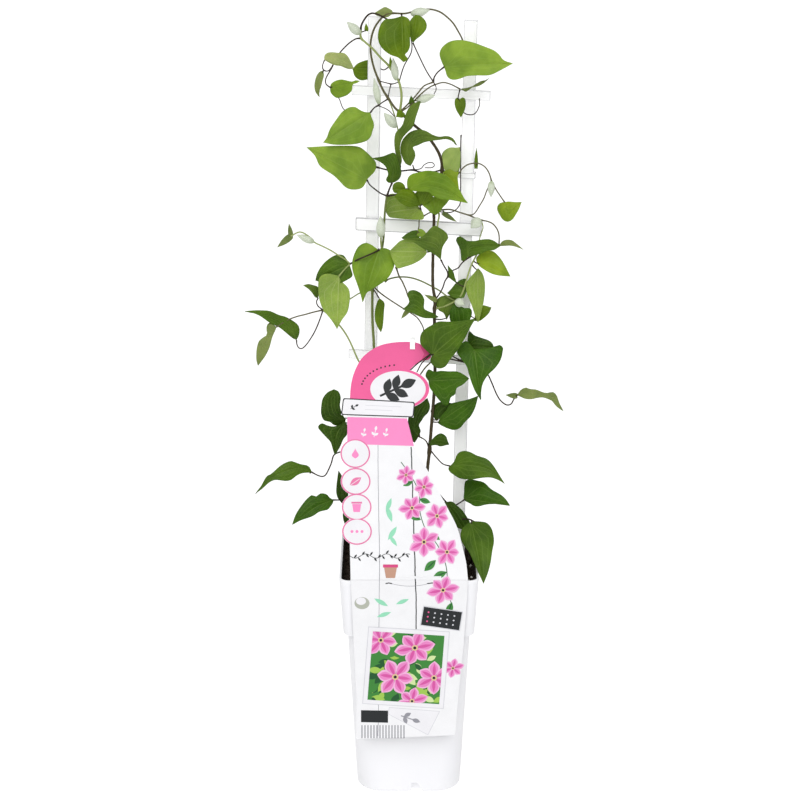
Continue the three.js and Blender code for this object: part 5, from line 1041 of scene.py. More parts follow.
LEFT_LEAVES = [
    leaf((367, 180, -2), (306.5, 147.3, -24), 41, "bright", edges=[
        [(368.5, 177.5), (372, 174.5), (375, 171), (376.3, 166.5), (375.5, 161.5), (372, 157.5),
         (368.5, 154), (360.5, 147.5), (354, 146), (345, 145.8), (330, 146)],
        [(365.5, 183), (363.5, 186.5), (360, 188.8), (354, 189.6), (349, 189), (345, 186.8),
         (338, 179.5), (333, 175), (320, 166), (315, 156)],
    ]),
    leaf((392, 183, 8), (372, 158.3, -8), 17, "deep", rib=[(393.5, 170), (388, 159.5)], edges=[
        [(388, 182.5), (386, 179.5), (388, 175), (387, 170), (385, 166), (380, 162)],
        [(396, 181.5), (400, 178), (401.5, 172), (399, 164), (396.5, 156), (394, 152.5), (389, 154),
         (384, 156), (378, 157.3)],
    ]),
    leaf((407.5, 189.5, -2), (468, 203.2, -18), 42, "fresh", fold=22,
        rib=[(424, 186), (445, 190.5)], edges=[
        [(407, 182), (408.5, 177), (412, 174), (418, 172.5), (424, 171), (430, 170.7), (437, 172),
         (444, 174.5), (450, 179), (459, 189), (464, 198)],
        [(413, 191), (421, 191.5), (428, 192), (434, 196.5), (441, 199), (450, 200), (459, 201.5)],
    ]),
    leaf((406, 189.5, 0), (392.3, 189, -3), 10, "grass", edges=[
        [(404, 184.5), (400, 182), (396, 182.3), (393, 185)],
        [(402, 192.3), (397, 193.2), (394, 192.5)],
    ]),
    leaf((379, 250, 6), (362.5, 302.5, -10), 43, "fresh", edges=[
        [(376, 248), (374, 246.5), (370, 244), (366, 242.8), (361, 244.5), (357, 248.5), (353, 258),
         (352, 265), (353, 272), (357.5, 285), (361, 296)],
        [(383, 248), (388, 249), (391.5, 251.5), (394, 257), (394.8, 261.5), (393.5, 268), (388, 278),
         (379, 285), (367, 292.5)],
    ]),
    leaf((291, 236, -8), (289, 223.5, -10), 5, "olive", arch=0),
    leaf((291, 236, -8), (277, 247.5, -10), 7, "olive", arch=0),
    leaf((349.5, 264.5, 2), (315.3, 280.5, 6), 27, "deep", edges=[
        [(346.5, 259), (343, 255), (336, 255), (328, 259.5), (321.5, 266), (317, 274)],
        [(351, 269), (352.5, 276), (347, 280), (342.5, 282.3), (335, 283.5), (325, 283.5)],
    ]),
    leaf((339, 276, -4), (337, 329, -14), 32, "bright", under=True, edges=[
        [(335, 275), (330, 273.8), (325, 274), (320.5, 276.5), (318.5, 281), (318.5, 294), (320, 302),
         (323, 309.5), (332, 321)],
        [(341, 281), (345, 284.5), (348.5, 288.5), (350, 295), (349.5, 303), (347.5, 312), (342, 320)],
    ]),
    leaf((318, 298, 5), (303, 285.3, 2), 10, "moss", rib=[(315, 291.5), (309.5, 286.8)], edges=[
        [(319.5, 292), (318, 287), (313, 285), (308, 284)],
        [(315.5, 297.5), (312.5, 293.5), (309, 289.5), (305.5, 287)],
    ]),
    leaf((296.5, 340, 0), (245, 311.3, -12), 13, "deep", arch=0.05,
        rib=[(289, 328), (272, 317.5)], edges=[
        [(298.5, 336.5), (299.7, 331), (298.5, 325.5), (294, 321.5), (285, 316.5), (279, 315),
         (270, 311), (262, 310.3), (254, 310.3)],
        [(293, 338.5), (285, 332), (280, 328), (270, 323), (260, 316), (252, 312.7)],
    ]),
    leaf((276.5, 327, -8), (258, 366, -18), 14, "olive", rib=[(269.5, 336), (262.5, 350)], edges=[
        [(270, 322.5), (267, 325), (266.5, 330), (267, 334.5), (263, 337.5), (259, 341), (257, 347),
         (256.3, 354), (256.5, 361)],
        [(275.5, 330), (273, 335.5), (271.5, 340), (270, 346), (268, 351), (265, 356.5)],
    ]),
    leaf((379, 298, 18), (381, 332.5, 13), 10, "grass", edges=[
        [(376.5, 304), (375, 311), (375, 320), (377.5, 327)],
        [(382, 300), (384.5, 303), (384, 311), (383.5, 320), (382.5, 328)],
    ]),
    leaf((346, 420, 10), (334, 389.3, 4), 34, "shade", rib=[(335, 415), (331, 402)], edges=[
        [(340, 425.5), (334, 425), (330, 422), (324, 420.3), (321.2, 414), (321.3, 406), (323, 398),
         (328, 392)],
        [(342.5, 414), (340, 406), (340.7, 397), (338.5, 391.5)],
    ]),
    leaf((345, 420.5, 9), (334.8, 455.5, 6), 28, "shade", rib=[(337, 435)], edges=[
        [(340, 424.5), (333, 426.5), (327, 425.3), (321.5, 423.3), (318, 427), (320.5, 431), (326, 437),
         (330.5, 442), (332.7, 449)],
        [(347.5, 426), (347, 434.5), (343.5, 439), (340, 447)],
    ]),
    leaf((312, 472.5, -4), (255.3, 493.7, -20), 17, "deep",
        rib=[(300, 468.5), (282, 472.5), (267, 481)], edges=[
        [(310.5, 469), (308.5, 466), (300, 464), (296, 462.5), (291, 461), (286, 462.5), (280, 466),
         (271, 474), (267, 476), (261, 486)],
        [(302, 473.3), (297, 475.5), (291, 480), (286, 481), (280, 480.3), (275, 480), (270, 482),
         (262, 489)],
    ]),
    leaf((333.5, 499.5, 2), (292, 524.8, -14), 22, "dark", rib=[(318, 506)], edges=[
        [(330, 498), (327, 494.5), (323, 493.3), (320, 493.5), (316, 496.5), (312, 495), (309, 497),
         (305, 501), (296, 514)],
        [(333, 503), (330.5, 506.5), (328, 509.5), (323, 510.8), (319, 512), (313, 516), (300, 520.7)],
    ]),
    leaf((342, 503.5, 9), (338.5, 470.5, 12), 15, "shade", arch=0.05, edges=[
        [(338, 498.5), (336.3, 493), (336.5, 485), (337.5, 477)],
        [(348, 497), (347.5, 490), (344, 481), (341.5, 475)],
    ]),
    leaf((347, 510, 9), (345.5, 526, 8), 8, "shade", arch=0.05),
]

RIGHT_BUDS = [
    bud((360, 34, 8), (347, 22, 4), 9),
    bud((411, 14, 15), (430, 10, 9), 9),
    bud((396, 80, 9), (393, 58, 3), 7.5),
    bud((379, 104, 5), (374, 78, 3), 7),
    bud((417, 101, 8), (435, 95, 2), 8),
    bud((396, 127, 10), (384, 113, 3), 9.5),
    bud((491.5, 181, 2), (491, 197, -2), 7.5),
    bud((480, 219, 4), (471, 228, -3), 11),
    bud((456, 301, 6), (464, 305, -3), 9),
]

LEFT_BUDS = [
    bud((381, 237, 7), (380.5, 216, 2), 9.5),
    bud((314, 242, -6), (297, 235, -8), 7.5),
]


# Stems: round tubes along smooth curves, thicker where they branch
STEP = 2.0  # millimetres between two rings of a stem
STEM_SIDES = 10
THIN_SIDES = 8
JOINT_REACH = 2.6
JOINT_SWELLING = 0.38


def catmull_rom(points, step):
    """Points along a centripetal Catmull-Rom curve through the given ones."""
    ends = [2 * points[0] - points[1], *points, 2 * points[-1] - points[-2]]
    path = [points[0]]
    for p0, p1, p2, p3 in zip(ends, ends[1:], ends[2:], ends[3:]):
        t1 = max((p1 - p0).length, TINY) ** 0.5
        t2 = t1 + max((p2 - p1).length, TINY) ** 0.5
        t3 = t2 + max((p3 - p2).length, TINY) ** 0.5
        count = max(2, math.ceil((p2 - p1).length / step))
        for i in range(1, count + 1):
            t = mix(t1, t2, i / count)
            a1 = p0 * ((t1 - t) / t1) + p1 * (t / t1)
            a2 = p1 * ((t2 - t) / (t2 - t1)) + p2 * ((t - t1) / (t2 - t1))
            a3 = p2 * ((t3 - t) / (t3 - t2)) + p3 * ((t - t2) / (t3 - t2))
            b1 = a1 * ((t2 - t) / t2) + a2 * (t / t2)
            b2 = a2 * ((t3 - t) / (t3 - t1)) + a3 * ((t - t1) / (t3 - t1))
            path.append(b1 * ((t2 - t) / (t2 - t1)) + b2 * ((t - t1) / (t2 - t1)))
    return path


class Skin:
    """The points, faces and vertex tones of a piece that grows from many parts."""

    def __init__(self):
        self.points, self.faces, self.tones, self.blades, self.kinds = [], [], [], [], []

    def add(self, points, faces, tone, blades=None, kinds=None):
        """Adds a part. Blades are its points' places across and along it, kinds its faces' materials."""
        first = len(self.points)
        self.points.extend(points)
        self.faces.extend([tuple(first + i for i in face) for face in faces])
        self.tones.extend([TONES[tone]] * len(points))
        self.blades.extend(blades or [(0.0, 0.0)] * len(points))
        self.kinds.extend(kinds or [0] * len(faces))

    def make(self, name, materials, slot, replaces):
        mesh = bpy.data.meshes.new(name)
        mesh.from_pydata([p * MM for p in self.points], [], self.faces)
        tones = mesh.attributes.new("tone", "FLOAT_COLOR", "POINT")
        tones.data.foreach_set("color", [c for tone in self.tones for c in (*tone, 1.0)])
        blade = mesh.uv_layers.new(name="blade")
        corners = [self.blades[loop.vertex_index] for loop in mesh.loops]
        blade.data.foreach_set("uv", [c for corner in corners for c in corner])
        mesh.polygons.foreach_set("material_index", self.kinds)
        finish_piece(name, mesh, materials, replaces=replaces)


def direction(path, i):
    """Which way a path runs at one of its points."""
    return (path[min(i + 1, len(path) - 1)] - path[max(i - 1, 0)]).normalized()


def tube(path, radii, sides):
    """A closed round skin along a path, and for each of its points the place round and along it."""
    across = Vector((0.31, 0.83, 0.46))
    last = len(path) - 1
    rings, blades = [], []
    for i, (point, radius) in enumerate(zip(path, radii)):
        along = direction(path, i)
        across = (across - along * across.dot(along)).normalized()
        other = along.cross(across)
        ring = []
        for k in range(sides):
            turn = 2 * math.pi * k / sides
            ring.append(point + (across * math.cos(turn) + other * math.sin(turn)) * radius)
            blades.append((k / sides, i / last))
        rings.append(ring)
    points, faces = loft(rings)
    return points, faces, blades


def stem_path(way):
    return catmull_rom([seen(*point) for point in way], STEP)


def swelling(point, joints):
    """How much thicker a stem is at a point than it would be far from all joints."""
    nearest = min((point - joint).length for joint in joints)
    return 1 + JOINT_SWELLING * math.exp(-((nearest / JOINT_REACH) ** 2))


def add_stem(skin, row, path, joints):
    """A stem along its path, knobbly, swollen at the joints and rounded off at its end."""
    source = random.Random(row["name"])
    knobs = 0.12 if row["tone"] == "bark" else 0.04
    radii = []
    for i, point in enumerate(path):
        plain = mix(*row["thick"], i / (len(path) - 1)) / 2
        knobbly = 1 + knobs * (source.random() - 0.5)
        radii.append(plain * swelling(point, joints) * knobbly)
    end = path[-1] + (path[-1] - path[-2]).normalized() * radii[-1] * 0.5
    radii.append(radii[-1] * 0.55)
    points, faces, blades = tube([*path, end], radii, STEM_SIDES if radii[0] > 0.9 else THIN_SIDES)
    skin.add(points, faces, row["tone"], blades)


# Leaves: thin blades with a midrib, side veins and waved margins
# A plain leaf's outline: the place of a row on the midrib and on the margin, and how far out that is
OUTLINE = [
    (0.0, 0.0, 0.0), (0.0, -0.052, 0.12), (0.008, -0.08, 0.26), (0.02, -0.045, 0.39), (0.05, 0.04, 0.475),
    (0.15, 0.18, 0.512), (0.3, 0.33, 0.5), (0.45, 0.48, 0.44), (0.58, 0.62, 0.36), (0.7, 0.74, 0.25),
    (0.82, 0.86, 0.13), (0.92, 0.94, 0.05), (1.0, 1.0, 0.0),
]
VEIN_STEPS = (0.34, 0.7)  # where the two side veins run, as shares of the way to the margin
VEIN_RISE = 3.2  # how soon after the base the side veins reach their full distance from the midrib
BLADE_THICKNESS = 0.5
RIB_STEPS = 160  # places on a midrib from which a row of an outlined leaf can start


def blade_frame(row):
    """The blade's base, its length, the ways along, across and up from it, and the way its folds rise."""
    base, tip = seen(*row["base"]), seen(*row["tip"])
    along = (tip - base).normalized()
    rise = (CAMERA_PLACE - base).normalized() * (-1 if row["under"] else 1)
    up = (rise - along * rise.dot(along)).normalized()
    return base, (tip - base).length, along, along.cross(up), up, rise if row["edges"] else up


def blade_point(row, blade, u, v, reach, relief=0.0):
    """A point of the blade, u along it and v across it, reach away from the midrib and raised by relief."""
    base, length, along, side, _, rise = blade
    bow = 4 * u * (1 - u / length)
    lift = reach * math.sin(math.radians(row["fold"])) - 0.55 * reach * reach / row["width"]
    return base + along * u + rise * (bow * row["arch"] + lift + relief) + side * v


def evened(path, count):
    """Points at even steps along a path."""
    lengths = [0.0]
    for a, b in zip(path, path[1:]):
        lengths.append(lengths[-1] + (b - a).length)
    points, leg = [], 0
    for i in range(count + 1):
        goal = lengths[-1] * i / count
        while leg < len(path) - 2 and lengths[leg + 1] < goal:
            leg += 1
        share = (goal - lengths[leg]) / (lengths[leg + 1] - lengths[leg])
        points.append(path[leg].lerp(path[leg + 1], share))
    return points


def blade_curve(points, blade, count):
    """A smooth curve in the blade's plane, from its base through points of the frame to its tip."""
    base, length, along, side, up, _ = blade
    controls = [Vector((0, 0, 0))]
    for px, py in points:
        line = sight_line(px, py)
        offset = CAMERA_PLACE - base
        offset -= line * (offset.dot(up) / line.dot(up))
        controls.append(Vector((offset.dot(along), offset.dot(side), 0)))
    controls.append(Vector((length, 0, 0)))
    return evened(catmull_rom(controls, 0.6), count)


def plain_rows(row, blade, count):
    """For each row of a plain leaf its place on the midrib and on the edges, as (u, v)."""
    path = catmull_rom([Vector(one) for one in OUTLINE], 0.004)
    length = blade[1]
    half = row["width"] * math.cos(math.radians(row["fold"]))
    rows = []
    for i in range(count + 1):
        place = i / count * (len(path) - 1)
        low = min(int(place), len(path) - 2)
        start, reach, wide = path[low].lerp(path[low + 1], place - low)
        edge = reach * length
        rows.append((Vector((edge, -wide * half)), Vector((start * length, 0)), Vector((edge, wide * half))))
    return rows


def outlined_rows(row, blade, count):
    """The same for a leaf with its own outline: a row starts where the midrib is nearest to its middle."""
    midrib = blade_curve(row["rib"], blade, RIB_STEPS)
    edges = [blade_curve(edge, blade, count) for edge in row["edges"]]
    edges.sort(key=lambda edge: edge[count * 2 // 5].y)
    steps = [0.0]
    for i in range(1, count):
        middle = (edges[0][i] + edges[1][i]) / 2
        steps.append(min(range(RIB_STEPS + 1), key=lambda k: (midrib[k] - middle).length))
    steps.append(RIB_STEPS)
    for _ in range(3):
        steps = [0.0] + [(a + b + c) / 3 for a, b, c in zip(steps, steps[1:], steps[2:])] + [RIB_STEPS]
    for i in range(1, count + 1):
        steps[i] = min(RIB_STEPS, max(steps[i], steps[i - 1] + 0.2 * RIB_STEPS / count))
    rows = []
    for left, right, step in zip(*edges, steps):
        low = min(int(step), RIB_STEPS - 1)
        rows.append((left.xy, midrib[low].lerp(midrib[low + 1], step - low).xy, right.xy))
    return rows


def grid_size(row):
    """How many rows a leaf's grid has, and how many columns on each side of the midrib."""
    width = row["width"]
    if width <= 8:
        count, columns = 9, 3
    elif width < 16:
        count, columns = 14, 5
    elif width < 28:
        count, columns = 24, 8
    else:
        count, columns = 34, 12
    return max(count, 20) if row["edges"] else count, columns


def add_leaf(skin, row):
    """A leaf as a grid of points, with grooves along its veins, a waved margin and puffed fields."""
    blade = blade_frame(row)
    width, length = row["width"], blade[1]
    count, columns = grid_size(row)
    source = random.Random(str(row["base"]))
    phase, waves = source.uniform(0, TURN), source.uniform(2.2, 3.6)
    rows = (outlined_rows if row["edges"] else plain_rows)(row, blade, count)
    grid = []
    for line, (left, middle, right) in enumerate(rows):
        level = line / count
        ramp = min(1.0, level * VEIN_RISE)
        cells = []
        for k in range(-columns, columns + 1):
            step = k / columns
            edge = left if k < 0 else right
            u, v = middle.lerp(edge, abs(step))
            half = (edge - middle).length
            groove = 0.3 * math.exp(-((step * half / 1.1) ** 2))
            for place in VEIN_STEPS:
                away = (abs(step) - place * ramp) * half
                groove += 0.16 * math.exp(-((away / 0.9) ** 2)) * (1 - level)
            share = u / length
            wave = math.sin(phase + waves * TURN * share + (1.3 if k > 0 else 0)) * abs(step) ** 2.5
            puff = 0.014 * width * math.sin(math.pi * min(1, abs(step) * 2)) * math.sin(math.pi * level)
            relief = 0.022 * width * wave * math.sin(math.pi * level) + puff
            place = blade_point(row, blade, u, v, abs(v - middle.y), relief)
            cells.append((place, groove, (0.5 + step / 2, share)))
        grid.append(cells)
    add_blade(skin, row, grid, blade[4])


def add_blade(skin, row, grid, up):
    """Gives the blade's grid a thickness: thin at the margin, its veins sunk above and raised below."""
    lines, cells = len(grid), len(grid[0])
    points, blades = [], []
    for face in (1, -1):
        for i in range(lines):
            for k in range(cells):
                place, groove, where = grid[i][k]
                du = grid[i][min(k + 1, cells - 1)][0] - grid[i][max(k - 1, 0)][0]
                dv = grid[min(i + 1, lines - 1)][k][0] - grid[max(i - 1, 0)][k][0]
                normal = dv.cross(du)
                normal = normal.normalized() if normal.length > TINY else up
                if normal.dot(up) < 0:
                    normal = -normal
                margin = abs(2 * k / (cells - 1) - 1)
                half = BLADE_THICKNESS / 2 * (1 - 0.6 * margin ** 4)
                sunk = groove * (0.55 if face > 0 else 1.0)
                points.append(place + normal * (face * half - sunk))
                blades.append(where)
    faces, kinds = [], []
    count = lines * cells
    for i in range(lines - 1):
        for k in range(cells - 1):
            a, b = i * cells + k, i * cells + k + 1
            c, d = b + cells, a + cells
            faces += [(a, b, c, d), (d + count, c + count, b + count, a + count)]
            kinds += [0, 1]
    border = list(range(cells)) + [i * cells + cells - 1 for i in range(1, lines)]
    border += [(lines - 1) * cells + k for k in range(cells - 2, -1, -1)]
    border += [i * cells for i in range(lines - 2, 0, -1)]
    for a, b in zip(border, border[1:] + border[:1]):
        faces.append((b, a, a + count, b + count))
        kinds.append(0)
    skin.add(points, faces, row["tone"], blades, kinds)


def add_stalk(skin, row, paths):
    """A leaf or bud that isn't at a stem's own point gets a stalk from the nearest one."""
    base = seen(*row["base"])
    starts = [point for name, path in paths if row["start"] in (None, name) for point in path]
    near = min(starts, key=lambda point: (point - base).length)
    if (near - base).length < 0.5:
        return
    blade = blade_frame(row)
    end = blade_point(row, blade, min(0.15 * blade[1], 2.5), 0, 0)
    thick = 0.55 + 0.006 * row["width"]
    sag = Vector((0, 0, -0.08 * (end - near).length))
    path = catmull_rom([near, (near + end) / 2 + sag, end], 1.5)
    radii = [mix(thick * 1.15, thick * 0.75, i / (len(path) - 1)) for i in range(len(path))]
    points, faces, blades = tube(path, radii, THIN_SIDES)
    skin.add(points, faces, "brown", blades)


# Buds: four silvery downy sepals folded to a drawn-out tip
# A bud's profile: the place along it, and the share of its half width there
BUD = [
    (0.0, 0.3), (0.08, 0.62), (0.2, 0.86), (0.38, 1.0), (0.55, 0.92), (0.72, 0.66), (0.88, 0.3), (1.0, 0.06),
]
BUD_RINGS = 18
BUD_SIDES = 24
BUD_TIP = 0.12
BUD_HAIRS = 520
HAIR_HALF = 0.045
HAIR_DEPTH = 0.06
HAIR_ROOT = 0.1


def bud_profile(share):
    for (low, a), (high, b) in zip(BUD, BUD[1:]):
        if share <= high:
            return mix(a, b, (share - low) / (high - low))
    return BUD[-1][1]


def add_bud(skin, row, hairs):
    """A bud with four shallow seams, and the hairs that stand on it."""
    base, tip = seen(*row["base"]), seen(*row["tip"])
    along = (tip - base).normalized()
    shares = [i / BUD_RINGS for i in range(BUD_RINGS + 1)]
    path = [base.lerp(tip, share) for share in shares]
    radii = [max(BUD_TIP, bud_profile(share) * row["width"] / 2) for share in shares]
    points, faces, blades = tube(path, radii, BUD_SIDES)
    for i, point in enumerate(points):
        centre = path[i // BUD_SIDES]
        seam = 1 - 0.1 * abs(math.cos(4 * math.pi * (i % BUD_SIDES) / BUD_SIDES)) ** 6
        points[i] = centre + (point - centre) * seam
    skin.add(points, faces, "bud", blades)
    source = random.Random(str(row["tip"]))
    for _ in range(BUD_HAIRS):
        i = source.randrange(BUD_SIDES, len(points) - BUD_SIDES)
        root = points[i].lerp(points[i + 1] if (i + 1) % BUD_SIDES else points[i], source.random())
        out = (root - path[i // BUD_SIDES]).normalized()
        sway = Vector([source.uniform(-1, 1) for _ in range(3)])
        end = root + (out * 0.75 + along * 0.9 + sway * 0.35) * source.uniform(0.5, 1.0)
        side = out.cross(along).normalized() * HAIR_HALF
        foot = root - out * HAIR_ROOT
        corners = [foot - side, foot + side, foot + along * HAIR_DEPTH, end]
        hairs.add(corners, [(0, 1, 2), (0, 3, 1), (1, 3, 2), (2, 3, 0)], "down")


def ink(code):
    """A colour written as six hexadecimal digits, as the linear value that shaders take."""
    values = [int(code[i:i + 2], 16) / 255 for i in (0, 2, 4)]
    return tuple(v / 12.92 if v < 0.04045 else ((v + 0.055) / 1.055) ** 2.4 for v in values)


# Colours of leaves, then of wood and shoots, then of buds
TONES = {
    "lime": ink("798F1E"), "bright": ink("789332"), "light": ink("8C9F57"), "fresh": ink("698521"),
    "grass": ink("566E09"), "moss": ink("506621"), "olive": ink("6C7843"), "deep": ink("415D10"),
    "dark": ink("315405"), "shade": ink("294302"), "pale": ink("8C955B"),
    "bark": ink("453C28"), "brown": ink("33291F"), "twig": ink("5E5A3E"), "green": ink("93A062"),
    "bud": ink("BEC6B2"), "down": ink("F2F4EE"),
}


def leaf_veins(shader, across, along):
    """How much of a vein there is at a place: the midrib, the side veins, cross veins and a fine net."""
    away = shader.math("ABSOLUTE", shader.math("MULTIPLY_ADD", across, 2.0, -1.0))
    spread = shader.math("MINIMUM", shader.math("MULTIPLY", along, VEIN_RISE), 1.0)
    wobble = shader.math("MULTIPLY_ADD", shader.noise(160, 2), 0.05, -0.025)
    away = shader.math("ADD", away, wobble)
    main = shader.ramp(away, 0.012, 0.05, 1.0, 0.0)
    for place in VEIN_STEPS:
        offset = shader.math("SUBTRACT", away, shader.math("MULTIPLY", spread, place))
        vein = shader.ramp(shader.math("ABSOLUTE", offset), 0.008, 0.04, 0.75, 0.0)
        main = shader.math("MAXIMUM", main, vein)
    slanted = shader.math("SUBTRACT", along, shader.math("MULTIPLY", away, 0.22))
    wavy = shader.math("MULTIPLY_ADD", slanted, 9.0, shader.math("MULTIPLY", wobble, 6.0))
    second = shader.ramp(shader.math("PINGPONG", wavy, 0.5), 0.02, 0.09, 0.42, 0.0)
    cells = shader.node("TexVoronoi", Vector=shader.place(), Scale=520)
    cells.feature = "DISTANCE_TO_EDGE"
    net = shader.ramp(cells.outputs["Distance"], 0.02, 0.14, 0.3, 0.0)
    return shader.math("MAXIMUM", main, shader.math("MAXIMUM", second, net))


def leaf_material(name, under):
    """A leaf's skin: its own green, darker patches, a net of paler veins, a soft gloss and painted sheen and
    shade.
    """
    depth = {"Subsurface_Weight": 0.1, "Subsurface_Scale": 0.0015, "Subsurface_Radius": (0.6, 1.0, 0.2)}
    shader = Shader(name, Specular_IOR_Level=0.08 if under else 0.11, **depth)
    tone, across, along = shader.grown()
    veins = leaf_veins(shader, across, along)
    patches = shader.ramp(shader.noise(70, 3), 0.4, 0.68)
    base = shader.blend(shader.math("MULTIPLY", patches, 0.28), tone, (0.35, 0.5, 0.3), "MULTIPLY")
    # Painted sheen and shade: a broad noise blends a shaded and a lit copy of the green.
    sheen = shader.ramp(shader.noise(42, 2, 0.45), 0.36, 0.62)
    darker = shader.blend(0.5, base, (0.6, 0.68, 0.55), "MULTIPLY")
    painted_highlight = shader.blend(0.5, base, (1.36, 1.26, 1.2), "MULTIPLY")
    base = shader.blend(sheen, darker, painted_highlight)
    if under:
        base = shader.blend(0.18, base, ink("A5B070"))
        colour = shader.blend(shader.math("MULTIPLY", veins, 0.3), base, ink("BECB8A"))
        return shader.finish(colour, 0.62, [(veins, 0.35, 0.8), (shader.noise(900, 3), 0.05, 0.4)])
    colour = shader.blend(shader.math("MULTIPLY", veins, 0.14), base, ink("A3BF62"))
    dull = shader.math("MULTIPLY_ADD", shader.noise(240, 3), 0.16, 0.36)
    sunk = shader.math("SUBTRACT", 1.0, veins)
    return shader.finish(colour, dull, [(sunk, 0.22, 0.4), (shader.noise(700, 3), 0.05, 0.4)])


def stem_material():
    """Stems and stalks: lengthwise ridges, darker streaks and scattered pale flecks."""
    shader = Shader("stem", Specular_IOR_Level=0.15)
    tone, around, _ = shader.grown()
    streaks = shader.noise(900, 4, 0.65)
    flecks = shader.ramp(shader.noise(260, 4), 0.6, 0.75, 0.0, 0.18)
    colour = shader.blend(shader.ramp(streaks, 0.35, 0.7, 0.0, 0.3), tone, (0.4, 0.36, 0.3), "MULTIPLY")
    colour = shader.blend(flecks, colour, ink("8E8562"))
    ridges = shader.math("PINGPONG", shader.math("MULTIPLY", around, 6.0), 0.5)
    return shader.finish(colour, 0.55, [(ridges, 0.3, 0.5), (streaks, 0.15, 0.6)])


def bud_material(name, sheen):
    """Silky down, greener towards the bud's base."""
    shader = Shader(name, Specular_IOR_Level=0.2, Sheen_Weight=sheen, Sheen_Roughness=0.4)
    tone, _, along = shader.grown()
    silk = shader.noise(1400, 3, 0.6)
    green = shader.ramp(along, 0.0, 0.35, 0.75, 0.08)
    colour = shader.blend(green, tone, ink("8FA070"))
    colour = shader.blend(shader.ramp(silk, 0.4, 0.7, 0.0, 0.35), colour, ink("F4F6F0"))
    return shader.finish(colour, 0.75, [(silk, 0.3, 0.7)])


HIGH_ROW = 240  # leaves that start above this row of the frame belong to the high group


def make_vine(side, stems, leaves, buds, materials):
    """One vine: its stems and stalks, its buds with their down, and its leaves in two groups."""
    node = "vine_" + side
    paths = [(row["name"], stem_path(row["way"])) for row in stems]
    joints = [path[0] for _, path in paths] + [seen(*row["base"]) for row in leaves]
    wood, flowers, down = Skin(), Skin(), Skin()
    for row, (_, path) in zip(stems, paths):
        add_stem(wood, row, path, joints)
    for row in leaves + buds:
        add_stalk(wood, row, paths)
    for row in buds:
        add_bud(flowers, row, down)
    wood.make("stems_" + side, [materials["stem"]], "stem_brown", [node])
    flowers.make("buds_" + side, [materials["bud"]], "bud_silver", [node])
    down.make("down_" + side, [materials["down"]], "bud_silver", [node])
    for level, high in (("high", True), ("low", False)):
        green = Skin()
        for row in leaves:
            if (row["base"][1] < HIGH_ROW) == high:
                add_leaf(green, row)
        green.make(f"leaves_{side}_{level}", [materials["leaf"], materials["under"]], "leaf_green", [node])


def make_vines():
    materials = {
        "stem": stem_material(),
        "bud": bud_material("bud", 0.5),
        "down": bud_material("down", 0.8),
        "leaf": leaf_material("leaf_top", False),
        "under": leaf_material("leaf_under", True),
    }
    make_vine("right", RIGHT_STEMS, RIGHT_LEAVES, RIGHT_BUDS, materials)
    make_vine("left", LEFT_STEMS, LEFT_LEAVES, LEFT_BUDS, materials)


# The label: a stiff card that leans back above its fold and hangs in front of the collar below it.
# Its outlines are runs of points in the frame; a run is smooth, and two runs meet in a corner.
LABEL_SLOPE = math.tan(LABEL_LEAN)
FOLD_ROW = 579.9  # the row of the frame in which the fold is seen
HEAD = [
    [(350, 402), (350, 397), (351, 385), (353, 376), (357, 366), (362, 358), (370, 351), (380, 345.5),
     (390, 343), (400, 342), (410, 342), (419, 343.5), (425, 349), (430, 354)],
    [(430, 354), (431, 357), (428, 360)],
    [(428, 360), (421, 361), (416, 364), (410, 369.5)],
    [(410, 369.5), (404, 402)],
    [(404, 402), (350, 402)],
]
BANNER = [(343, 398), (415, 402), (413.5, 417.5), (341, 415)]
UPPER = [
    [(347, 410), (407, 410)],
    [(407, 410), (407, 418.5), (414, 446), (424, 464), (432, 478), (438, 490), (447, 507), (457, 527),
     (462, 545), (466, 562), (468, 579.8)],
    [(468, 579.8), (350.6, 579.8)],
    [(350.6, 579.8), (347, 410)],
]
LOWER = [(350.6, 580), (468, 580), (467, 600), (463, 650), (458, 700), (455, 735), (356, 739), (356.7, 698)]
OVAL = (398, 389)
OVAL_RIGHT = (429.5, 389)
OVAL_TOP = (398, 368.5)
DISC_WIDTH = 15
# The discs, as (px, py, half their height)
DISCS = [(355.3, 453.5, 14.6), (355.7, 481.4, 13.6), (356.7, 507, 13.4), (357, 531.5, 13.4)]
TONGUE = {"left": -12, "right": 32, "drop": 9, "rise": 5}
LAYER = 0.02  # how far each printed layer stands in front of the one below it
INK_DEPTH = 0.6  # the share of a layer that its plates are thick
NUDGES = 13  # so many shapes of one layer stand a hair apart, so that no two of them share a plane
CARD_WHITE = 0.77  # the share of the light that the card sends back, under the inks too


def on_card(px, py):
    """Where a sight line meets the card, as (x, height along the card above its fold)."""
    slope = LABEL_SLOPE if py < FOLD_ROW else 0
    line = sight_line(px, py)
    away = LABEL_Y + slope * (CAMERA_PLACE.z - LABEL_FOLD_HEIGHT) - CAMERA_PLACE.y
    place = CAMERA_PLACE + line * (away / (line.y - slope * line.z))
    return Vector((place.x, (place.z - LABEL_FOLD_HEIGHT) * math.hypot(1, slope)))


def outline_on_card(points):
    return [on_card(px, py) for px, py in points]


def card_place(x, height, out):
    """The point x, height on the unfolded card, out millimetres in front of its middle."""
    if height < 0:
        return Vector((x, LABEL_Y - out, LABEL_FOLD_HEIGHT + height))
    y = LABEL_Y + height * math.sin(LABEL_LEAN) - out * math.cos(LABEL_LEAN)
    return Vector((x, y, LABEL_FOLD_HEIGHT + height * math.cos(LABEL_LEAN) + out * math.sin(LABEL_LEAN)))


def curve_on_card(points, step):
    """A smooth curve on the card through points of the frame."""
    return [point.to_2d() for point in catmull_rom([on_card(*p).to_3d() for p in points], step)]


def smooth_runs(runs):
    """The outline that runs of points make."""
    outline = []
    for run in runs:
        outline += (curve_on_card(run, 1.5) if len(run) > 2 else outline_on_card(run))[:-1]
    return outline


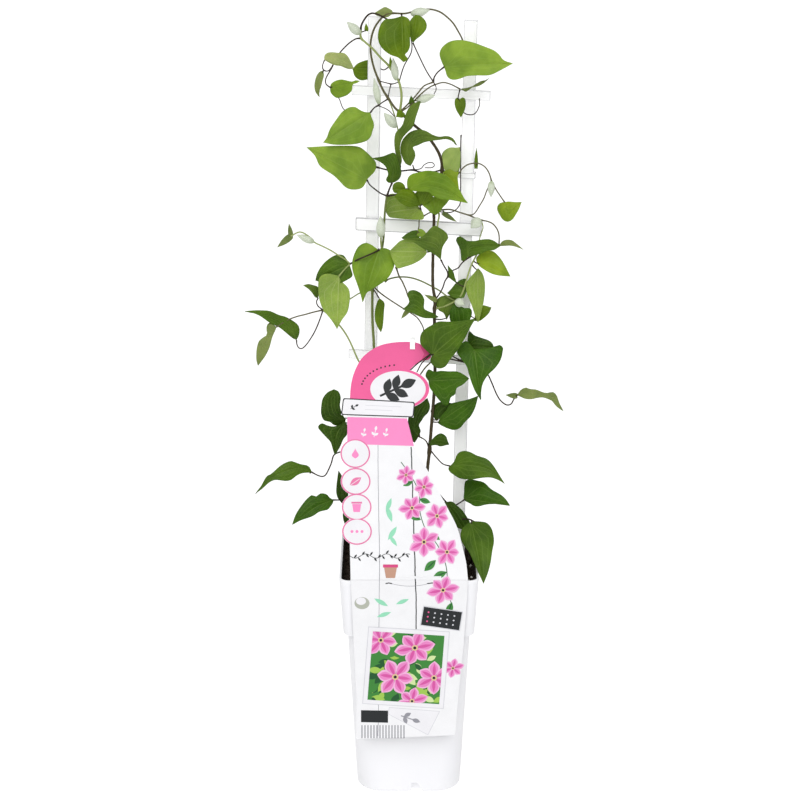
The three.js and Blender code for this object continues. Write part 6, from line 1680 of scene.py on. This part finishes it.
def counter_clockwise(outline):
    area = sum(a.x * b.y - b.x * a.y for a, b in zip(outline, outline[1:] + outline[:1]))
    return outline if area > 0 else outline[::-1]


def cut_at_fold(outline):
    """The parts of an outline above and below the card's fold."""
    parts = []
    for sign in (1, -1):
        kept = []
        for a, b in zip(outline, outline[1:] + outline[:1]):
            if a.y * sign >= 0:
                kept.append(a)
            if a.y * b.y < 0:
                edge = a.lerp(b, a.y / (a.y - b.y))
                kept.append(Vector((edge.x, 0.001 * sign)))
        if len(kept) > 2:
            parts.append(kept)
    return parts


def inside(outline, window):
    """The part of an outline that lies within a window with four straight sides."""
    window = counter_clockwise(window)
    for corner, following in zip(window, window[1:] + window[:1]):
        way = following - corner
        kept = []
        for a, b in zip(outline, outline[1:] + outline[:1]):
            here, there = way.cross(a - corner), way.cross(b - corner)
            if here >= 0:
                kept.append(a)
            if here * there < 0:
                kept.append(a.lerp(b, here / (here - there)))
        outline = kept
    return outline


def plate(outline, back, front):
    """Points and faces of a flat plate in front of the card's middle."""
    outline = counter_clockwise(outline)
    size = len(outline)
    points = [card_place(p.x, p.y, out) for out in (front, back) for p in outline]
    faces = [tuple(range(size)), tuple(range(2 * size - 1, size - 1, -1))]
    faces += [(i, i + size, (i + 1) % size + size, (i + 1) % size) for i in range(size)]
    return points, faces


PETAL_STEPS = 12
PETALS = 6


class Print:
    """The flat shapes printed on the front of the card, one layer over another."""

    def __init__(self, colours):
        self.points, self.faces, self.kinds = [], [], []
        self.names = list(colours)
        self.window = None
        self.count = 0

    def add(self, outline, colour, layer):
        """Prints the shape inside an outline, or as much of it as the window shows."""
        self.count += 1
        front = LABEL_THICKNESS / 2 + (layer + self.count % NUDGES * 0.3 / NUDGES) * LAYER
        if self.window:
            outline = inside(outline, self.window)
        for part in cut_at_fold(outline):
            points, faces = plate(part, front - INK_DEPTH * LAYER, front)
            first = len(self.points)
            self.points += points
            self.faces += [tuple(first + i for i in face) for face in faces]
            self.kinds += [self.names.index(colour)] * len(faces)

    def dot(self, centre, radius, colour, layer, steps=10):
        self.add(ellipse(centre, radius, radius, steps), colour, layer)

    def line(self, points, width, colour, layer):
        left, right = [], []
        for i, point in enumerate(points):
            along = direction(points, i)
            step = Vector((-along.y, along.x)) * width / 2
            left.append(point + step)
            right.append(point - step)
        self.add(left + right[::-1], colour, layer)

    def petal(self, root, angle, length, width, colour, layer, fullness=1.4):
        """A petal or leaf from its root: the larger the fullness, the nearer its tip it is widest."""
        along = Vector((math.cos(angle), math.sin(angle)))
        across = Vector((-along.y, along.x))
        steps = PETAL_STEPS
        half = [math.sin(math.pi * (i / steps) ** fullness) * width / 2 for i in range(steps + 1)]
        right = [root + along * length * i / steps - across * half[i] for i in range(steps + 1)]
        left = [root + along * length * i / steps + across * half[i] for i in range(steps - 1, 0, -1)]
        self.add(right + left, colour, layer)

    def blossom(self, centre, radius, turn, layer):
        """Six petals, each with a paler edge and a deeper rib, round a cream eye."""
        for i in range(PETALS):
            angle = turn + 2 * math.pi * i / PETALS
            reach = radius * (1 - 0.08 * (i % 3))
            self.petal(centre, angle, reach, radius * 0.58, "petal_edge", layer + i % 2, 1.35)
            self.petal(centre, angle + 0.03, reach * 0.93, radius * 0.42, "petal", layer + 2 + i % 2, 1.35)
            self.petal(centre, angle, reach * 0.84, radius * 0.16, "petal_deep", layer + 4, 1.1)
        self.dot(centre, radius * 0.15, "cream", layer + 5, steps=12)
        self.dot(centre, radius * 0.08, "ink", layer + 6, steps=8)

    def sprig(self, root, angle, size, colour, layer, pairs=2):
        """A short stalk with paired leaves and one at its end."""
        along = Vector((math.cos(angle), math.sin(angle)))
        self.line([root, root + along * size * 0.7], size * 0.06, colour, layer)
        for i in range(pairs):
            joint = root + along * size * (0.15 + 0.5 * i / pairs)
            for side in (-1, 1):
                self.petal(joint, angle + side * 0.85, size * 0.42, size * 0.22, colour, layer, 1.0)
        self.petal(root + along * size * 0.58, angle, size * 0.46, size * 0.24, colour, layer, 1.0)


def print_material(name, colour):
    """Printed card: a flat ink with a fine screen, under a soft gloss."""
    colour = tuple(v * CARD_WHITE for v in colour)
    deeper = tuple(v * 0.72 for v in colour)
    paler = tuple(min(1.0, v * 1.25 + 0.03) for v in colour)
    shader = Shader("print_" + name, Specular_IOR_Level=0.2)
    screen = shader.ramp(shader.noise(3200, 1), 0.4, 0.65, 0.0, 0.16)
    wash = shader.ramp(shader.noise(55, 2), 0.3, 0.7, 0.0, 0.14)
    inked = shader.blend(screen, shader.blend(wash, colour, deeper), paler)
    return shader.finish(inked, 0.34, [(shader.noise(240, 2), 0.02, 0.3)])


def oval(share):
    """The oval on the card's head, or a smaller or larger one round the same middle."""
    middle = on_card(*OVAL)
    across, tall = on_card(*OVAL_RIGHT).x - middle.x, on_card(*OVAL_TOP).y - middle.y
    return middle, across * share, tall * share


def card_body():
    """The outlines whose plates, joined, are the card."""
    discs = [ellipse(on_card(px, py), DISC_WIDTH, tall, steps=48) for px, py, tall in DISCS]
    head = [smooth_runs(HEAD), smooth_runs(UPPER), outline_on_card(BANNER), ellipse(*oval(1.0), steps=60)]
    return head + discs + [outline_on_card(LOWER)]


def tongue_mesh():
    """The tongue behind the card that hooks over the rim."""
    half = LABEL_THICKNESS / 2
    front, back = LABEL_Y - 0.1, -RIM_WIDTH / 2 + WALL + 1.05
    low, seat = POT_HEIGHT - TONGUE["drop"], POT_HEIGHT + LABEL_GAP
    top = seat + TONGUE["rise"]
    side = [
        (front, seat), (back + half, seat), (back, low), (back + LABEL_THICKNESS, low),
        (back + LABEL_THICKNESS + half, seat + 1.2), (back - 0.6, seat + 2.2), (front + 1.2, top),
        (front, top - 1),
    ]
    return loft([[(x, y, z) for y, z in side] for x in (TONGUE["left"], TONGUE["right"])])


def make_card():
    half = LABEL_THICKNESS / 2
    first, *others = [plate(outline, -half, half) for outline in card_body()]
    material = print_material("card", (0.95, 0.95, 0.97))
    card = make_piece("label_card", *first, [material], "label_card", replaces=["label"])
    for points, faces in others + [tongue_mesh()]:
        boolean(card, points, faces, "UNION")
    shade_by_angle(card.data, 30)


INKS = {
    "hot_pink": ink("F5629F"), "tip_pink": ink("DB4782"), "light_pink": ink("FF92CC"),
    "rim_pink": ink("EE7FAF"), "white": ink("F6F5F9"), "ink": ink("25292B"), "grey": ink("9A9AA2"),
    "pale_grey": ink("DCDCE2"), "petal_edge": ink("F8BCE2"), "petal": ink("F08BCB"),
    "petal_deep": ink("DC5BA8"), "cream": ink("E9C79A"), "leaf_ink": ink("3F8A3A"),
    "leaf_dark": ink("1F5A2E"), "leaf_lime": ink("A5CE57"), "leaf_pale": ink("D9EBA9"),
    "mint": ink("9BE4C0"), "clay": ink("C79A83"), "stone": ink("B9BDB0"),
}
PICTURE_GREENS = ("leaf_dark", "leaf_lime", "leaf_ink", "leaf_pale", "leaf_dark", "leaf_lime")

# Where the print lies on the card, in the frame
SHADED_HEAD_TIP = [(419, 343.6), (425, 349), (430, 354), (431, 357), (428, 360), (421, 361), (424, 354)]
OVAL_SPRIG = (380, 396)
PANEL = [(347.3, 417), (407, 418.5), (414, 446), (347.3, 444)]
PANEL_SPRIGS = [(363, 437, 9), (374, 437, 11), (385, 437, 9)]  # px, py, length
# Joints between the planks behind the flowers: ink, width and unevenness, and the points of each
PLANK_JOINTS = {
    ("grey", 0.55, 0.1): [
        (378.5, 418), (378, 446), (378.5, 500), (379.5, 560), (379, 620), (378.5, 700), (378, 736),
    ],
    ("ink", 1.1, 0.22): [
        (411, 447), (412, 470), (413, 505), (414.2, 540), (415.2, 575), (416, 600), (416.2, 629),
    ],
}
# A climbing stem with blossoms, as (px, py, radius, turn), and leaves, as (px, py, angle, length)
GARLAND_STEM = [
    (401, 462), (411, 476), (419, 493), (420, 512), (426, 530), (438, 546), (446, 566), (448, 590),
    (452, 606),
]
GARLAND = [
    (406, 475, 10.5, 0.4), (424, 487, 12, 1.3), (412, 508, 14, 0.1), (437, 516, 14, 0.8),
    (424, 542, 16.5, 0.5), (447, 552, 14.5, 1.0), (443, 590, 17, 0.2),
]
GARLAND_LEAVES = [
    (413, 481, 3.6, 11), (419, 499, -0.3, 12), (421, 520, 2.7, 14), (430, 533, -0.6, 12),
    (436, 560, 3.9, 16), (447, 572, 3.5, 15), (452, 602, -1.9, 15),
]
PICTURE = [(369, 627), (449, 632), (443, 708), (363, 703)]
# Blossoms in the picture, as (share across, share down, radius, turn), and one half hidden behind it
PICTURE_BLOSSOMS = [
    (0.12, 0.12, 19, 0.9), (0.6, 0.2, 21, 0.2), (0.9, 0.62, 20, 0.5), (0.36, 0.64, 22, 0.9),
    (0.62, 0.98, 17, 0.3),
]
HIDDEN_BLOSSOM = (453, 668)
TAG = [(424, 606.5), (462, 612), (459, 630), (421, 624.5)]
SLIP = [(389, 707), (440, 711), (428, 735), (388, 714)]
SLIP_SPRIG = (401, 715.5)
DARK_FIELD = [(361, 710), (388, 710.5), (388, 722.5), (361, 722)]
STRIPES = {"left": 362, "spacing": 3, "count": 15, "top": 725, "foot": 738}
MINT_LEAVES = [  # px, py, angle, length
    (386, 512, 1.2, 15), (392, 522, 1.9, 17), (388, 540, 1.0, 16), (397, 546, 2.2, 13), (388, 606, 2.6, 16),
    (391, 612, 3.5, 15), (396, 604, 0.4, 14),
]
CLAY_POT = [(384, 567), (397, 567), (395, 578), (386, 578)]
CLAY_RIM = [(383, 564.5), (398, 564.5), (398, 567.5), (383, 567.5)]
STONE = (362, 603)
STONE_LIGHT = (361, 601)
TWINE = (350, 556)
SLIT_ENDS = [(385.5, 392), (427, 437)]
SLIT_ROW = 583.5
SLIT_MIDDLE = 410


def quad_point(corners, across, down):
    """The point at shares of a quad's width and height from its top left corner."""
    top = corners[0].lerp(corners[1], across)
    return top.lerp(corners[3].lerp(corners[2], across), down)


def corner_ways(corners):
    """Each corner of a quad with the ways from it along its two sides."""
    for before, corner, after in zip(corners[-1:] + corners[:-1], corners, corners[1:] + corners[:1]):
        yield corner, (before - corner).normalized(), (after - corner).normalized()


def grown_quad(corners, by):
    """The corners moved outwards, so that every side moves by the same distance."""
    return [corner - (back + on) * by for corner, back, on in corner_ways(corners)]


def rounded_quad(corners, radius, steps=4):
    """The outline of a quad whose corners are rounded."""
    outline = []
    for corner, back, on in corner_ways(corners):
        start, end = corner + back * radius, corner + on * radius
        for i in range(steps + 1):
            share = i / steps
            outline.append(start.lerp(corner, share).lerp(corner.lerp(end, share), share))
    return outline


def print_head(sheet):
    """Pink arch, its tip printed deeper as painted shade, and the white oval with a plain sprig and a row of
    dots.
    """
    sheet.add(smooth_runs(HEAD), "hot_pink", 1)
    # The deeper pink over the tip is painted shade, where the tip turns from the light; the card is flat.
    sheet.add(outline_on_card(SHADED_HEAD_TIP), "tip_pink", 2)
    sheet.add(ellipse(*oval(0.99), steps=60), "hot_pink", 2)
    sheet.add(ellipse(*oval(0.88), steps=60), "white", 3)
    sheet.sprig(on_card(*OVAL_SPRIG), 0.42, 38, "ink", 4, 2)
    middle, across, tall = oval(1.17)
    for i in range(11):
        angle = math.radians(mix(168, 96, i / 10))
        sheet.dot(middle + Vector((across * math.cos(angle), tall * math.sin(angle))), 0.9, "ink", 4)


def print_banner(sheet):
    """A white banner in a dark frame, with a small sprig and two pale bars."""
    corners = outline_on_card(BANNER)
    sheet.add(rounded_quad(corners, 2.5), "ink", 7)
    sheet.add(rounded_quad(grown_quad(corners, -1.1), 1.8), "white", 8)
    sheet.sprig(quad_point(corners, 0.12, 0.62), 0.5, 9, "ink", 9, 1)
    for down, end in ((0.36, 0.82), (0.62, 0.7)):
        ends = [quad_point(corners, 0.32, down), quad_point(corners, end, down)]
        sheet.line(ends, 0.5, "pale_grey", 9)


def print_panel(sheet):
    """A pink panel with three white sprigs."""
    sheet.add(outline_on_card(PANEL), "light_pink", 3)
    for px, py, length in PANEL_SPRIGS:
        sheet.sprig(on_card(px, py), 1.35, length, "white", 4, 1)


def print_discs(sheet):
    """Four round fields with pink rims and a plain sign in each: a drop, a leaf, a pot and three dots."""
    centres = [on_card(px, py) for px, py, _ in DISCS]
    for centre, (_, _, tall) in zip(centres, DISCS):
        sheet.add(ellipse(centre, DISC_WIDTH - 0.2, tall - 0.2, steps=48), "rim_pink", 5)
        sheet.add(ellipse(centre, DISC_WIDTH - 1.6, tall - 1.5, steps=48), "white", 6)
    drop, leafy, potted, dotted = centres
    sheet.petal(drop + Vector((0, 6)), -math.pi / 2, 11, 7, "light_pink", 7, 1.9)
    sheet.petal(leafy + Vector((-6, -4)), 0.6, 14, 7, "rim_pink", 7, 1.0)
    sheet.line([leafy + Vector((-7, -5)), leafy + Vector((4, 2.6))], 0.5, "white", 8)
    pot = ((-4.5, 3), (4.5, 3), (3.2, -5), (-3.2, -5))
    rim = ((-5.3, 3.4), (5.3, 3.4), (5.3, 5.2), (-5.3, 5.2))
    for shape, colour in ((pot, "light_pink"), (rim, "rim_pink")):
        sheet.add([potted + Vector(p) for p in shape], colour, 7)
    for x in (-5, 0, 5):
        sheet.dot(dotted + Vector((x, 0)), 1.5, "light_pink", 7, steps=16)


def print_planks(sheet):
    """The joints between white planks, drawn a little unevenly."""
    source = random.Random(5)
    for (colour, width, jitter), joint in PLANK_JOINTS.items():
        path = [p + Vector((source.uniform(-jitter, jitter), 0)) for p in curve_on_card(joint, 4)]
        sheet.line(path, width, colour, 1)


def print_garland(sheet):
    """A climbing stem with leaves and pink blossoms."""
    sheet.line(curve_on_card(GARLAND_STEM, 2), 0.8, "leaf_dark", 2)
    for px, py, angle, length in GARLAND_LEAVES:
        root = on_card(px, py)
        sheet.petal(root, angle, length, length * 0.46, "leaf_ink", 3, 1.0)
        sheet.petal(root, angle, length * 0.8, length * 0.08, "leaf_dark", 4, 1.0)
    for i, (px, py, radius, turn) in enumerate(GARLAND):
        sheet.blossom(on_card(px, py), radius, turn, 5 + 8 * (i % 2))


def print_picture(sheet):
    """A square of blossoms among leaves in a white frame, and a blossom half hidden behind it."""
    sheet.blossom(on_card(*HIDDEN_BLOSSOM), 12, 0.3, 1)
    corners = outline_on_card(PICTURE)
    sheet.add(grown_quad(corners, 0.7), "pale_grey", 8)
    sheet.add(corners, "white", 9)
    field = grown_quad(corners, -4.2)
    sheet.window = field
    sheet.add(field, "leaf_ink", 10)
    source = random.Random(21)
    for i in range(90):
        root = quad_point(field, source.uniform(-0.1, 1.0), source.uniform(0.0, 1.1))
        length = source.uniform(8, 17)
        angle = source.uniform(-0.6, 2.4)
        sheet.petal(root, angle, length, length * 0.5, PICTURE_GREENS[i % 6], 11 + i % 3, 1.0)
    for i, (across, down, radius, turn) in enumerate(PICTURE_BLOSSOMS):
        sheet.blossom(quad_point(field, across, down), radius, turn, 14 + 7 * (i % 2))
    sheet.window = None


def print_tag(sheet):
    """A dark tag with plain dots in rows."""
    tag = outline_on_card(TAG)
    sheet.add(grown_quad(tag, 0.8), "pale_grey", 14)
    sheet.add(tag, "ink", 15)
    for row in range(3):
        for column in range(5):
            centre = quad_point(tag, 0.14 + 0.17 * column, 0.26 + 0.25 * row)
            sheet.dot(centre, 0.9, "hot_pink" if column == 0 else "pale_grey", 16)


def print_foot(sheet):
    """A plain slanted card below the picture, and a dark field over even stripes."""
    slip = outline_on_card(SLIP)
    sheet.add(slip, "pale_grey", 2)
    sheet.add(grown_quad(slip, -0.6), "white", 3)
    sheet.sprig(on_card(*SLIP_SPRIG), -0.35, 20, "grey", 4, 1)
    sheet.add(outline_on_card(DARK_FIELD), "ink", 4)
    for i in range(STRIPES["count"]):
        px = STRIPES["left"] + STRIPES["spacing"] * i
        sheet.line([on_card(px, STRIPES["top"]), on_card(px, STRIPES["foot"])], 1.1, "grey", 4)


def print_ornaments(sheet):
    """Mint leaves, a clay pot, a round stone and a dark twining line with small leaves."""
    for px, py, angle, length in MINT_LEAVES:
        sheet.petal(on_card(px, py), angle, length, length * 0.3, "mint", 2, 1.0)
    sheet.add(outline_on_card(CLAY_POT), "clay", 2)
    sheet.add(outline_on_card(CLAY_RIM), "tip_pink", 3)
    sheet.add(ellipse(on_card(*STONE), 7.5, 6.5), "stone", 2)
    sheet.add(ellipse(on_card(*STONE_LIGHT), 5, 4), "white", 3)
    px, py = TWINE
    twine = [on_card(px + 2 * i, py + 2.2 * math.sin(0.6 * i)) for i in range(31)]
    sheet.line(twine, 0.55, "ink", 2)
    for i in range(2, 30, 2):
        sheet.petal(twine[i], 0.9 if i % 4 else -0.9, 4.6, 1.7, "ink", 2, 1.0)


def print_slit(sheet):
    """The slit at the fold, where the tongue behind the card is cut out, printed as painted shade of its
    gaps.
    """
    # The card is not cut: its dark and grey lines stand for the shade inside the slit.
    for start, end in SLIT_ENDS:
        middle = on_card((start + end) / 2, SLIT_ROW - 0.7)
        sheet.line([on_card(start, SLIT_ROW), middle, on_card(end, SLIT_ROW)], 1.1, "ink", 3)
    slit = []
    for px in range(SLIT_MIDDLE - 18, SLIT_MIDDLE + 19, 3):
        slit.append(on_card(px, SLIT_ROW + 0.1 + 2.4 * (1 - ((px - SLIT_MIDDLE) / 18) ** 2)))
    sheet.line(slit, 0.4, "grey", 3)


PRINT_JOBS = (
    print_head, print_banner, print_panel, print_discs, print_planks, print_garland, print_picture,
    print_tag, print_foot, print_ornaments, print_slit,
)


def make_label():
    """The card, and its print as one piece of thin plates."""
    make_card()
    sheet = Print(INKS)
    for job in PRINT_JOBS:
        job(sheet)
    materials = [print_material(name, colour) for name, colour in INKS.items()]
    printed = make_piece("label_print", sheet.points, sheet.faces, materials, "label_card", smooth=False)
    printed.data.polygons.foreach_set("material_index", sheet.kinds)


# The strap of the label: where it is seen at its top and its foot, and its size
STRAP_TOP = (412.5, 340.5, 15)
STRAP_FOOT = (412.5, 350, 10)
STRAP_WIDTH = 5
STRAP_THICKNESS = 1.3
STRAP_EDGE = 0.35


def make_strap(material):
    """The white strap that holds the top of the card to the third crossbar."""
    top, foot = seen(*STRAP_TOP), seen(*STRAP_FOOT)
    height, _, face = BARS["crossbar_3"]
    bar_top = height + face / 2 + BAR_GAP
    bar_front = TRELLIS_Y - RAIL_DEPTH / 2 - BAR_GAP - BAR_DEPTH + top.x * math.sin(TRELLIS_TURN)
    bar_back = bar_front + BAR_DEPTH + 1
    stand_off = 0.5 * LABEL_THICKNESS / math.cos(LABEL_LEAN) + BAR_GAP
    low, high = (LABEL_Y + (z - LABEL_FOLD_HEIGHT) * LABEL_SLOPE - stand_off for z in (foot.z, top.z))
    inner = [
        (low, foot.z), (high, top.z - 0.5), (high + 2 + BAR_GAP, top.z + 1),
        (bar_front + BAR_DEPTH / 2, bar_top + 4), (bar_back, bar_top), (bar_back, bar_top - 5),
    ]
    half, thick, edge = STRAP_WIDTH / 2, STRAP_THICKNESS, STRAP_EDGE
    section = [
        (-half, edge), (-half + edge, 0), (half - edge, 0), (half, edge),
        (half, thick - edge), (half - edge, thick), (-half + edge, thick), (-half, thick - edge),
    ]
    path = catmull_rom([Vector((top.x, y, z)) for y, z in inner], 1.0)
    rings = []
    for i, point in enumerate(path):
        along = direction(path, i)
        out = Vector((0, -along.z, along.y))
        rings.append([point + Vector((x, 0, 0)) + out * rise for x, rise in section])
    strap = make_piece("label_strap", *loft(rings), [material], "trellis_white", replaces=["label_hook"])
    shade_by_angle(strap.data, 40)


make_camera()
make_studio()
make_pot()
make_trellis()
make_soil()
make_label()
make_vines()
